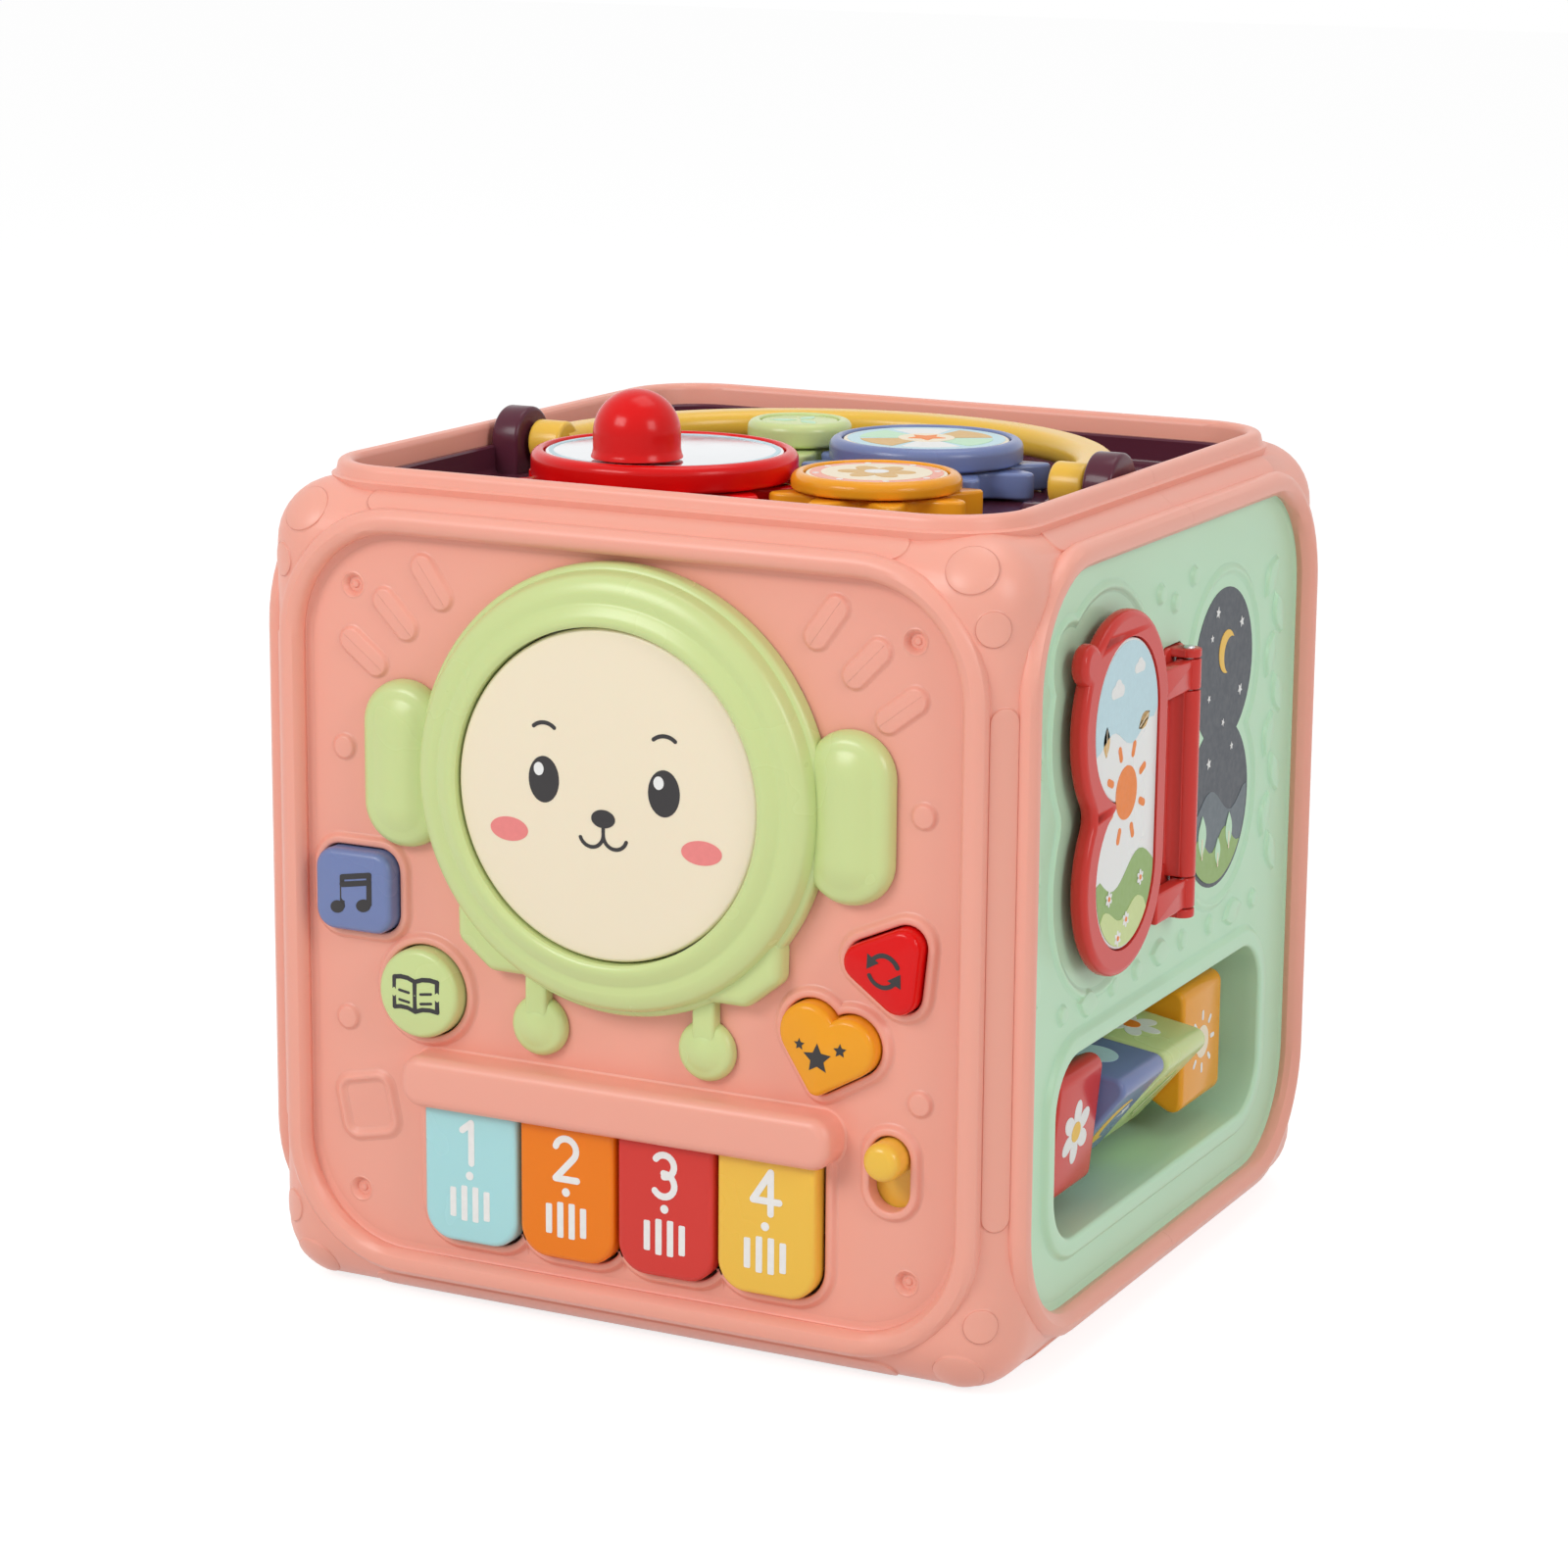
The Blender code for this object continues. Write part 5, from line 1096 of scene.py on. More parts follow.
def edge_pads():
    """Every raised pad and disc on the frame's rounded edges, by the side of the seam they are on."""
    radius = EDGE_RADIUS
    inner = FRAME_WIDTH / 2 - radius
    high = FRAME_HEIGHT - radius
    upright = bend_over_edge(pad_shape(EDGE_PAD_WIDTH, UPRIGHT_PAD_LENGTH), radius)
    level = bend_over_edge(pad_shape(LEVEL_PAD_WIDTH, LEVEL_PAD_LENGTH), radius)
    big = bend_over_corner(dish(circle(BIG_DISC_RADIUS, 40), EDGE_PAD_RISE), radius)
    small = bend_over_edge(dish(circle(SMALL_DISC_RADIUS, 32), EDGE_PAD_RISE), radius)
    pads = {-1: [], 1: []}
    for sy in (-1, 1):
        for sx in (-1, 1):
            out = atan2(sy, sx)
            at = Matrix.Translation((sx * inner, sy * inner, UPRIGHT_PAD_Z))
            stand = at @ Matrix.Rotation(out, 4, "Z") @ Matrix.Rotation(pi / 2, 4, "Y")
            pads[sy].append(transformed(upright, stand @ Matrix.Rotation(pi / 2, 4, "Z")))
            for sz in (-1, 1):
                corner_z = high if sz > 0 else radius
                pads[sy] += corner_discs(big, small, (sx * inner, sy * inner, corner_z), (sx, sy, sz))
        for sz in (-1, 1):
            corner_z = high if sz > 0 else radius
            pads[sy].append(level_pad(level, (0, sy * inner, corner_z), Vector((0, sy, 0)), sz))
    for sx in (-1, 1):
        for sz in (-1, 1):
            corner_z = high if sz > 0 else radius
            shape = level_pad(level, (sx * inner, 0, corner_z), Vector((sx, 0, 0)), sz)
            pads[0] = pads.get(0, []) + [shape]
    return pads


def oriented(at, out, along):
    """A matrix whose Z points out and whose Y points along an edge."""
    z = out.normalized()
    y = (along - z * along.dot(z)).normalized()
    x = y.cross(z)
    return Matrix.Translation(at) @ Matrix((x, y, z)).transposed().to_4x4()


def level_pad(shape, at, face_way, sz):
    tilt = radians(LEVEL_PAD_DEGREES)
    out = face_way * cos(tilt) + Vector((0, 0, sz * sin(tilt)))
    along = Vector((0, 0, 1)).cross(face_way)
    return transformed(shape, oriented(at, out, along))


def corner_discs(big, small, corner, signs):
    sx, sy, sz = signs
    turn = radians(BIG_DISC_TURN)
    tilt = radians(BIG_DISC_TILT)
    out = Vector((sx * sin(turn) * cos(tilt), sy * cos(turn) * cos(tilt), sz * sin(tilt)))
    discs = [transformed(big, oriented(corner, out, Vector((0, 0, 1))))]
    turn = radians(SMALL_DISC_TURN)
    out = Vector((sx * sin(turn), sy * cos(turn), 0))
    at = (corner[0], corner[1], corner[2] - sz * SMALL_DISC_DROP)
    discs.append(transformed(small, oriented(at, out, Vector((0, 0, 1)))))
    return discs


def make_frame():
    body = rounded_cube(0, EDGE_RADIUS, EDGE_STEPS)
    mesh = evaluated(body)
    body = linked("frame_body", mesh)
    apply_boolean(body, rounded_cube(FRAME_WALL, EDGE_RADIUS - FRAME_WALL, 6))
    window = opening_outline(OPENING_RELIEF)
    through = swept(window, [(0, -FRAME_WIDTH - OVERRUN), (0, OVERRUN)])
    for side in ("front", "right"):
        apply_boolean(body, tool_object("window", transformed(through, side_matrix(side))))
    top_width = LIP_OPENING + LIP_WALL
    top = rounded_rect(top_width, top_width, LIP_CORNER - LIP_WALL / 2, 12)
    apply_boolean(
        body, tool_object("top", swept(top, [(0, FRAME_HEIGHT - 2 * OVERRUN), (0, FRAME_HEIGHT + OVERRUN)]))
    )
    base = rounded_rect(BASE_OPENING, BASE_OPENING, BASE_CORNER, 10)
    apply_boolean(body, tool_object("base", swept(base, [(0, -OVERRUN), (0, 2 * OVERRUN)])))
    for side in SIDE_TURNS:
        apply_boolean(body, tool_object("bead", transformed(bead_shape(), side_matrix(side))), "UNION")
    apply_boolean(body, tool_object("lip", lip_shape()), "UNION")
    for pad in edge_pads()[0]:
        apply_boolean(body, tool_object("pad", pad), "UNION")
    pads = edge_pads()
    for sy, name in ((-1, "frame_front"), (1, "frame_rear")):
        half = half_mesh(body.data, sy)
        verts = [tuple(v.co) for v in half.vertices]
        faces = [tuple(p.vertices) for p in half.polygons]
        shape = joined((verts, faces), *pads[sy])
        piece(name + "_shell", shape, "pink", "housing", (name,), angle=FRAME_SMOOTH_ANGLE)
        bpy.data.meshes.remove(half)
    bpy.data.objects.remove(body, do_unlink=True)


def half_mesh(mesh, sy):
    """The half of a mesh on one side of the seam, closed at the seam."""
    work = bmesh.new()
    work.from_mesh(mesh)
    geometry = list(work.verts) + list(work.edges) + list(work.faces)
    result = bmesh.ops.bisect_plane(
        work, geom=geometry, plane_co=(0, sy * SEAM_GAP, 0), plane_no=(0, -sy, 0), clear_outer=True
    )
    edges = [e for e in result["geom_cut"] if isinstance(e, bmesh.types.BMEdge)]
    bmesh.ops.holes_fill(work, edges=edges)
    half = bpy.data.meshes.new("half")
    work.to_mesh(half)
    work.free()
    return half


# Front panel


def button_outlines(grow):
    width = SQUARE_WIDTH + 2 * grow
    height = SQUARE_HEIGHT + 2 * grow
    return {
        "square_button": rounded_rect(width, height, SQUARE_CORNER + grow, 10),
        "round_button": circle(ROUND_RADIUS + grow, 64),
        "triangle_button": rounded_triangle(TRIANGLE_REACH, TRIANGLE_CORNER, grow),
        "heart_button": heart(HEART_WIDTH, HEART_HEIGHT, grow),
    }


BUTTON_PLACES = {
    "square_button": ((SQUARE_U, SQUARE_V), 0, "blue", "blue"),
    "round_button": ((ROUND_U, ROUND_V), 0, "green", "green"),
    "triangle_button": ((TRIANGLE_U, TRIANGLE_V), TRIANGLE_TURN, "red", "red"),
    "heart_button": ((HEART_U, HEART_V), HEART_TURN, "amber", "orange"),
}


def key_u(index):
    return (index - (KEY_COUNT - 1) / 2) * KEY_PITCH


def key_bay(grow, top_v):
    """The keys' bay: straight sides, and a lower edge that follows each key's round end."""
    reach = KEY_CORNER + grow
    half_gap = (KEY_PITCH - KEY_WIDTH) / 2
    notch = degrees(acos((KEY_CORNER + half_gap) / reach)) if grow > half_gap else 0
    inner = KEY_WIDTH / 2 - KEY_CORNER
    centre_v = KEY_LOW_V + KEY_CORNER
    points = [(key_u(0) - KEY_WIDTH / 2 - grow, top_v)]
    for i in range(KEY_COUNT):
        start = 180 if i == 0 else 180 + notch
        end = 360 if i == KEY_COUNT - 1 else 360 - notch
        points += arc((key_u(i) - inner, centre_v), reach, start, 270, 8)[min(i, 1):]
        points += arc((key_u(i) + inner, centre_v), reach, 270, end, 8)
    points.append((key_u(KEY_COUNT - 1) + KEY_WIDTH / 2 + grow, top_v))
    return points


PANEL_BORDER = 0.0012
PANEL_BORDER_RISE = 0.0007
PANEL_SKIRT_LIFT = 0.0004
SMALL_SINK = 0.0001


def panel_tray(holes):
    """A panel's face with holes, over a skirt; its border rises softly to the bead."""
    border = PANEL_BORDER
    grown = [inset(hole, HOLE_GROW) for hole in holes]
    face = plate([opening_outline(-border)] + grown, PANEL_BACK, PANEL_FACE)
    profile = [(-PANEL_SKIRT_WALL, PANEL_REAR), (PANEL_OVERLAP, PANEL_REAR)]
    profile.append((PANEL_OVERLAP, PANEL_FACE + PANEL_SKIRT_LIFT))
    for angle in (pi / 2 * i / 4 for i in range(5)):
        reach = -border + (border + PANEL_OVERLAP) * cos(angle)
        profile.append((reach, PANEL_FACE + PANEL_BORDER_RISE * (1 - sin(angle))))
    profile.append((-PANEL_SKIRT_WALL, PANEL_FACE - SMALL_SINK))
    return joined(face, swept(opening_outline(), profile, ring=True))


def front_relief():
    shapes = [raised(moved(circle(DOT_RADIUS, 40), at), RELIEF_RISE, PANEL_FACE) for at in DOT_PLACES]
    for angle in PILL_ANGLES:
        for way in (-1, 1):
            u = way * PILL_FAN_RADIUS * cos(radians(angle))
            v = PILL_FAN_V + PILL_FAN_RADIUS * sin(radians(angle))
            pill = moved(stadium(PILL_WIDTH, PILL_HEIGHT), (u, v), way * (angle - 90))
            shapes.append(raised(pill, RELIEF_RISE, PANEL_FACE))
    inner = DIAMOND_SIZE - DIAMOND_LINE
    square = moved(rounded_rect(inner, inner, DIAMOND_CORNER), DIAMOND_PLACE, DIAMOND_TURN)
    shapes.append(groove_mesh(square, DIAMOND_LINE, RELIEF_RISE, PANEL_FACE))
    for at in SCREW_PLACES:
        shapes.append(screw_well(at))
    return shapes


SCREW_LIP = ((0.0006, -0.00005), (0.0002, 0.00012), (0, 0), (-0.0006, -0.0007))
SCREW_FLOOR_EDGE = -0.0008
SCREW_PLUG = ((0.0009, 0), (0.0006, 0.0003), (0, 0.0004))


def screw_well(at):
    """A countersunk well with a plugged screw in it."""
    floor = PANEL_FACE - SCREW_DEPTH
    profile = [(SCREW_RADIUS + SCREW_LIP[0][0], PANEL_BACK)]
    profile += [(SCREW_RADIUS + a, PANEL_FACE + b) for a, b in SCREW_LIP]
    profile.append((SCREW_RADIUS + SCREW_FLOOR_EDGE, floor))
    profile += [(a, floor + b) for a, b in SCREW_PLUG] + [(0, PANEL_BACK)]
    verts, faces = turned(profile, 32)
    return [(v[0] + at[0], v[1] + at[1], v[2]) for v in verts], faces


HOOD_FOOT = ((0.0006, -0.0005), (0.0006, 0), (0.0002, 0.0003), (0, 0.001))


def hood_shape():
    outline = rounded_rect(HOOD_WIDTH, HOOD_TOP_V - HOOD_LOW_V, HOOD_CORNER, 10)
    outline = moved(outline, (0, (HOOD_TOP_V + HOOD_LOW_V) / 2))
    profile = [(a, PANEL_FACE + b) for a, b in HOOD_FOOT]
    return swept(outline, profile + edge_steps(HOOD_EDGE, HOOD_RISE, 8))


BAY_UNDER_HOOD = 0.0015
SCREW_HOLE_GROW = 0.0002


def make_front_panel():
    gap_holes = []
    rims = []
    holes = button_outlines(BUTTON_GAP)
    for name, (place, turn, _, _) in BUTTON_PLACES.items():
        outline = moved(holes[name], place, turn)
        gap_holes.append(outline)
        rims.append(rim_mesh(outline, RIM_WIDTH, RIM_RISE, PANEL_FACE, PANEL_BACK))
    slot = moved(stadium(SWITCH_SLOT_WIDTH, SWITCH_SLOT_HEIGHT), (SWITCH_U, SWITCH_V))
    gap_holes.append(slot)
    rims.append(rim_mesh(slot, RIM_WIDTH, RIM_RISE, PANEL_FACE, PANEL_BACK))
    bay = key_bay(BAY_GAP, HOOD_LOW_V + BAY_UNDER_HOOD)
    gap_holes.append(bay)
    rims.append(rim_mesh(bay, RIM_WIDTH, RIM_RISE, PANEL_FACE, PANEL_REAR))
    gap_holes.append(moved(circle(DRUM_POCKET_RADIUS, 72), (0, DRUM_V)))
    gap_holes += [moved(circle(SCREW_RADIUS + SCREW_HOLE_GROW, 32), at) for at in SCREW_PLACES]
    shape = joined(panel_tray(gap_holes), *rims, hood_shape(), *front_relief())
    piece("front_panel_shell", shape, "pink", "housing", ("front_panel",), side_matrix("front"))


# Drum


def smoothed(points, steps):
    """A smooth curve through points, by Catmull and Rom's rule."""
    found = [points[0]]
    last = len(points) - 1
    for i in range(last):
        a, b, c, d = (points[max(0, min(last, i + k))] for k in (-1, 0, 1, 2))
        for step in range(1, steps + 1):
            t = step / steps
            weights = (-t + 2 * t**2 - t**3, 2 - 5 * t**2 + 3 * t**3, t + 4 * t**2 - 3 * t**3, t**3 - t**2)
            found.append(tuple(sum(w * p[k] for w, p in zip(weights, (a, b, c, d))) / 2 for k in (0, 1)))
    return found


def ring_profile():
    outer = DRUM_RING_RADIUS - DRUM_RING_INSET
    inner = DRUM_PAD_RADIUS + SIDE_GAP
    top = DRUM_FOOT + DRUM_PLATE
    points = [(DRUM_POCKET_RADIUS, DRUM_FOOT), (DRUM_RING_RADIUS, DRUM_FOOT)]
    points += about(DRUM_RING_RADIUS, edge_steps(DRUM_PLATE_EDGE, top, 5))[:-1]
    for share, rise in smoothed(DRUM_BAND, 4):
        points.append((outer + (inner - outer) * share, top + rise * (DRUM_RISE - top)))
    points += [(inner, DRUM_FOOT + DRUM_POCKET_HEIGHT), (DRUM_POCKET_RADIUS, DRUM_FOOT + DRUM_POCKET_HEIGHT)]
    return points


def collar_outline():
    corners = [
        (COLLAR_TOP_U, COLLAR_TOP_V),
        (-COLLAR_TOP_U, COLLAR_TOP_V),
        (-COLLAR_SHOULDER_U, COLLAR_SHOULDER_V),
        (-COLLAR_FOOT_U, COLLAR_FOOT_V),
        (COLLAR_FOOT_U, COLLAR_FOOT_V),
        (COLLAR_SHOULDER_U, COLLAR_SHOULDER_V),
    ]
    return filleted(corners, COLLAR_CORNER, 6)


def pillow(outline, low, top, edge, crown, reach):
    """A puffed block: rounded edge and a gently domed top."""
    return swept(outline, [(0, low)] + crown_steps(edge, top - crown, crown, reach, 8))


def make_drum():
    side = side_matrix("front")
    foot = DRUM_FOOT
    collar = swept(collar_outline(), [(0, foot)] + edge_steps(COLLAR_EDGE, COLLAR_TOP, 8))
    apron = tool_object("apron", collar)
    middle = (DRUM_RING_RADIUS + DRUM_POCKET_RADIUS) / 2
    cutter = swept(moved(circle(middle, 96), (0, DRUM_V)), [(0, foot - OVERRUN), (0, foot + 2 * OVERRUN)])
    apply_boolean(apron, tool_object("apron_cut", cutter))
    shapes = [
        transformed(turned(ring_profile(), 128, ring=True), Matrix.Translation((0, DRUM_V, 0))),
        mesh_shape(apron)
    ]
    for way in (-1, 1):
        ear = moved(rounded_rect(EAR_WIDTH, EAR_HEIGHT, EAR_CORNER, 14), (way * EAR_U, DRUM_V))
        shapes.append(pillow(ear, foot, foot + EAR_RISE, EAR_EDGE, EAR_CROWN, EAR_REACH))
        toe = moved(circle(FOOT_RADIUS, 56), (way * FOOT_U, FOOT_V))
        shapes.append(pillow(toe, foot, foot + FOOT_RISE, FOOT_EDGE, FOOT_CROWN, FOOT_RADIUS * 0.98))
        stem_v = (STEM_TOP_V + FOOT_V) / 2
        stem = moved(rounded_rect(STEM_WIDTH, STEM_TOP_V - FOOT_V, STEM_WIDTH / 4, 5), (way * FOOT_U, stem_v))
        shapes.append(swept(stem, [(0, foot)] + edge_steps(STEM_EDGE, foot + FOOT_RISE * STEM_RISE_SHARE, 4)))
    piece("drum_bezel_shell", joined(*shapes), "green", "housing", ("drum_bezel",), side)


def pad_height(u, v):
    """The height of the drum pad's dome at a point from its middle."""
    away = min(1.0, hypot(u, v) / (DRUM_PAD_RADIUS - PAD_DOME))
    return PAD_RISE + PAD_DOME * (1 - away**2)


PAD_FOOT = 0.0012
PAD_FOOT_RADIUS = 0.0352


def make_drum_pad():
    radius = DRUM_PAD_RADIUS
    inner = radius - PAD_WALL
    low = DRUM_FOOT + DRUM_POCKET_HEIGHT - SEAT_GAP
    foot = low - PAD_FOOT
    profile = [(inner, foot), (PAD_FOOT_RADIUS, foot), (PAD_FOOT_RADIUS, low), (radius, low)]
    profile += about(radius, edge_steps(PAD_DOME, PAD_RISE, 6))
    for i in range(1, 13):
        reach = (radius - PAD_DOME) * (1 - i / 12)
        profile.append((reach, pad_height(reach, 0)))
    profile += [(0, PAD_RISE - PAD_WALL + PAD_DOME), (inner, PAD_RISE - PAD_WALL)]
    verts, faces = turned(profile, 128, ring=False)
    shape = joined((verts, faces), turned([(inner, PAD_RISE - PAD_WALL), (inner, foot)], 128))
    piece("drum_pad_skin", shape, "cream", "drum_pad", ("drum_pad",), placed("front", (0, DRUM_V, 0)))


# Print on the drum's pad


def patch(outline, height, rings=5, centre=None):
    """A star-shaped piece of print that follows a curved surface."""
    outline = without_doubles(outline)
    if centre is None:
        centre = (sum(p[0] for p in outline) / len(outline), sum(p[1] for p in outline) / len(outline))
    verts = [(centre[0], centre[1], height(*centre) + INK_WALL)]
    count = len(outline)
    for ring in range(1, rings + 1):
        share = ring / rings
        for u, v in outline:
            at = (centre[0] + (u - centre[0]) * share, centre[1] + (v - centre[1]) * share)
            verts.append((*at, height(*at) + INK_WALL))
    for u, v in outline:
        verts.append((u, v, height(u, v) - INK_SINK))
    faces = [(0, 1 + i, 1 + (i + 1) % count) for i in range(count)]
    for ring in range(rings):
        low = 1 + ring * count
        high = low + count
        for i in range(count):
            k = (i + 1) % count
            faces.append((low + i, high + i, high + k, low + k))
    base = len(verts)
    verts.append((centre[0], centre[1], height(*centre) - INK_SINK))
    last = 1 + rings * count
    for i in range(count):
        faces.append((base, last + (i + 1) % count, last + i))
    return verts, faces


def ribbon(path, width, height):
    """A printed line of even width with round ends."""
    points = [Vector(p) for p in path]
    left = []
    right = []
    last = len(points) - 1
    for i, point in enumerate(points):
        way = (points[min(i + 1, last)] - points[max(i - 1, 0)]).normalized()
        across = Vector((-way.y, way.x)) * width / 2
        left.append(point + across)
        right.append(point - across)
    shapes = [strip(left, right, height)]
    for end, inner in ((points[0], points[1]), (points[-1], points[-2])):
        way = end - inner
        turn = degrees(atan2(way.y, way.x))
        cap = [tuple(Vector(p)) for p in arc(end, width / 2, turn - 90, turn + 90, 8)]
        shapes.append(patch(cap, height, 1, tuple(end)))
    return joined(*shapes)


def strip(left, right, height):
    verts = []
    for group, drop in ((left, INK_WALL), (right, INK_WALL), (right, -INK_SINK), (left, -INK_SINK)):
        verts += [(p.x, p.y, height(p.x, p.y) + drop) for p in group]
    count = len(left)
    faces = []
    for row in range(4):
        low = row * count
        high = ((row + 1) % 4) * count
        for i in range(count - 1):
            faces.append((low + i, low + i + 1, high + i + 1, high + i))
    faces.append((0, count, 2 * count, 3 * count))
    faces.append((count - 1, 4 * count - 1, 3 * count - 1, 2 * count - 1))
    return verts, faces


def printed(name, shapes, paint, body, matrix):
    return piece(name, joined(*shapes), paint, body, (), matrix, PRINT_SMOOTH_ANGLE)


EYE_SIZE = (0.0034, 0.0046)
EYE_U = 0.0132
EYE_V = 0.0022
SHINE_SIZE = (0.0011, 0.0013)
SHINE_ASIDE = 0.0011
SHINE_V = 0.0042
BROW_V = 0.0098
BROW_RADIUS = 0.0036
BROW_LINE = 0.0008
MOUTH_RADIUS = 0.0026
MOUTH_V = -0.0074
MOUTH_LINE = 0.00075
NOSE_SIZE = (0.0026, 0.0018)
NOSE_V = -0.0042
NOSE_LINE_V = (-0.0055, -0.0066, -0.0076)
NOSE_LINE = 0.0007
CHEEK_SIZE = (0.0043, 0.0024)
CHEEK_U = 0.0212
CHEEK_V = -0.0086


def make_drum_face():
    """A plain smiling animal face: dot eyes, brows, a nose, a smile and pink cheeks."""
    at = placed("front", (0, DRUM_V, 0))
    dark = []
    shine = []
    for way in (-1, 1):
        eye = ellipse(*EYE_SIZE, (way * EYE_U, EYE_V))
        dark.append(patch(eye, pad_height))
        lift = lambda u, v: pad_height(u, v) + INK_WALL
        shine.append(patch(ellipse(*SHINE_SIZE, (way * EYE_U - SHINE_ASIDE, SHINE_V)), lift, 3))
        brow = arc((way * EYE_U, BROW_V), BROW_RADIUS, 50, 130, 12)
        dark.append(ribbon(brow, BROW_LINE, pad_height))
        ends = (200, 360) if way < 0 else (180, 340)
        mouth = arc((way * MOUTH_RADIUS, MOUTH_V), MOUTH_RADIUS, *ends, 16)
        dark.append(ribbon(mouth, MOUTH_LINE, lifted(pad_height, 1 + way)))
    dark.append(patch(ellipse(*NOSE_SIZE, (0, NOSE_V)), lifted(pad_height, 4)))
    dark.append(ribbon([(0, v) for v in NOSE_LINE_V], NOSE_LINE, lifted(pad_height, 3)))
    printed("face_lines", dark, "ink", "drum_pad", at)
    printed("face_shine", shine, "white_ink", "drum_pad", at)
    cheeks = [patch(ellipse(*CHEEK_SIZE, (way * CHEEK_U, CHEEK_V)), pad_height) for way in (-1, 1)]
    printed("face_cheeks", cheeks, "blush", "drum_pad", at)


# Keys, buttons and switch

KEY_PAINTS = ("cyan", "orange", "coral", "yellow")


def key_outline():
    half = KEY_WIDTH / 2
    inner = half - KEY_CORNER
    points = [(half, KEY_TOP_V), (-half, KEY_TOP_V)]
    points += arc((-inner, KEY_LOW_V + KEY_CORNER), KEY_CORNER, 180, 270, 12)
    points += arc((inner, KEY_LOW_V + KEY_CORNER), KEY_CORNER, 270, 360, 12)
    return points


def flat(height):
    return lambda u, v: height


def lifted(height, order):
    """A height function a hair above another, so that crossing lines don't share a plane."""
    return lambda u, v: height(u, v) + order * LINE_LIFT


DIGIT_STROKES = {
    "1": [[(-0.2, 0.3), (0.05, 0.5)], [(0.05, 0.5), (0.05, -0.5)]],
    "2": [arc((0, 0.22), 0.28, 165, -42, 14) + [(-0.28, -0.5)], [(-0.28, -0.5), (0.3, -0.5)]],
    "3": [arc((-0.01, 0.235), 0.265, 145, -90, 14), arc((-0.02, -0.235), 0.285, 90, -145, 14)],
    "4": [[(0.14, -0.5), (0.14, 0.5)], [(0.14, 0.5), (-0.32, -0.2)], [(-0.32, -0.2), (0.36, -0.2)]],
}


def digit(character, at, size, width, height):
    """A plain numeral drawn with round-ended lines."""
    shapes = []
    for i, stroke in enumerate(DIGIT_STROKES[character]):
        path = [(at[0] + size * u, at[1] + size * v) for u, v in stroke]
        shapes.append(ribbon(path, width, lifted(height, i)))
    return shapes


KEY_LINE = 0.0014
KEY_DIGIT_V = -0.0479
KEY_DIGIT_SIZE = 0.0084
KEY_DOT_V = -0.0548
KEY_DOT_RADIUS = 0.0009
KEY_BARS = (0.0062, 0.0074, 0.0074, 0.0062)
KEY_BAR_V = -0.0607
KEY_BAR_PITCH = 0.0026
KEY_BAR_CORNER = 0.0003
KEY_UNDER_EDGE = 0.0006


def make_keys():
    matrix_side = side_matrix("front")
    top = KEY_RISE
    height = flat(top)
    for i in range(KEY_COUNT):
        body = "key_" + str(i + 1)
        outline = moved(key_outline(), (key_u(i), 0))
        profile = edge_low(top - KEY_WALL, KEY_UNDER_EDGE) + edge_steps(KEY_EDGE, top, 6)
        piece(body + "_cap", swept(outline, profile), KEY_PAINTS[i], body, (body,), matrix_side)
        marks = digit(str(i + 1), (key_u(i), KEY_DIGIT_V), KEY_DIGIT_SIZE, KEY_LINE, height)
        marks.append(patch(moved(circle(KEY_DOT_RADIUS, 20), (key_u(i), KEY_DOT_V)), height, 2))
        for j, tall in enumerate(KEY_BARS):
            u = key_u(i) + (j - 1.5) * KEY_BAR_PITCH
            bar = moved(rounded_rect(KEY_LINE, tall, KEY_BAR_CORNER, 3), (u, KEY_BAR_V))
            marks.append(patch(bar, height, 1))
        printed(body + "_print", marks, "white_ink", body, matrix_side)


def make_buttons():
    caps = button_outlines(0)
    for name, (place, turn, paint, slot) in BUTTON_PLACES.items():
        top = PANEL_FACE + BUTTON_RISE
        shape = domed(caps[name], PANEL_REAR, top, BUTTON_EDGE, BUTTON_CROWN)
        matrix = placed("front", (*place, 0), turn)
        piece(name + "_cap", shape, paint, name, (name,), matrix, slot=slot)
        signs = BUTTON_SIGNS[name](dome(caps[name], top, BUTTON_EDGE, BUTTON_CROWN), -turn)
        printed(name + "_sign", signs, "ink", name, matrix)


def turned_path(path, angle):
    return moved(path, (0, 0), angle)


NOTE_HEAD_SIZE = (0.0017, 0.0013)
NOTE_HEAD_TURN = 20
NOTE_HEADS = ((-0.0031, -0.0033), (0.0031, -0.0024))
NOTE_LINE_WIDTH = 0.0011
NOTE_LINES = (
    ((-0.0018, -0.003), (-0.0018, 0.003)),
    ((0.0044, -0.002), (0.0044, 0.004)),
    ((-0.0018, 0.003), (0.0013, 0.0035), (0.0044, 0.004)),
    ((-0.0018, 0.0015), (0.0013, 0.002), (0.0044, 0.0025)),
)


def music_sign(height, turn):
    """Two joined notes."""
    heads = [moved(ellipse(*NOTE_HEAD_SIZE), at, NOTE_HEAD_TURN) for at in NOTE_HEADS]
    shapes = [patch(turned_path(head, turn), height, 3) for head in heads]
    for i, line in enumerate(NOTE_LINES):
        shapes.append(ribbon(turned_path(line, turn), NOTE_LINE_WIDTH, lifted(height, i + 1)))
    return shapes


SIGN_LINE_WIDTH = 0.0009
BOOK_EDGE = ((0, 0.0028), (0.0017, 0.0034), (0.0034, 0.0035), (0.005, 0.0032))
BOOK_SIGN_HEIGHT = 0.0062
BOOK_LINE = ((0.0014, 0.0024), (0.0037, 0.0027))
BOOK_LINE_PITCH = 0.002
BOOK_LINE_SHARE = 0.6
BOOK_FOLD = ((0, 0.0028), (0, -0.0034))


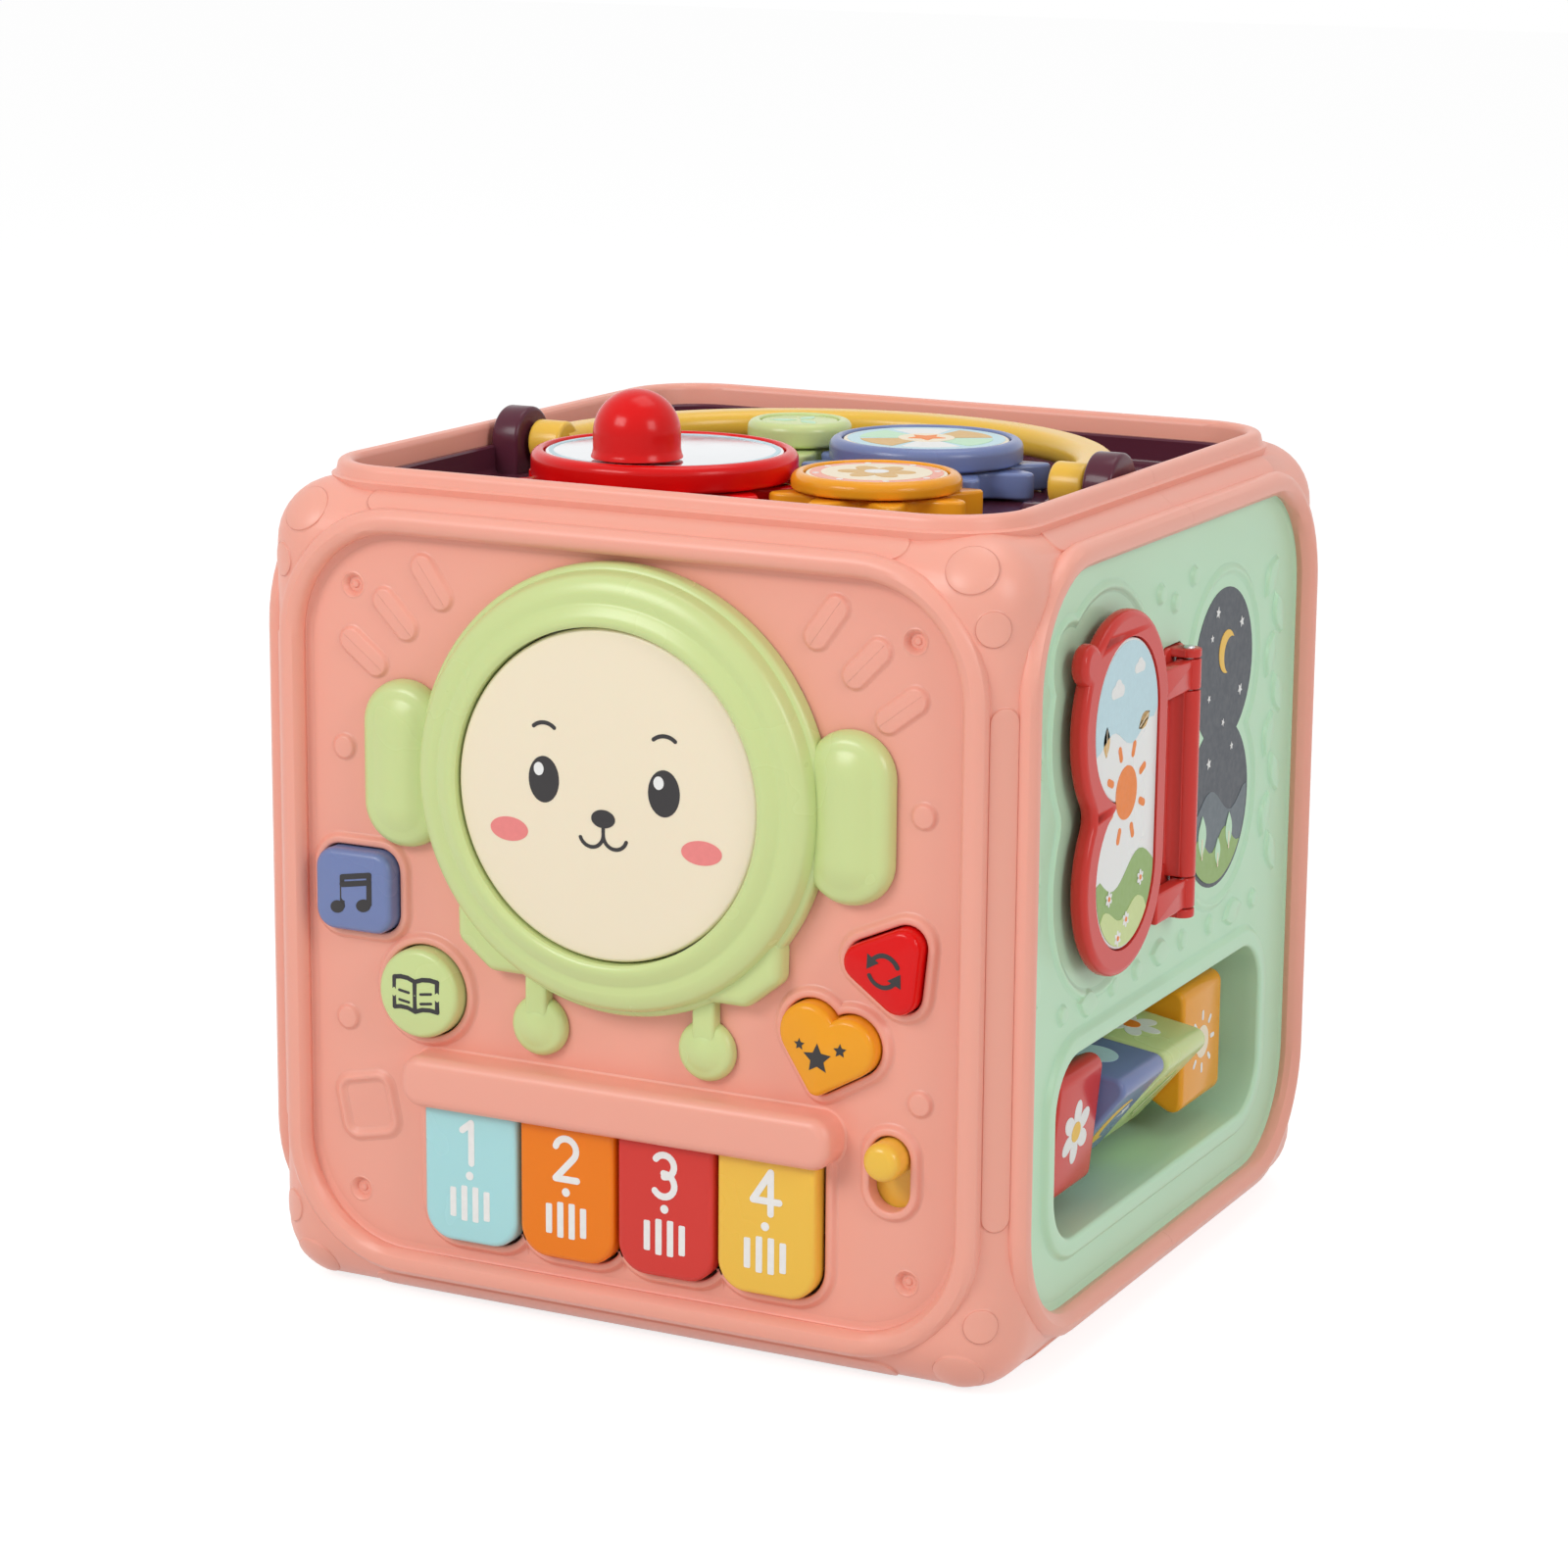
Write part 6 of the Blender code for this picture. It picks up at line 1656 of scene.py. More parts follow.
def book_sign(height, turn):
    """An open book."""
    width = SIGN_LINE_WIDTH
    shapes = []
    for way in (-1, 1):
        top = [(way * u, v) for u, v in BOOK_EDGE]
        low = [(u, v - BOOK_SIGN_HEIGHT) for u, v in top]
        shapes.append(ribbon(turned_path(top, turn), width, lifted(height, 1 + way)))
        shapes.append(ribbon(turned_path(low, turn), width, lifted(height, 1 + way)))
        shapes.append(ribbon(turned_path([top[-1], low[-1]], turn), width, lifted(height, 4)))
        for k in (1, 2):
            line = [(way * u, v - k * BOOK_LINE_PITCH) for u, v in BOOK_LINE]
            shapes.append(ribbon(turned_path(line, turn), width * BOOK_LINE_SHARE, height))
    shapes.append(ribbon(turned_path(BOOK_FOLD, turn), width, lifted(height, 5)))
    return shapes


SWAP_RADIUS = 0.0031
SWAP_START = 20
SWAP_END = 150
SWAP_TIP = ((0.0016, 0), (-0.0009, 0.0015), (-0.0009, -0.0015))


def swap_sign(height, turn):
    """Two arrows that chase each other."""
    shapes = []
    for half in (0, 180):
        bow = arc((0, 0), SWAP_RADIUS, SWAP_START + half, SWAP_END + half, 14)
        shapes.append(ribbon(turned_path(bow, turn), SIGN_LINE_WIDTH, height))
        tip = moved(SWAP_TIP, bow[-1], SWAP_END + half + 90)
        shapes.append(patch(turned_path(tip, turn), lifted(height, 2), 2))
    return shapes


SIGN_STARS = ((0.0031, (-0.0006, -0.0006)), (0.0014, (0.0042, 0.0016)), (0.0012, (-0.0045, 0.0018)))
SIGN_STAR_NOTCH = 0.48


def star_sign(height, turn):
    """One large and two small stars."""
    shapes = []
    for reach, at in SIGN_STARS:
        outline = moved(star(reach, reach * SIGN_STAR_NOTCH), at)
        shapes.append(patch(turned_path(outline, turn), height, 3))
    return shapes


BUTTON_SIGNS = {
    "square_button": music_sign,
    "round_button": book_sign,
    "triangle_button": swap_sign,
    "heart_button": star_sign,
}


SWITCH_KNOB_EDGE = 0.0022
SWITCH_KNOB_CROWN = 0.0003


def make_switch():
    at = (SWITCH_U, SWITCH_V + SWITCH_TRAVEL / 2, 0)
    top = PANEL_BACK - SEAT_GAP
    half = SWITCH_KNOB_RADIUS + SWITCH_TRAVEL + SWITCH_PLATE_OVERLAP
    base = swept(
        rounded_rect(SWITCH_PLATE_WIDTH, 2 * half, SWITCH_PLATE_OVERLAP, 4),
        [(0, top - SWITCH_PLATE_WALL), (0, top)]
    )
    profile = [(SWITCH_KNOB_RADIUS, top - SEAT_GAP)]
    rounded = edge_steps(SWITCH_KNOB_EDGE, SWITCH_KNOB_RISE - SWITCH_KNOB_CROWN, 8)
    profile += about(SWITCH_KNOB_RADIUS, rounded)
    profile.append((0, SWITCH_KNOB_RISE))
    shape = joined(base, turned([(0, top - SEAT_GAP)] + profile, 48))
    piece("mode_switch_knob", shape, "yellow", "mode_switch", ("mode_switch",), placed("front", at))


# Shapes shared by several sides


def inset(outline, offset):
    """An outline moved outward, or inward if the offset is negative."""
    outline = without_doubles(outline)
    return [(p[0] + w.x * offset, p[1] + w.y * offset) for p, w in zip(outline, miters(outline))]


def dome(outline, top, edge, crown):
    """The height of a domed top, as a function of place; outline is the piece's own."""
    ring = inset(outline, -edge)

    def height(u, v):
        share = 0.0
        for (a, b), (c, d) in zip(ring, ring[1:] + ring[:1]):
            whole = a * d - b * c
            if abs(whole) < 1e-12:
                continue
            along = (u * d - v * c) / whole
            across = (a * v - b * u) / whole
            if along >= -1e-9 and across >= -1e-9:
                share = max(share, along + across)
        return top - crown * min(1.0, share) ** 2

    return height


def domed(outline, low, top, edge, crown):
    """A block with a rounded upper edge and a gently domed top; the middle is the outline's origin."""
    outline = without_doubles(outline)
    verts, faces = swept(outline, [(0, low)] + edge_steps(edge, top - crown, 6))
    faces.pop()
    count = len(outline)
    start = len(verts) - count
    row = list(range(start, start + count))
    for step in range(1, DOME_RINGS + 1):
        share = 1 - step / DOME_RINGS
        height = top - crown * share**2
        if step == DOME_RINGS:
            middle = len(verts)
            verts.append((0, 0, height))
            faces += [(row[i], row[(i + 1) % count], middle) for i in range(count)]
            break
        above = list(range(len(verts), len(verts) + count))
        verts += [(verts[start + i][0] * share, verts[start + i][1] * share, height) for i in range(count)]
        for i in range(count):
            k = (i + 1) % count
            faces.append((row[i], row[k], above[k], above[i]))
        row = above
    return verts, faces


def decal(loops, height, layer=0):
    """Flat print on a flat surface; a higher layer lies over a lower one."""
    lift = height + layer * INK_WALL
    return plate(loops, lift - INK_SINK, lift + INK_WALL)


def star(reach, inner, points=5, turn=90.0, corner=0.0):
    """A star; a corner radius makes its points and notches round."""
    outline = []
    for i in range(2 * points):
        angle = radians(turn + 180 * i / points)
        radius = reach if i % 2 == 0 else inner
        outline.append((radius * cos(angle), radius * sin(angle)))
    return filleted(outline, corner, 4) if corner else outline


def lens(length, width):
    """A leaf: two arcs that meet in points, along v."""
    right = []
    for i in range(LENS_STEPS + 1):
        share = i / LENS_STEPS
        right.append((width / 2 * sin(pi * share), length * (share - 0.5)))
    return right + [(-u, v) for u, v in reversed(right[1:-1])]


def moon(radius):
    outer = arc((0, 0), radius, 60, 300, MOON_STEPS)
    start = outer[-1]
    centre = (radius * 0.55, 0)
    reach = hypot(start[0] - centre[0], start[1] - centre[1])
    turn = degrees(atan2(start[1] - centre[1], start[0] - centre[0])) % 360
    return outer + arc(centre, reach, turn, 360 - turn, MOON_STEPS)[1:-1]


def cloud(size):
    """A flat-bottomed cloud of three bumps."""
    points = arc((size * 0.5, 0), size * 0.28, -90, 80, 10)
    points += arc((size * 0.05, size * 0.16), size * 0.42, 30, 150, 14)
    points += arc((-size * 0.5, 0), size * 0.28, 100, 270, 10)
    return points


def drop_motif(size):
    """A round body with a pointed top."""
    body = arc((0, -size * 0.14), size * 0.34, 150, 390, 22)
    return body + [(0, size * 0.52)]


def motif(kind, size, height, inks):
    """A simple sign as a list of (paint, shape); inks are its main and second colour.

    The lengths are shares of its size.
    """
    first, second = inks
    if kind == "flower":
        found = []
        for i in range(6):
            petal = moved(ellipse(size * 0.13, size * 0.19, (0, size * 0.29), 20), (0, 0), 60 * i)
            found.append((first, decal([petal], height)))
        return found + [(second, decal([circle(size * 0.15, 24)], height, 1))]
    if kind == "star":
        return [(first, decal([star(size * 0.5, size * 0.24, 5, 90, size * 0.02)], height))]
    if kind == "sun":
        rays = []
        for i in range(8):
            ray = moved(stadium(size * 0.07, size * 0.16, 4), (0, size * 0.41), 0)
            rays.append((first, decal([moved(ray, (0, 0), 45 * i)], height)))
        return rays + [(second, decal([circle(size * 0.25, 32)], height))]
    if kind == "leaf":
        blade = moved(lens(size, size * 0.5), (0, 0), -30)
        rib = moved(rounded_rect(size * 0.03, size * 0.8, size * 0.01, 2), (0, 0), -30)
        return [(first, decal([blade], height)), (second, decal([rib], height, 1))]
    if kind == "moon":
        small = moved(star(size * 0.14, size * 0.06), (size * 0.3, size * 0.12))
        return [(first, decal([moon(size * 0.45)], height)), (second, decal([small], height))]
    if kind == "cloud":
        found = [(first, decal([moved(cloud(size * 0.6), (0, size * 0.1))], height))]
        for i in (-1, 0, 1):
            fall = moved(drop_motif(size * 0.2), (i * size * 0.22, -size * 0.27))
            found.append((second, decal([fall], height)))
        return found
    if kind == "drop":
        shine = moved(ellipse(size * 0.05, size * 0.09), (-size * 0.14, -size * 0.12), 15)
        return [(first, decal([drop_motif(size)], height)), (second, decal([shine], height, 1))]
    if kind == "ball":
        band = rounded_rect(size * 0.84, size * 0.14, size * 0.02, 2)
        return [(first, decal([circle(size * 0.45, 36)], height)), (second, decal([band], height, 1))]
    return [(first, decal([heart(size * 0.9, size * 0.8)], height))]


def print_all(prefix, found, body, matrix):
    """Joins print of one paint into one piece each."""
    paints = []
    for paint, _ in found:
        if paint not in paints:
            paints.append(paint)
    for paint in paints:
        shapes = [shape for name, shape in found if name == paint]
        printed(prefix + "_" + paint, shapes, paint, body, matrix)


def shifted(found, matrix):
    return [(paint, transformed(shape, matrix)) for paint, shape in found]


def place_2d(at, turn=0.0):
    return Matrix.Translation((at[0], at[1], 0)) @ Matrix.Rotation(radians(turn), 4, "Z")


POCKET_FILLET = 0.003
POCKET_RIM_EDGE = 0.0009


def pocket_cup(width, height, corner, v, depth, rim):
    """A closed pocket behind a window, with a soft floor edge, and the window's border."""
    floor = PANEL_FACE - depth
    outline = rounded_rect(width, height, corner, 12, (0, v))
    wall = POCKET_WALL
    profile = [(wall, floor - wall), (wall, PANEL_BACK), (0, PANEL_BACK)]
    cup = swept(outline, profile + floor_edge(POCKET_FILLET, floor, 6))
    border = rim_mesh(outline, rim, RIM_RISE, PANEL_FACE, PANEL_BACK, POCKET_RIM_EDGE)
    return joined(cup, border), outline


def crossings(centre, radius, other, other_radius):
    """The angles, in degrees about centre, at which a second circle crosses the first."""
    du = other[0] - centre[0]
    dv = other[1] - centre[1]
    apart = hypot(du, dv)
    spread_angle = acos((radius**2 + apart**2 - other_radius**2) / (2 * radius * apart))
    middle = atan2(dv, du)
    return degrees(middle - spread_angle) % 360, degrees(middle + spread_angle) % 360


def leaf_outline(grow=0.0):
    """The leaf's outline about the hinge axis: a round head with one ear, over a round body."""
    head_radius = LEAF_HEAD_RADIUS + grow
    body_radius = LEAF_BODY_RADIUS + grow
    ear_radius = LEAF_EAR_RADIUS + grow
    angle = radians(LEAF_EAR_DEGREES)
    ear = (LEAF_HEAD[0] + LEAF_EAR_REACH * cos(angle), LEAF_HEAD[1] + LEAF_EAR_REACH * sin(angle))
    waist = crossings(LEAF_HEAD, head_radius, LEAF_BODY, body_radius)[0]
    if grow < 0:
        points = arc(LEAF_HEAD, head_radius, 0, waist, 44)
    else:
        ear_start, ear_end = crossings(LEAF_HEAD, head_radius, ear, ear_radius)
        back, start = crossings(ear, ear_radius, LEAF_HEAD, head_radius)
        points = arc(LEAF_HEAD, head_radius, 0, ear_start, 26)
        points += arc(ear, ear_radius, start, start + (back - start) % 360, 16)[1:]
        points += arc(LEAF_HEAD, head_radius, ear_end, waist, 14)[1:]
    body_start = crossings(LEAF_BODY, body_radius, LEAF_HEAD, head_radius)[1]
    points += arc(LEAF_BODY, body_radius, body_start, 360, 40)[1:]
    return eased(points, crossings_point(LEAF_BODY, body_radius, body_start), LEAF_WAIST_EASE)


def crossings_point(centre, radius, degrees):
    return (centre[0] + radius * cos(radians(degrees)), centre[1] + radius * sin(radians(degrees)))


def eased(points, corner, reach):
    """An outline whose concave corner is drawn out into a soft bend."""
    near = [i for i, p in enumerate(points) if hypot(p[0] - corner[0], p[1] - corner[1]) < reach]
    first = points[near[0] - 1]
    last = points[(near[-1] + 1) % len(points)]
    bend = []
    for i in range(1, 10):
        t = i / 10
        weights = ((1 - t) ** 2, 2 * t * (1 - t), t**2)
        bend.append(tuple(sum(w * p[k] for w, p in zip(weights, (first, corner, last))) for k in (0, 1)))
    return points[: near[0]] + bend + points[near[-1] + 1 :]


def page_outline(grow=0.0):
    """The printed page on the panel: a round head over a round body."""
    head_radius = PAGE_HEAD_RADIUS + grow
    body_radius = PAGE_BODY_RADIUS + grow
    first, second = crossings(PAGE_HEAD, head_radius, PAGE_BODY, body_radius)
    low, high = crossings(PAGE_BODY, body_radius, PAGE_HEAD, head_radius)
    points = arc(PAGE_HEAD, head_radius, second, first + (360 if first < second else 0), 44)
    return points + arc(PAGE_BODY, body_radius, high, low + 360, 44)


def cut_below(outline, level):
    """The part of an outline below a line, which is given as a function of u."""
    kept = [p for p in outline if p[1] < level(p[0])]
    below = [p[1] < level(p[0]) for p in outline]
    first = next(i for i, under in enumerate(below) if under and not below[i - 1])
    order = [outline[(first + i) % len(outline)] for i in range(len(kept))]
    start = order[-1][0]
    end = order[0][0]
    top = [(start + (end - start) * i / 16, level(start + (end - start) * i / 16)) for i in range(1, 16)]
    return order + top


# Right side


RELIEF_LEAVES = (
    (-0.0668, 0.043, 20), (-0.0672, 0.031, -20), (-0.0668, 0.019, 20), (-0.0672, 0.007, -20),
    (-0.0668, -0.005, 20), (0.0575, 0.0555, -38), (0.0622, 0.047, 22), (0.0578, 0.0385, -22),
    (0.0626, 0.0295, 22), (0.0582, 0.021, -22), (0.0624, 0.012, 22), (0.0575, 0.0035, -22),
    (0.0618, -0.0055, 22), (-0.0395, -0.0148, 78), (-0.0015, -0.0135, 82), (0.0395, -0.0142, 100),
)
RELIEF_DOTS = (
    (-0.052, -0.0142), (-0.0265, -0.0145), (-0.014, -0.0142), (0.011, -0.0138), (0.0265, -0.0142),
    (0.052, -0.0142), (0.002, 0.0585), (-0.006, 0.0615), (0.012, 0.0625), (-0.0665, 0.0545),
)
RELIEF_LEAF_LENGTH = 0.0098
RELIEF_LEAF_WIDTH = 0.0052
RELIEF_DOT_RADIUS = 0.0019
RELIEF_SOFT = 0.0009
RELIEF_LINE = 0.0017
LOW_RELIEF_SHARE = 0.8
LEAF_LINE_AWAY = 0.0042
PAGE_LINE_AWAY = 0.0038
RELIEF_LINE_EDGE = 0.0005


def right_relief():
    """Leaves, dots and two soft outlines round the book."""
    shapes = []
    rise = RELIEF_RISE
    for outline in (moved(leaf_outline(LEAF_LINE_AWAY), (BOOK_U, BOOK_V)), page_outline(PAGE_LINE_AWAY)):
        low = rise * LOW_RELIEF_SHARE
        shapes.append(groove_mesh(outline, RELIEF_LINE, low, PANEL_FACE, RELIEF_LINE_EDGE))
    for u, v, turn in RELIEF_LEAVES:
        blade = moved(lens(RELIEF_LEAF_LENGTH, RELIEF_LEAF_WIDTH), (u, v), turn)
        shapes.append(raised(blade, rise, PANEL_FACE, RELIEF_SOFT))
    for at in RELIEF_DOTS:
        shapes.append(raised(moved(circle(RELIEF_DOT_RADIUS, 28), at), rise, PANEL_FACE))
    return shapes


RECESS_WALL = 0.0005
RECESS_FLOOR_WALL = 0.0008
AXLE_BOSS = ((0, 0), (0.0042, 0), (0.0042, 0.0008), (0.0036, 0.0014), (0, 0.0014))


def make_right_panel():
    cup, window = pocket_cup(WINDOW_WIDTH, WINDOW_HEIGHT, WINDOW_CORNER, WINDOW_V, WINDOW_DEPTH, WINDOW_RIM)
    recess = rounded_rect(
        SPINE_WIDTH + 2 * SEAT_GAP, SPINE_HEIGHT + 2 * SEAT_GAP, SPINE_CORNER + SEAT_GAP, 6, (BOOK_U, BOOK_V)
    )
    floor = PANEL_FACE - SPINE_RECESS
    wall = [(RECESS_WALL, floor - RECESS_FLOOR_WALL), (RECESS_WALL, PANEL_FACE - SMALL_SINK)]
    tray = swept(recess, wall + [(0, PANEL_FACE), (0, floor)])
    bosses = []
    for way in (-1, 1):
        boss = turned(AXLE_BOSS, 32)
        turn = Matrix.Rotation(-way * pi / 2, 4, "Y")
        at = Matrix.Translation((way * WINDOW_WIDTH / 2, WINDOW_V, -AXLE_DEPTH))
        bosses.append(transformed(boss, at @ turn))
    shape = joined(panel_tray([window, recess]), cup, tray, *bosses, *right_relief())
    piece("right_panel_shell", shape, "mint", "housing", ("right_panel",), side_matrix("right"))
    make_page()


# Hills: level, height of the waves, waves in radians per metre, and their start
PAGE_NEAR_HILL = (0.0035, 0.0022, 420, 0)
PAGE_FAR_HILL = (0.0118, 0.003, 260, 1.4)
PAGE_MARGIN = 0.0009
PAGE_MOON_RADIUS = 0.0046
PAGE_MOON_PLACE = (0.0322, 0.0435)
PAGE_MOON_TURN = -25
PAGE_STARS = (
    (0.0235, 0.0475), (0.0405, 0.0485), (0.0225, 0.035), (0.0405, 0.034), (0.031, 0.0285),
    (0.0265, 0.0525), (0.0365, 0.0225), (0.0235, 0.021),
)
PAGE_STAR_SIZES = (0.0009, 0.0013)
PAGE_STAR_NOTCH = 0.45
PAGE_TREES = (((0.0205, 0.0015), 0.009), ((0.036, 0.0008), 0.0075), ((0.0298, -0.002), 0.006))
PAGE_TRUNK_WIDTH = 0.0005
PAGE_TRUNK_CORNER = 0.0001


def hill_line(level, wave, pace, start):
    return lambda u: level + wave * sin(u * pace + start)


def make_page():
    """A night scene printed on the panel: moon, stars and two hills."""
    outline = page_outline()
    height = PANEL_FACE
    found = [("night", decal([outline], height))]
    near = cut_below(page_outline(-PAGE_MARGIN), hill_line(*PAGE_NEAR_HILL))
    far = cut_below(page_outline(-PAGE_MARGIN), hill_line(*PAGE_FAR_HILL))
    found.append(("slate", decal([far], height, 1)))
    found.append(("grass", decal([near], height, 2)))
    crescent = moved(moon(PAGE_MOON_RADIUS), PAGE_MOON_PLACE, PAGE_MOON_TURN)
    found.append(("yellow_ink", decal([crescent], height, 1)))
    for i, at in enumerate(PAGE_STARS):
        size = PAGE_STAR_SIZES[i % 2]
        found.append(("white_ink", decal([moved(star(size, size * PAGE_STAR_NOTCH), at, 12 * i)], height, 1)))
    for at, tall in PAGE_TREES:
        tree = moved(lens(tall, tall * 0.5), (at[0], at[1] + tall / 2))
        found.append(("mint_ink", decal([tree], height, 3)))
        middle = (at[0], at[1] + tall * 0.2)
        trunk = rounded_rect(PAGE_TRUNK_WIDTH, tall * 0.5, PAGE_TRUNK_CORNER, 2, middle)
        found.append(("cream_ink", decal([trunk], height, 4)))
    print_all("page", found, "housing", side_matrix("right"))


UPRIGHT = Matrix.Rotation(-pi / 2, 4, "X")
KNUCKLE_EDGE = 0.0003
WEB_LIFT = 0.0004
SPINE_EDGE = 0.0005
SPINE_RIB_WIDTH = 0.0012
SPINE_RIB_SHORT = 0.006
SPINE_RIB_SINK = 0.001
SPINE_RIB_EDGE = 0.0004
SPINE_RIB_RISE = 0.0006
SPINE_RIB_U = 0.0041


def knuckle(start, end):
    """A barrel of the book's hinge."""
    profile = edge_low(start, KNUCKLE_EDGE) + edge_steps(KNUCKLE_EDGE, end, 3)
    return transformed(swept(circle(BOOK_KNUCKLE_RADIUS, 40), profile), UPRIGHT)


def make_spine():
    at = placed("right", (BOOK_U, BOOK_V, BOOK_AXIS_RISE))
    half = SPINE_HEIGHT / 2
    arm_low = half - SPINE_END_WALL - SEAT_GAP - LEAF_ARM_HEIGHT
    low = PANEL_FACE - SPINE_RECESS + SEAT_GAP - BOOK_AXIS_RISE
    base = rounded_rect(SPINE_WIDTH, SPINE_HEIGHT, SPINE_CORNER, 6)
    shapes = [swept(base, [(0, low)] + edge_steps(SPINE_EDGE, low + SPINE_WALL, 4))]
    for start, end in (
        (-arm_low + SEAT_GAP, arm_low - SEAT_GAP), (half - SPINE_END_WALL, half),
        (-half, SPINE_END_WALL - half)
    ):
        shapes.append(knuckle(start, end))
        web = rounded_rect(2 * BOOK_KNUCKLE_RADIUS, end - start, KNUCKLE_EDGE, 2, (0, (start + end) / 2))
        shapes.append(swept(web, [(0, low + WEB_LIFT), (0, 0)]))
    rib = rounded_rect(SPINE_RIB_WIDTH, 2 * arm_low - SPINE_RIB_SHORT, SPINE_RIB_WIDTH / 2, 6)
    profile = [(0, low + SPINE_RIB_SINK)] + edge_steps(SPINE_RIB_EDGE, low + SPINE_WALL + SPINE_RIB_RISE, 4)
    for way in (-1, 1):
        shapes.append(swept(moved(rib, (way * SPINE_RIB_U, 0)), profile))
    piece("book_spine_moulding", joined(*shapes), "coral", "housing", ("book_spine",), at)
    end = half + PIN_HEAD
    pin = swept(circle(BOOK_PIN_RADIUS, 32), edge_low(-end, PIN_HEAD) + edge_steps(PIN_HEAD, end, 3))
    piece("book_pin_rod", transformed(pin, UPRIGHT), "steel", "housing", ("book_pin",), at)


ARM_EDGE = 0.0006
ARM_WALL_SHARE = 0.9
INSERT_EDGE = 0.0003


def make_leaf():
    at = placed("right", (BOOK_U, BOOK_V, BOOK_AXIS_RISE))
    wall = LEAF_WALL / 2
    floor = wall - LEAF_INSERT_WALL - SEAT_GAP
    low = floor - SEAT_GAP
    outline = leaf_outline()
    window = leaf_outline(-LEAF_BORDER)
    shapes = [swept(outline, edge_low(-wall, LEAF_EDGE, 5) + [(0, low)])]
    shapes.append(plate([inset(outline, -LEAF_EDGE), window], low, wall))
    profile = [(-LEAF_EDGE, low), (0, low)] + edge_steps(LEAF_EDGE, wall, 6)
    shapes.append(swept(outline, profile, ring=True))
    half = SPINE_HEIGHT / 2
    arm_high = half - SPINE_END_WALL - SEAT_GAP
    arm_low = arm_high - LEAF_ARM_HEIGHT
    for start, end in ((arm_low, arm_high), (-arm_high, -arm_low)):
        inner_u = LEAF_BODY[0] + LEAF_BODY_RADIUS - LEAF_BORDER * LEAF_ARM_ROOT_SHARE
        middle = (inner_u / 2, (start + end) / 2)
        arm = rounded_rect(-inner_u, end - start, ARM_EDGE, 3, middle)
        thick = wall * ARM_WALL_SHARE
        shapes.append(swept(arm, edge_low(-thick, ARM_EDGE) + edge_steps(ARM_EDGE, thick, 4)))
        shapes.append(knuckle(start, end))
    piece("book_leaf_moulding", joined(*shapes), "coral", "leaf", ("book_leaf",), at)
    rim = leaf_outline(-LEAF_BORDER - SEAT_GAP)
    insert = swept(rim, [(0, floor)] + edge_steps(INSERT_EDGE, floor + LEAF_INSERT_WALL, 3))
    piece("book_insert_sheet", insert, "white", "leaf", ("book_insert",), at)
    make_leaf_print(at, floor + LEAF_INSERT_WALL)


LEAF_SKY = (-0.0165, 0.0018, 330, 0)
LEAF_FAR_HILL = (-0.0105, 0.003, 240, 2.0)
LEAF_NEAR_HILL = (-0.0185, 0.0016, 380, 0)
LEAF_SUN_SIZE = 0.0215
LEAF_SUN_ASIDE = 0.0005
LEAF_SUN_V = 0.0052
LEAF_SUN_TURN = 22.5
LEAF_CLOUDS = ((0.0042, (-0.0412, 0.0262)), (0.0034, (-0.0302, 0.0292)))
LEAF_FLOWERS = ((-0.0435, -0.0145), (-0.0345, -0.0205), (-0.0275, -0.0135), (-0.0385, -0.0235))
LEAF_FLOWER_SIZE = 0.0034
LEAF_BLADES = (((-0.0462, 0.0172), 30), ((-0.0272, 0.0182), -35))
LEAF_BLADE_SIZE = 0.0062
LEAF_PRINT_MARGIN = 0.0005


def make_leaf_print(matrix, height):
    """A day scene: sky with clouds, a sun, and a hill with flowers."""
    page = inset(leaf_outline(-LEAF_BORDER - SEAT_GAP), -LEAF_PRINT_MARGIN)
    turned_page = [(u, -v) for u, v in reversed(page)]
    sky = cut_below(turned_page, hill_line(*LEAF_SKY))
    sky = [(u, -v) for u, v in reversed(sky)]
    found = [("pale_blue", decal([sky], height))]
    hill = cut_below(page, hill_line(*LEAF_FAR_HILL))
    found.append(("grass", decal([hill], height)))
    front = cut_below(page, hill_line(*LEAF_NEAR_HILL))
    found.append(("green_ink", decal([front], height, 1)))
    sun = motif("sun", LEAF_SUN_SIZE, height, ("orange_ink", "orange_ink"))
    found += shifted(sun, place_2d((LEAF_HEAD[0] + LEAF_SUN_ASIDE, LEAF_SUN_V), LEAF_SUN_TURN))
    for size, at in LEAF_CLOUDS:
        found.append(("white_ink", decal([moved(cloud(size), at)], height, 1)))
    for at in LEAF_FLOWERS:
        flower = motif("flower", LEAF_FLOWER_SIZE, height + 2 * INK_WALL, ("white_ink", "orange_ink"))
        found += shifted(flower, place_2d(at))
    for at, turn in LEAF_BLADES:
        blade = motif("leaf", LEAF_BLADE_SIZE, height, ("ochre", "cream_ink"))
        found += shifted(blade, place_2d(at, turn))
    print_all("leaf_page", found, "leaf", matrix)


def block_u(index):
    return (index - (len(BLOCKS) - 1) / 2) * (BLOCK_LENGTH + BLOCK_END_GAP)


def face_matrix(angle):
    """A block's flat side whose outward normal stands at an angle, seen with v up at rest."""
    a = radians(angle)
    normal = Vector((cos(a), sin(a), 0))
    across = Vector((0, 0, 1))
    return Matrix((across, normal.cross(across), normal)).transposed().to_4x4()


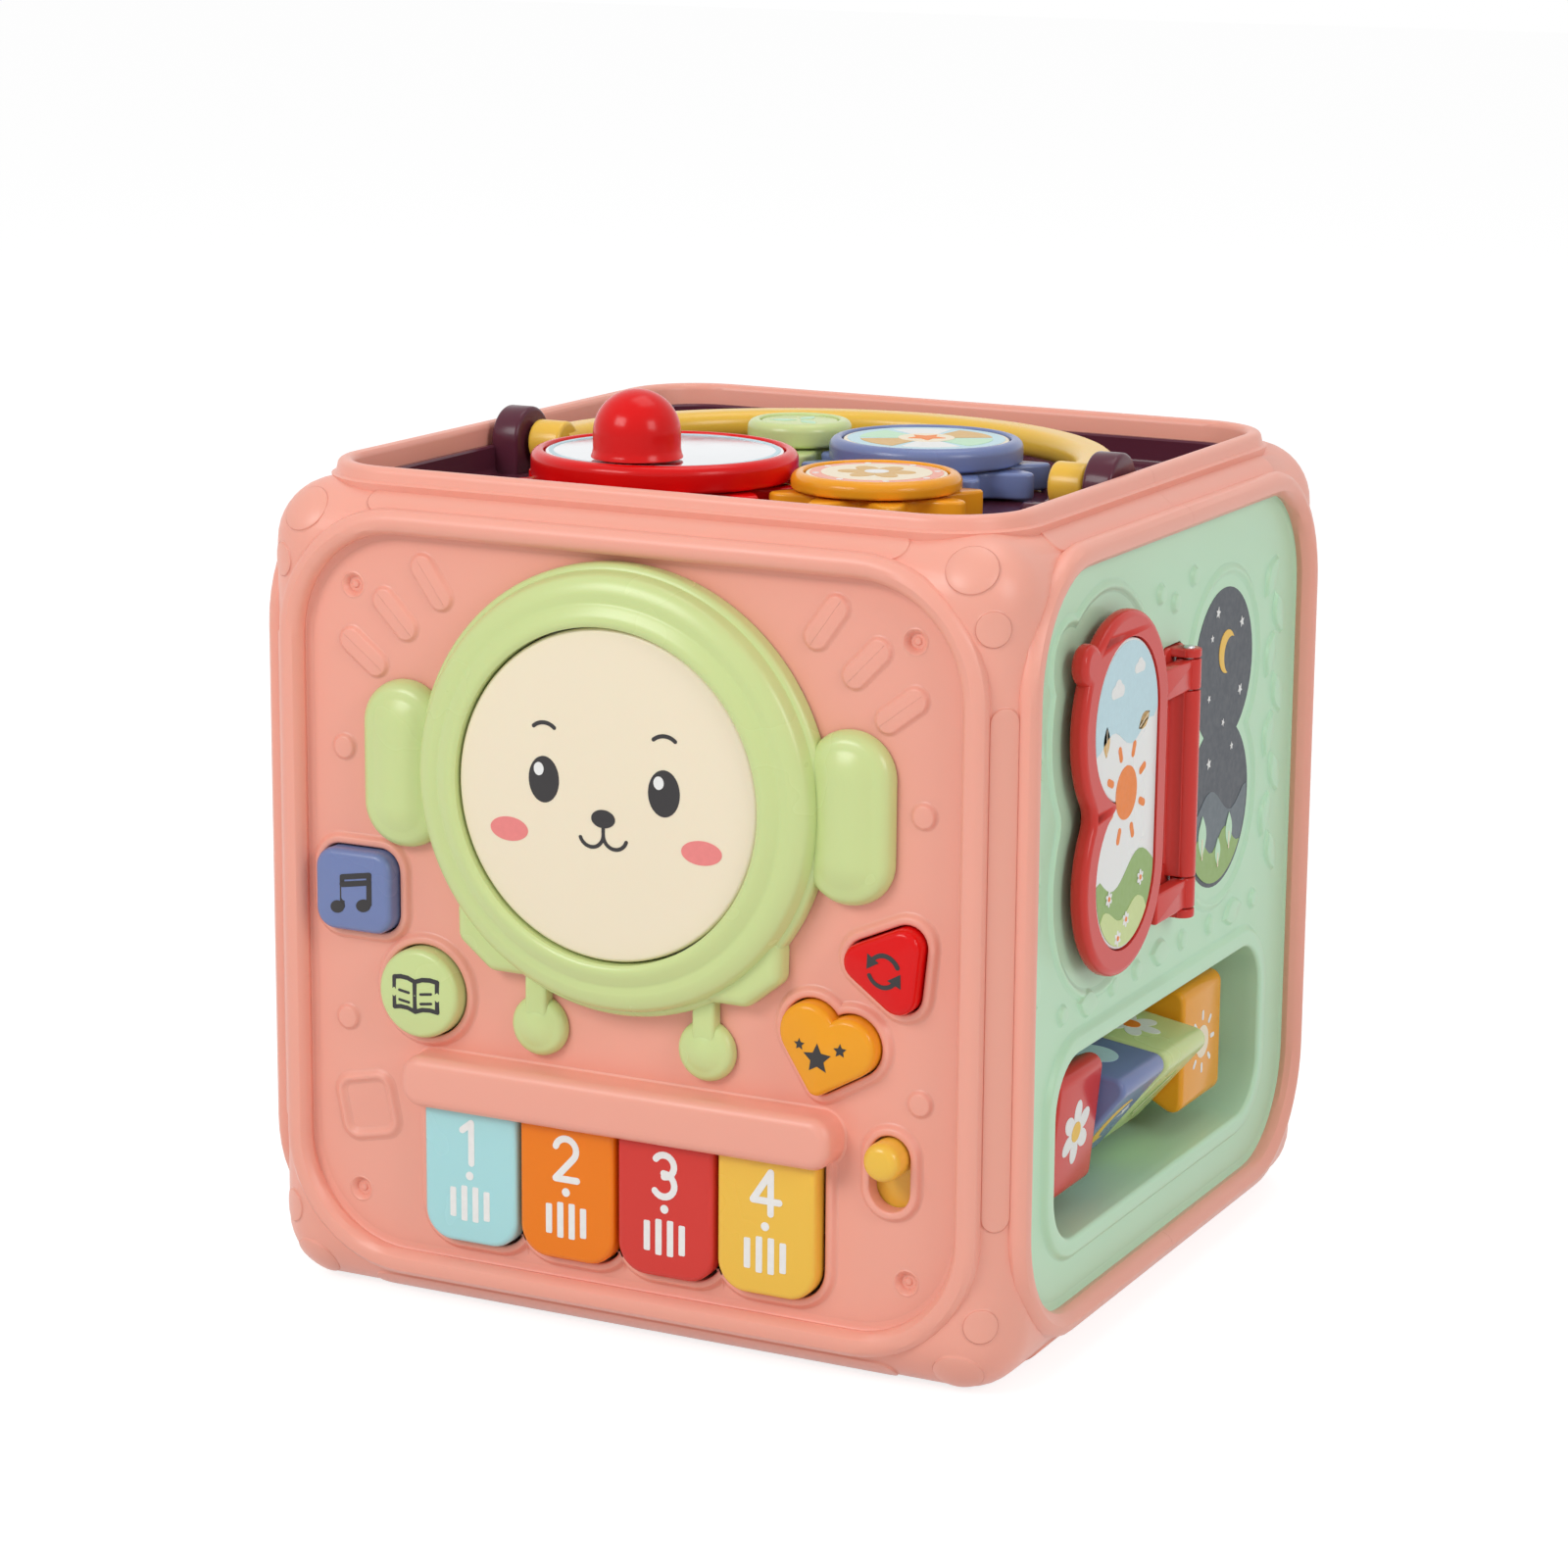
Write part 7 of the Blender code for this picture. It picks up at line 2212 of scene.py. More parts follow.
BLOCK_MOTIFS = (
    (
        ("flower", ("white_ink", "yellow_ink")), ("star", ("yellow_ink", "white_ink")),
        ("heart", ("white_ink", "red_ink"))
    ),
    (
        ("moon", ("yellow_ink", "white_ink")), ("cloud", ("white_ink", "pale_blue")),
        ("drop", ("pale_blue", "white_ink"))
    ),
    (
        ("leaf", ("grass", "cream_ink")), ("ball", ("orange_ink", "white_ink")),
        ("flower", ("white_ink", "orange_ink"))
    ),
    (
        ("sun", ("white_ink", "cream_ink")), ("flower", ("red_ink", "cream_ink")),
        ("drop", ("red_ink", "cream_ink"))
    ),
)
BLOCK_PRINT_SIZE = 0.0142


def make_blocks():
    across = Matrix.Rotation(pi / 2, 4, "Y")
    axle_at = placed("right", (0, WINDOW_V, -AXLE_DEPTH)) @ across
    reach = WINDOW_WIDTH / 2 + AXLE_SOCKET_DEPTH
    axle = swept(circle(AXLE_RADIUS, 28), [(0, -reach), (0, reach)])
    piece("block_axle_rod", axle, "white", "housing", ("block_axle",), axle_at)
    half = BLOCK_LENGTH / 2
    side_reach = (BLOCK_REACH - BLOCK_CORNER) / 2 + BLOCK_CORNER
    for i, (name, paint, slot) in enumerate(BLOCKS):
        at = placed("right", (block_u(i), WINDOW_V, -AXLE_DEPTH)) @ across
        outline = moved(rounded_triangle(BLOCK_REACH, BLOCK_CORNER), (0, 0), BLOCK_TURNS[i])
        profile = edge_low(-half, BLOCK_EDGE, 5) + edge_steps(BLOCK_EDGE, half, 5)
        piece(name + "_body", swept(outline, profile), paint, name, (name,), at, slot=slot)
        found = []
        for j, (kind, inks) in enumerate(BLOCK_MOTIFS[i]):
            angle = BLOCK_TURNS[i] + 180 + 120 * j
            found += shifted(motif(kind, BLOCK_PRINT_SIZE, side_reach, inks), face_matrix(angle))
        print_all(name + "_print", found, name, at)


# Top


def gear_centres():
    centres = [tuple(HANDLE_RADIUS * share for share in CRANK_GEAR_SHARES)]
    for i, step in enumerate(GEAR_STEP_DEGREES):
        reach = GEAR_MODULE * (GEAR_TEETH[i] + GEAR_TEETH[i + 1]) / 2 + GEAR_BACKLASH
        x, y = centres[-1]
        centres.append((x + reach * cos(radians(step)), y + reach * sin(radians(step))))
    return centres


def gear_phases():
    """How far each gear is turned, so that every tooth stands in its neighbour's gap."""
    phases = [radians(GEAR_START_DEGREES)]
    for i, step in enumerate(GEAR_STEP_DEGREES):
        way = radians(step)
        driven = (pi - GEAR_TEETH[i] * (way - phases[-1])) / GEAR_TEETH[i + 1]
        phases.append(way + pi - driven)
    return phases


def gear_outline(teeth):
    root = GEAR_MODULE * teeth / 2 - GEAR_TOOTH_DOWN
    count = teeth * GEAR_TOOTH_STEPS
    points = []
    for i in range(count):
        angle = 2 * pi * i / count
        lobe = (0.5 + 0.5 * cos(teeth * angle)) ** GEAR_TOOTH_POWER
        radius = root + (GEAR_TOOTH_UP + GEAR_TOOTH_DOWN) * lobe
        points.append((radius * cos(angle), radius * sin(angle)))
    return points


TOOTH_EDGE = 0.0007
CAP_EDGE_SHARE = 0.55
CAP_UNDER_EDGE = 0.0008
CAP_UNDER_SHARE = 0.2
CAP_SINK = 0.001
CAP_INNER_EDGE = 0.0005
DISC_EDGE = 0.0004


def make_gears():
    centres = gear_centres()
    phases = gear_phases()
    for i, name in enumerate(GEAR_NAMES):
        teeth = GEAR_TEETH[i]
        top = GEAR_TOOTH_TOP_Z + GEAR_CAP_RISES[i]
        radius = GEAR_MODULE * teeth / 2 * GEAR_CAP_SHARES[i]
        at = Matrix.Translation((*centres[i], 0)) @ Matrix.Rotation(phases[i], 4, "Z")
        profile = edge_low(GEAR_LOW_Z, TOOTH_EDGE) + edge_steps(TOOTH_EDGE, GEAR_TOOTH_TOP_Z, 4)
        wheel = swept(gear_outline(teeth), profile)
        recess = radius - GEAR_DISC_BORDER
        floor = top - GEAR_DISC_SINK - GEAR_DISC_WALL - SEAT_GAP
        shape = joined(wheel, gear_cap(radius, recess, floor, top, teeth))
        piece(
            name + "_wheel_body", shape, GEAR_PAINTS[i], GEAR_BODIES[i], (name + "_gear",), at,
            angle=WHEEL_SMOOTH_ANGLE, slot=GEAR_SLOTS[i]
        )
        make_disc(i, at, recess, floor)
    make_knob(centres[0])


def gear_cap(radius, recess, floor, top, teeth):
    """The fat round ring on top of a gear, on a narrower neck."""
    neck = GEAR_MODULE * teeth / 2 - GEAR_TOOTH_DOWN - GEAR_NECK_INSET
    low = GEAR_TOOTH_TOP_Z + GEAR_CAP_LIFT
    edge = min(GEAR_CAP_EDGE, (top - low) * CAP_EDGE_SHARE)
    under = min(CAP_UNDER_EDGE, (top - low) * CAP_UNDER_SHARE)
    profile = [(0, GEAR_TOOTH_TOP_Z - CAP_SINK), (neck, GEAR_TOOTH_TOP_Z - CAP_SINK), (neck, low)]
    profile += about(radius, edge_low(low, under, 5))
    profile += about(radius, edge_steps(edge, top, 8))
    profile += about(recess, inner_edge(CAP_INNER_EDGE, top, 5))
    profile += [(recess, floor), (0, floor)]
    return turned(profile, 96)


def make_disc(index, at, recess, floor):
    name = GEAR_NAMES[index]
    body = GEAR_BODIES[index]
    low = floor + SEAT_GAP
    top = low + GEAR_DISC_WALL
    radius = recess - SEAT_GAP
    paint = ("mirror", "cream", "cream", "green")[index]
    slot = ("mirror", "orange", "blue", "green")[index]
    profile = [(0, low), (radius, low)] + about(radius, edge_steps(DISC_EDGE, top, 4)) + [(0, top)]
    piece(name + "_disc_plate", turned(profile, 96), paint, body, (name + "_disc",), at, slot=slot)
    print_all(name + "_disc_print", disc_print(index, radius, top), body, at)


def disc_print(index, radius, top):
    """The pictures let into the gears, in shares of the disc's radius: rings, spokes and simple signs."""
    if index == 0:
        loops = [circle(radius * 0.97, 72), list(reversed(circle(radius * 0.93, 72)))]
        return [("pale_blue", decal(loops, top))]
    found = []
    if index == 1:
        found.append(("pink_ink", decal([circle(radius * 0.94, 64)], top)))
        found.append(("cream_ink", decal([circle(radius * 0.78, 64)], top, 1)))
        blossom = motif("flower", radius * 1.15, top + 2 * INK_WALL, ("ochre", "white_ink"))
        found += shifted(blossom, place_2d((0, 0)))
        for i in range(8):
            dot = moved(circle(radius * 0.05, 14), (radius * 0.86, 0))
            found.append(("white_ink", decal([moved(dot, (0, 0), 45 * i)], top, 1)))
        return found
    if index == 2:
        found.append(("pale_blue", decal([circle(radius * 0.95, 64)], top)))
        for i in range(6):
            wedge = [(0, 0)] + arc((0, 0), radius * 0.8, 60 * i + 4, 60 * i + 56, 12)
            paint = ("ochre", "white_ink", "mint_ink")[i % 3]
            found.append((paint, decal([wedge], top, 1)))
        found.append(("cream_ink", decal([circle(radius * 0.34, 40)], top, 2)))
        middle = motif("star", radius * 0.5, top + 3 * INK_WALL, ("orange_ink", "white_ink"))
        found += shifted(middle, place_2d((0, 0)))
        return found
    for i in range(3):
        blade = moved(lens(radius * 0.7, radius * 0.34), (0, radius * 0.42))
        found.append(("mint_ink", decal([moved(blade, (0, 0), 120 * i)], top)))
    return found


# Shares of the flare, and heights
KNOB_FOOT = ((0.6, 0), (0.6, 0.0003), (0.25, 0.0008), (0, 0.0018))


def make_knob(centre):
    at = Matrix.Translation((
        centre[0] + KNOB_REACH * cos(radians(KNOB_DEGREES)),
        centre[1] + KNOB_REACH * sin(radians(KNOB_DEGREES)),
        GEAR_TOOTH_TOP_Z + GEAR_CAP_RISES[0] + SEAT_GAP,
    ))
    profile = [(0, 0)] + [(KNOB_RADIUS + KNOB_FLARE * share, z) for share, z in KNOB_FOOT]
    for i in range(25):
        angle = pi / 2 * i / 24
        profile.append((KNOB_RADIUS * cos(angle), KNOB_SIDE + KNOB_RADIUS * sin(angle)))
    piece(
        "crank_knob_dome", turned(profile, 72), "red", "crank", ("crank_knob",), at, angle=WHEEL_SMOOTH_ANGLE,
        slot="coral"
    )


TRAY_RIB_RADII = (0.0545, 0.0515)
TRAY_RIB_ANGLES = ((12, 40), (140, 168))
TRAY_RIB_WALL = 0.0012
TRAY_RIB_RISE = 0.0009
TRAY_RIB_SOFT = 0.0006
TRAY_STUDS = (
    (0.0515, -0.0035), (0.0585, -0.0215), (0.0605, -0.0585), (-0.0605, -0.0585), (-0.0545, -0.031),
    (0.0605, 0.0575), (-0.0605, 0.0575), (-0.0445, 0.0135), (0.0045, -0.061), (0.0475, 0.043),
)
TRAY_STUD_RADIUS = 0.0026
TRAY_STUD_RISE = 0.0022
TRAY_STUD_SOFT = 0.0014
TRAY_BAR_SIZE = (0.0016, 0.013)
TRAY_BAR_CORNER = 0.0007
TRAY_BAR_PLACE = (0.0595, 0.034)
TRAY_BAR_PITCH = 0.0032


def tray_relief():
    """Low ribs and studs on the tray's floor."""
    shapes = []
    for radius in TRAY_RIB_RADII:
        for start, end in TRAY_RIB_ANGLES:
            path = arc((0, HANDLE_Y), radius, start, end, 16)
            back = arc((0, HANDLE_Y), radius - TRAY_RIB_WALL, end, start, 16)
            shapes.append(raised(path + back, TRAY_RIB_RISE, TRAY_FLOOR_Z, TRAY_RIB_SOFT))
    for at in TRAY_STUDS:
        stud = moved(circle(TRAY_STUD_RADIUS, ROUND_STEPS), at)
        shapes.append(raised(stud, TRAY_STUD_RISE, TRAY_FLOOR_Z, TRAY_STUD_SOFT))
    for k in range(4):
        for way in (1, -1):
            at = (way * (TRAY_BAR_PLACE[0] + k * TRAY_BAR_PITCH), TRAY_BAR_PLACE[1])
            bar = rounded_rect(*TRAY_BAR_SIZE, TRAY_BAR_CORNER, 4, at)
            shapes.append(raised(bar, TRAY_RIB_RISE, TRAY_FLOOR_Z, TRAY_RIB_SOFT))
    return shapes


TRAY_EDGE = 0.0006
TRAY_INNER_EDGE = 0.0004
TRAY_FILLET = 0.0014


def make_tray():
    width = LIP_OPENING - 2 * TRAY_GAP
    corner = LIP_CORNER - LIP_WALL - TRAY_GAP
    outline = rounded_rect(width, width, corner, 12)
    wall = TRAY_WALL
    profile = [(0, TRAY_FLOOR_Z - wall)] + edge_steps(TRAY_EDGE, TRAY_RIM_Z, 3)
    profile += [(-wall + TRAY_INNER_EDGE, TRAY_RIM_Z), (-wall, TRAY_RIM_Z - TRAY_INNER_EDGE)]
    profile += about(-wall, floor_edge(TRAY_FILLET, TRAY_FLOOR_Z, 5))
    shapes = [swept(outline, profile)]
    for x, y in gear_centres():
        post = column(POST_RADIUS, TRAY_FLOOR_Z - POST_SINK, POST_TOP_Z, ROUND_STEPS)
        shapes.append(transformed(post, Matrix.Translation((x, y, 0))))
    near = HANDLE_RADIUS + HANDLE_WIDTH / 2 + SIDE_GAP
    for way in (-1, 1):
        shapes.append(handle_ear(near, way))
    shapes += tray_relief()
    piece("top_tray_moulding", joined(*shapes), "plum", "housing", ("top_tray",))


EAR_SINK = 0.0005
HANDLE_EAR_EDGE = 0.0009


def handle_ear(near, way):
    """A round-headed lug, extruded along X."""
    radius = HANDLE_EAR_RADIUS
    foot = TRAY_FLOOR_Z - EAR_SINK - HANDLE_PIVOT_Z
    outline = arc((0, 0), radius, 0, 180, 28) + [(-radius, foot), (radius, foot)]
    profile = edge_low(0, HANDLE_EAR_EDGE, 4) + edge_steps(HANDLE_EAR_EDGE, HANDLE_EAR_WALL, 4)
    shape = swept(outline, profile)
    verts = [(way * (near + w), HANDLE_Y - way * u, HANDLE_PIVOT_Z + v) for u, v, w in shape[0]]
    return verts, shape[1]


HANDLE_EYE_EDGE = 0.0009


def make_handle():
    """A half ring of rounded section with an eye at each end."""
    section = rounded_rect(HANDLE_WIDTH, HANDLE_HEIGHT, HANDLE_EDGE, 6)
    count = len(section)
    steps = 72
    verts = []
    for i in range(steps + 1):
        angle = pi * i / steps
        for a, b in section:
            verts.append(((HANDLE_RADIUS + a) * cos(angle), (HANDLE_RADIUS + a) * sin(angle), b))
    faces = []
    for i in range(steps):
        for j in range(count):
            k = (j + 1) % count
            faces.append((i * count + j, i * count + k, (i + 1) * count + k, (i + 1) * count + j))
    faces.append(tuple(range(count)))
    faces.append(tuple(reversed(range(steps * count, (steps + 1) * count))))
    handle = tool_object("handle_body", (verts, faces))
    eye = HANDLE_EYE_WIDTH / 2
    profile = edge_low(-eye, HANDLE_EYE_EDGE, 4) + edge_steps(HANDLE_EYE_EDGE, eye, 4)
    for way in (-1, 1):
        barrel = swept(circle(HANDLE_EYE_RADIUS, 48), profile)
        matrix = Matrix.Translation((way * HANDLE_RADIUS, 0, 0)) @ Matrix.Rotation(pi / 2, 4, "Y")
        apply_boolean(handle, tool_object("barrel", transformed(barrel, matrix)), "UNION")
    at = Matrix.Translation((0, HANDLE_Y, HANDLE_PIVOT_Z))
    piece("carry_handle_bow", mesh_shape(handle), "yellow", "handle", ("carry_handle",), at)


# Left side


DIGIT_STROKES["6"] = [arc((0, -0.2), 0.28, 0, 360, 20), arc((0.3, -0.1), 0.58, 172, 108, 8)]
DIGIT_STROKES["9"] = [arc((0, 0.2), 0.28, 0, 360, 20), arc((-0.3, 0.1), 0.58, -8, -72, 8)]


DROP_ROWS = ((-0.058, 0.0555, 35), (0.058, 0.0555, -35), (-0.06, -0.0135, 145), (0.06, -0.0135, -145))
DROP_RADII = (0.0034, 0.0024, 0.0017)
DROP_PITCH = 0.0082
CLOCK_TICK = (0.0018, 0.0046)
CLOCK_TICK_REACH = 0.0288
CLOCK_NUMBER_REACH = 0.0276
CLOCK_NUMBER_PITCH = 0.0042
CLOCK_NUMBER_SIZE = 0.0062
CLOCK_NUMBER_LINE = 0.0011
CLOCK_LINE_EDGE = 0.0006


def make_left_panel():
    cup, window = pocket_cup(
        COUNTER_WIDTH, COUNTER_HEIGHT, COUNTER_CORNER, COUNTER_V, COUNTER_DEPTH, COUNTER_RIM
    )
    shapes = [panel_tray([window]), cup]
    ring = moved(circle(CLOCK_RADIUS - CLOCK_LINE / 2, 96), (0, CLOCK_V))
    shapes.append(groove_mesh(ring, CLOCK_LINE, RIM_RISE, PANEL_FACE, CLOCK_LINE_EDGE))
    for i in range(12):
        if i % 3:
            tick = moved(stadium(*CLOCK_TICK, 5), (0, CLOCK_TICK_REACH))
            shapes.append(raised(moved(moved(tick, (0, 0), 30 * i), (0, CLOCK_V)), RELIEF_RISE, PANEL_FACE))
    low = PANEL_FACE + SEAT_GAP
    post_top = low + 2 * HAND_WALL + SEAT_GAP
    post = column(CLOCK_HUB_RADIUS, PANEL_BACK, post_top, 40)
    shapes.append(transformed(post, Matrix.Translation((0, CLOCK_V, 0))))
    for u, v, turn in DROP_ROWS:
        for k, size in enumerate(DROP_RADII):
            at = moved([(0, -k * DROP_PITCH)], (u, v), turn)[0]
            shapes.append(raised(moved(circle(size, 36), at), RELIEF_RISE, PANEL_FACE))
    piece("left_panel_shell", joined(*shapes), "sky", "housing", ("left_panel",), side_matrix("left"))
    marks = []
    height = flat(PANEL_FACE)
    reach = CLOCK_NUMBER_REACH
    for text, angle in (("12", 90), ("3", 0), ("6", 270), ("9", 180)):
        u = reach * cos(radians(angle))
        v = CLOCK_V + reach * sin(radians(angle))
        for i, character in enumerate(text):
            shift = (i - (len(text) - 1) / 2) * CLOCK_NUMBER_PITCH
            marks += digit(character, (u + shift, v), CLOCK_NUMBER_SIZE, CLOCK_NUMBER_LINE, height)
    printed("clock_numbers", marks, "white_ink", "housing", side_matrix("left"))
    make_hands()
    make_beads()


def pointer(hub, tip, length):
    """A hand of a clock: a round hub that tapers to a round tip, along +u."""
    taper = degrees(acos((hub - tip) / length))
    return arc((0, 0), hub, taper, 360 - taper, 32) + arc((length, 0), tip, -taper, taper, 12)


HAND_EDGE = 0.0005
HAND_CAP_DOME_SHARE = 0.55
HAND_CAP_EDGE = 0.0003


def make_hands():
    low = PANEL_FACE + SEAT_GAP
    for name, length, paint, angle in HANDS:
        outline = moved(pointer(HAND_HUB_RADIUS, HAND_TIP_RADIUS, length), (0, 0), angle)
        profile = [(0, low)] + edge_steps(HAND_EDGE, low + HAND_WALL, 4)
        body = tool_object(name, swept(outline, profile))
        bored(body, CLOCK_HUB_RADIUS + RUNNING_GAP, low - OVERRUN, low + OVERRUN)
        piece(name + "_arm", mesh_shape(body), paint, name, (name,), placed("left", (0, CLOCK_V, 0)))
        low += HAND_WALL + SEAT_GAP
    cap_dome = HAND_CAP_WALL * HAND_CAP_DOME_SHARE
    cap = domed(circle(HAND_CAP_RADIUS, 48), low, low + HAND_CAP_WALL, cap_dome, HAND_CAP_EDGE)
    piece("hand_cap_button", cap, "yellow", "housing", ("hand_cap",), placed("left", (0, CLOCK_V, 0)))


def make_beads():
    across = Matrix.Rotation(pi / 2, 4, "Y")
    reach = COUNTER_WIDTH / 2 + AXLE_SOCKET_DEPTH
    at = placed("left", (0, COUNTER_V, -COUNTER_ROD_DEPTH)) @ across
    rod = swept(circle(COUNTER_ROD_RADIUS, 28), [(0, -reach), (0, reach)])
    piece("bead_rod_bar", rod, "steel", "housing", ("bead_rod",), at)
    half = COUNTER_BEAD_LENGTH / 2
    radius = COUNTER_BEAD_RADIUS
    edge = COUNTER_BEAD_EDGE
    for i, colour in enumerate(COUNTER_BEADS):
        u = (i - 1) * COUNTER_BEAD_PITCH
        bore = COUNTER_ROD_RADIUS + RUNNING_GAP
        profile = [(bore, -half)] + about(radius, edge_low(-half, edge, 8) + edge_steps(edge, half, 8))
        profile.append((bore, half))
        at = placed("left", (u, COUNTER_V, -COUNTER_ROD_DEPTH)) @ across
        shape = turned(profile, 64, ring=True)
        piece(colour + "_bead_body", shape, colour, colour + "_bead", (colour + "_bead",), at)


# Back


def flower(radius, wave, petals):
    points = []
    count = petals * PETAL_STEPS
    for i in range(count):
        angle = 2 * pi * i / count
        reach = radius - wave * (0.5 - 0.5 * cos(petals * angle))
        points.append((reach * cos(angle), reach * sin(angle)))
    return points


RING_DOT_RADIUS = 0.0016
RING_DOT_REACH = 0.0398
RELIEF_FLOWERS = ((-0.0585, 0.0545), (0.0585, 0.0545), (-0.0585, -0.0115), (0.0585, -0.0115))
RELIEF_PETAL = (0.0021, 0.0029)
RELIEF_PETAL_REACH = 0.0044
RELIEF_FLOWER_SOFT = 0.0008
SCALE_BARS = (0.0052, 0.0032)
SCALE_PITCH = 0.0098
SCALE_LINE = 0.0011
SCALE_CORNER = 0.0003
SCALE_DROP = 0.0108


def make_back_panel():
    slot = moved(stadium(TRACK_LENGTH, TRACK_HEIGHT), (0, TRACK_V))
    shapes = [panel_tray([slot]), rim_mesh(slot, RIM_WIDTH, RIM_RISE, PANEL_FACE, PANEL_BACK)]
    low = PANEL_FACE + SEAT_GAP
    top = low + SPINNER_WALL
    post = column(SPINNER_HUB_RADIUS, PANEL_BACK, top, 40)
    shapes.append(transformed(post, Matrix.Translation((0, SPINNER_V, 0))))
    for angle in range(0, 360, 30):
        dot = moved(circle(RING_DOT_RADIUS, 28), (RING_DOT_REACH, 0))
        shapes.append(raised(moved(moved(dot, (0, 0), angle), (0, SPINNER_V)), RELIEF_RISE, PANEL_FACE))
    for at in RELIEF_FLOWERS:
        for i in range(5):
            petal = moved(moved(ellipse(*RELIEF_PETAL, (0, RELIEF_PETAL_REACH), 24), (0, 0), 72 * i), at)
            shapes.append(raised(petal, RELIEF_RISE, PANEL_FACE, RELIEF_FLOWER_SOFT))
        middle_dot = moved(circle(RING_DOT_RADIUS, 24), at)
        shapes.append(raised(middle_dot, RELIEF_RISE * LOW_RELIEF_SHARE, PANEL_FACE, RELIEF_FLOWER_SOFT))
    piece("back_panel_shell", joined(*shapes), "lemon", "housing", ("back_panel",), side_matrix("back"))
    marks = []
    for i in range(9):
        tall = SCALE_BARS[0] if i % 4 == 0 else SCALE_BARS[1]
        u = (i - 4) * SCALE_PITCH
        bar = rounded_rect(SCALE_LINE, tall, SCALE_CORNER, 3, (u, TRACK_V - SCALE_DROP))
        marks.append(decal([bar], PANEL_FACE))
    printed("track_scale", marks, "orange_ink", "housing", side_matrix("back"))
    make_spinner(low, top)
    make_track_knob()


SPINNER_LOW_EDGE = 0.0008
SPINNER_SPOT = (0.0036, 0.0028)
SPINNER_SPOT_REACH = 0.0232
SPINNER_CAP_DOME = 0.0014
SPINNER_CAP_EDGE = 0.0004


def make_spinner(low, top):
    at = placed("back", (0, SPINNER_V, 0))
    profile = edge_low(low, SPINNER_LOW_EDGE, 4) + edge_steps(SPINNER_EDGE, top, 6)
    body = tool_object("spinner", swept(flower(SPINNER_RADIUS, SPINNER_WAVE, SPINNER_PETALS), profile))
    bored(body, SPINNER_HUB_RADIUS + RUNNING_GAP, low - OVERRUN, top + OVERRUN)
    piece("flower_spinner_body", mesh_shape(body), "coral", "flower_spinner", ("flower_spinner",), at)
    found = []
    for i in range(SPINNER_PETALS):
        spot = moved(ellipse(*SPINNER_SPOT, (SPINNER_SPOT_REACH, 0), 28), (0, 0), 60 * i)
        paint = ("yellow_ink", "white_ink")[i % 2]
        found.append((paint, decal([spot], top)))
    print_all("spinner_print", found, "flower_spinner", at)
    cap_low = top + SEAT_GAP
    cap_top = cap_low + SPINNER_CAP_WALL
    cap = domed(circle(SPINNER_CAP_RADIUS, 64), cap_low, cap_top, SPINNER_CAP_DOME, SPINNER_CAP_EDGE)
    piece("spinner_cap_button", cap, "white", "housing", ("spinner_cap",), at)


TRACK_KNOB_LOW_EDGE = 0.0006
TRACK_LIFT = 0.0004
TRACK_KNOB_DIMPLE = ((0.0042, 0.0004), (0.0036, 0.0009), (0, 0.001))


def make_track_knob():
    foot_top = PANEL_BACK - SEAT_GAP
    low = PANEL_FACE + RIM_RISE + SEAT_GAP
    width = TRACK_HEIGHT + 2 * TRACK_FOOT_OVERLAP
    side = edge_low(low, TRACK_KNOB_LOW_EDGE, 4)
    side += edge_steps(TRACK_KNOB_EDGE, TRACK_KNOB_RISE - TRACK_LIFT, 8)
    profile = [(0, low)] + about(TRACK_KNOB_RADIUS, side)
    cap = turned(profile + [(reach, TRACK_KNOB_RISE - drop) for reach, drop in TRACK_KNOB_DIMPLE], 72)
    neck = TRACK_HEIGHT / 2 - SIDE_GAP
    stem = column(neck, foot_top - TRACK_LIFT, low + TRACK_LIFT, 36)
    foot = swept(
        rounded_rect(width, width, TRACK_FOOT_OVERLAP, 6), [(0, foot_top - TRACK_FOOT_WALL), (0, foot_top)]
    )
    at = placed("back", (0, TRACK_V, 0))
    piece("track_knob_body", joined(cap, stem, foot), "blue", "track_knob", ("track_knob",), at)


# Carried-over nodes

NODE_PAINTS = {
    "pink": ("front_panel",),
    "mint": ("right_panel",),
    "lemon": ("back_panel",),
    "sky": ("left_panel",),
    "plum": ("top_tray",),
    "cream": ("base_panel", "battery_door", "drum_pad", "orange_disc", "blue_disc"),
    "board": ("circuit_board",),
    "green": ("drum_bezel", "round_button", "green_block", "green_gear", "green_disc"),
    "cyan": ("key_1",),
    "orange": ("key_2",),
    "coral": ("key_3", "book_spine", "book_leaf", "red_block", "flower_spinner"),
    "yellow": ("key_4", "mode_switch", "carry_handle", "hand_cap", "yellow_bead"),
    "steel": ("key_rod", "book_pin", "handle_pin_left", "handle_pin_right", "bead_rod"),
    "blue": ("square_button", "blue_block", "blue_gear", "minute_hand", "blue_bead", "track_knob"),
    "red": ("triangle_button", "crank_gear", "crank_knob", "hour_hand", "red_bead"),
    "amber": ("heart_button", "orange_block", "orange_gear"),
    "white": ("book_insert", "block_axle", "spinner_cap"),
    "mirror": ("crank_disc",),
    "cell": ("battery_1", "battery_2", "battery_3"),
    "black": ("speaker",),
}


def paint_nodes():
    for paint, names in NODE_PAINTS.items():
        for name in names:
            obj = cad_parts[name]
            obj.data.materials.clear()
            obj.data.materials.append(PAINTS[paint])


# Stage


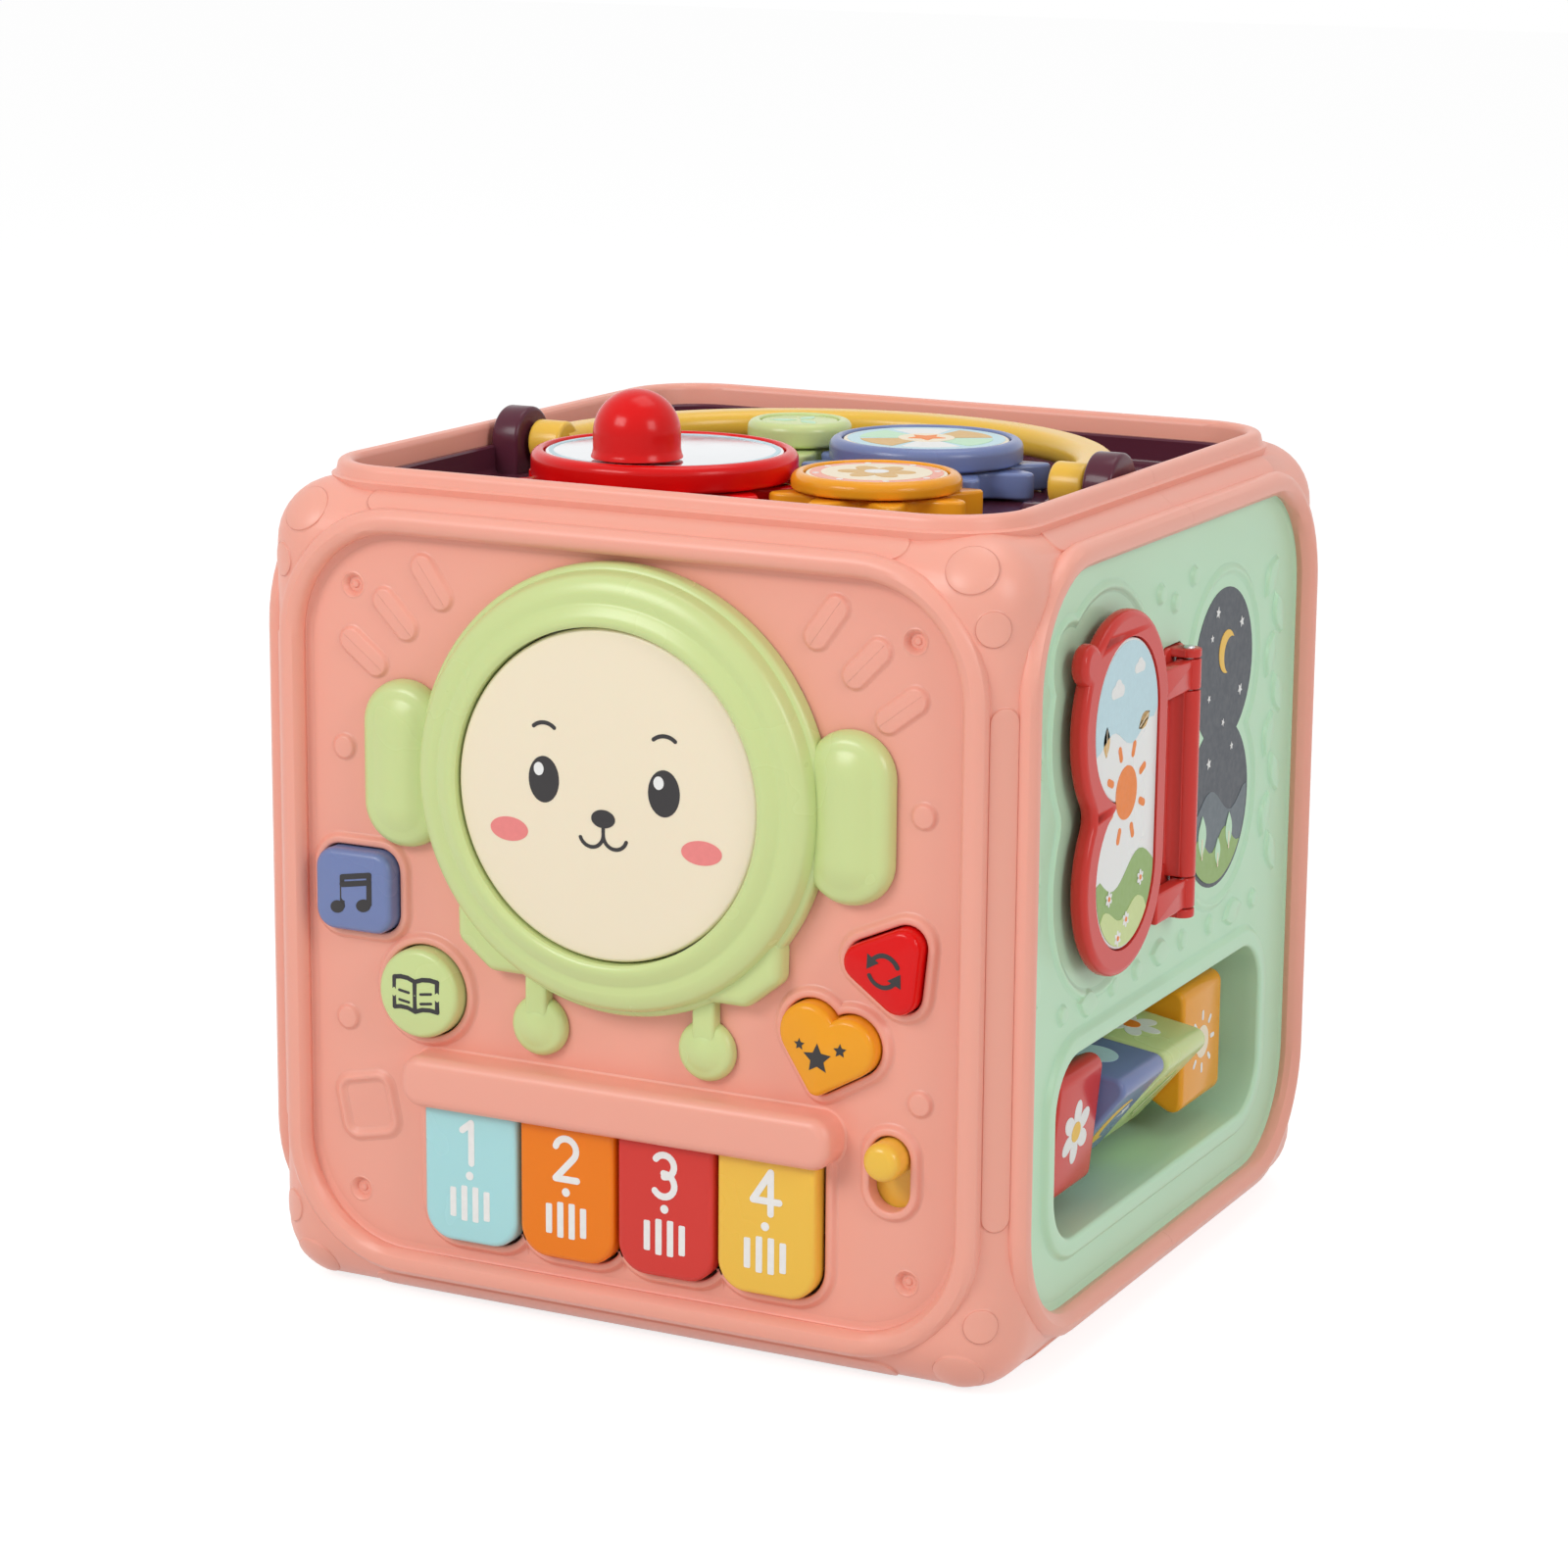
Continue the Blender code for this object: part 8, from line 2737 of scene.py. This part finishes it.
def make_camera():
    camera = bpy.data.cameras.new("camera")
    camera.sensor_width = SENSOR_MM
    camera.lens = FOCAL_PIXELS * SENSOR_MM / PHOTO_PIXELS
    camera.shift_x = (PHOTO_PIXELS / 2 - PRINCIPAL_X) / PHOTO_PIXELS
    camera.shift_y = (PRINCIPAL_Y - PHOTO_PIXELS / 2) / PHOTO_PIXELS
    camera.clip_start = CLIP_NEAR
    camera.clip_end = CLIP_FAR
    obj = linked("camera", camera)
    back = Vector((sin(YAW) * cos(ELEVATION), -cos(YAW) * cos(ELEVATION), sin(ELEVATION)))
    right = Vector((0, 0, 1)).cross(back).normalized()
    up = back.cross(right)
    rolled_right = cos(ROLL) * right + sin(ROLL) * up
    rolled_up = cos(ROLL) * up - sin(ROLL) * right
    turn = Matrix((rolled_right, rolled_up, back)).transposed().to_4x4()
    obj.matrix_world = Matrix.Translation(EYE) @ turn
    bpy.context.scene.camera = obj


def seen_directly(tree):
    """1 for camera, glossy and transmission rays."""
    path = add_node(tree, "ShaderNodeLightPath")
    first = add_node(tree, "ShaderNodeMath", operation="MAXIMUM")
    second = add_node(tree, "ShaderNodeMath", operation="MAXIMUM")
    tree.links.new(path.outputs["Is Camera Ray"], first.inputs[0])
    tree.links.new(path.outputs["Is Glossy Ray"], first.inputs[1])
    tree.links.new(first.outputs[0], second.inputs[0])
    tree.links.new(path.outputs["Is Transmission Ray"], second.inputs[1])
    return second.outputs[0]


def make_floor():
    mesh = bpy.data.meshes.new("floor")
    corners = [(u * FLOOR_REACH, v * FLOOR_REACH, 0) for u, v in ((-1, -1), (1, -1), (1, 1), (-1, 1))]
    mesh.from_pydata(corners, [], [(0, 1, 2, 3)])
    material = bpy.data.materials.new("floor_paper")
    material.use_nodes = True
    tree = material.node_tree
    tree.nodes.clear()
    out = add_node(tree, "ShaderNodeOutputMaterial")
    mix = add_node(tree, "ShaderNodeMixShader")
    plain = add_node(tree, "ShaderNodeBsdfDiffuse")
    plain.inputs["Color"].default_value = FLOOR_COLOUR
    seen = add_node(tree, "ShaderNodeAddShader")
    soft = add_node(tree, "ShaderNodeBsdfDiffuse")
    soft.inputs["Color"].default_value = FLOOR_SEEN_COLOUR
    glow = add_node(tree, "ShaderNodeEmission")
    glow.inputs["Strength"].default_value = FLOOR_GLOW
    tree.links.new(soft.outputs[0], seen.inputs[0])
    tree.links.new(glow.outputs[0], seen.inputs[1])
    tree.links.new(seen_directly(tree), mix.inputs[0])
    tree.links.new(plain.outputs[0], mix.inputs[1])
    tree.links.new(seen.outputs[0], mix.inputs[2])
    tree.links.new(mix.outputs[0], out.inputs["Surface"])
    mesh.materials.append(material)
    obj = linked("floor", mesh)


def make_world():
    world = bpy.data.worlds.new("studio")
    world.use_nodes = True
    tree = world.node_tree
    tree.nodes.clear()
    out = add_node(tree, "ShaderNodeOutputWorld")
    mix = add_node(tree, "ShaderNodeMixShader")
    light = add_node(tree, "ShaderNodeBackground")
    light.inputs["Color"].default_value = (1, 1, 1, 1)
    light.inputs["Strength"].default_value = WORLD_LIGHT
    paper = add_node(tree, "ShaderNodeBackground")
    paper.inputs["Color"].default_value = (1, 1, 1, 1)
    paper.inputs["Strength"].default_value = 1.0
    tree.links.new(seen_directly(tree), mix.inputs[0])
    tree.links.new(light.outputs[0], mix.inputs[1])
    tree.links.new(paper.outputs[0], mix.inputs[2])
    tree.links.new(mix.outputs[0], out.inputs["Surface"])
    bpy.context.scene.world = world


def soft_lamp(name, at, target, size, power):
    lamp = bpy.data.lights.new(name, "AREA")
    lamp.shape = "RECTANGLE"
    lamp.size = size[0]
    lamp.size_y = size[1]
    lamp.energy = power
    obj = linked(name, lamp)
    way = Vector(target) - Vector(at)
    obj.rotation_euler = way.to_track_quat("-Z", "Y").to_euler()
    obj.location = at


def make_lights():
    for name, at, size, power in LAMPS:
        soft_lamp(name, at, LAMP_TARGET, size, power)


make_camera()
make_world()
make_floor()
make_lights()
paint_nodes()
make_frame()
make_front_panel()
make_drum()
make_drum_pad()
make_drum_face()
make_keys()
make_buttons()
make_switch()
make_right_panel()
make_spine()
make_leaf()
make_blocks()
make_tray()
make_gears()
make_handle()
make_left_panel()
make_back_panel()

bpy.context.scene.view_settings.view_transform = "Standard"
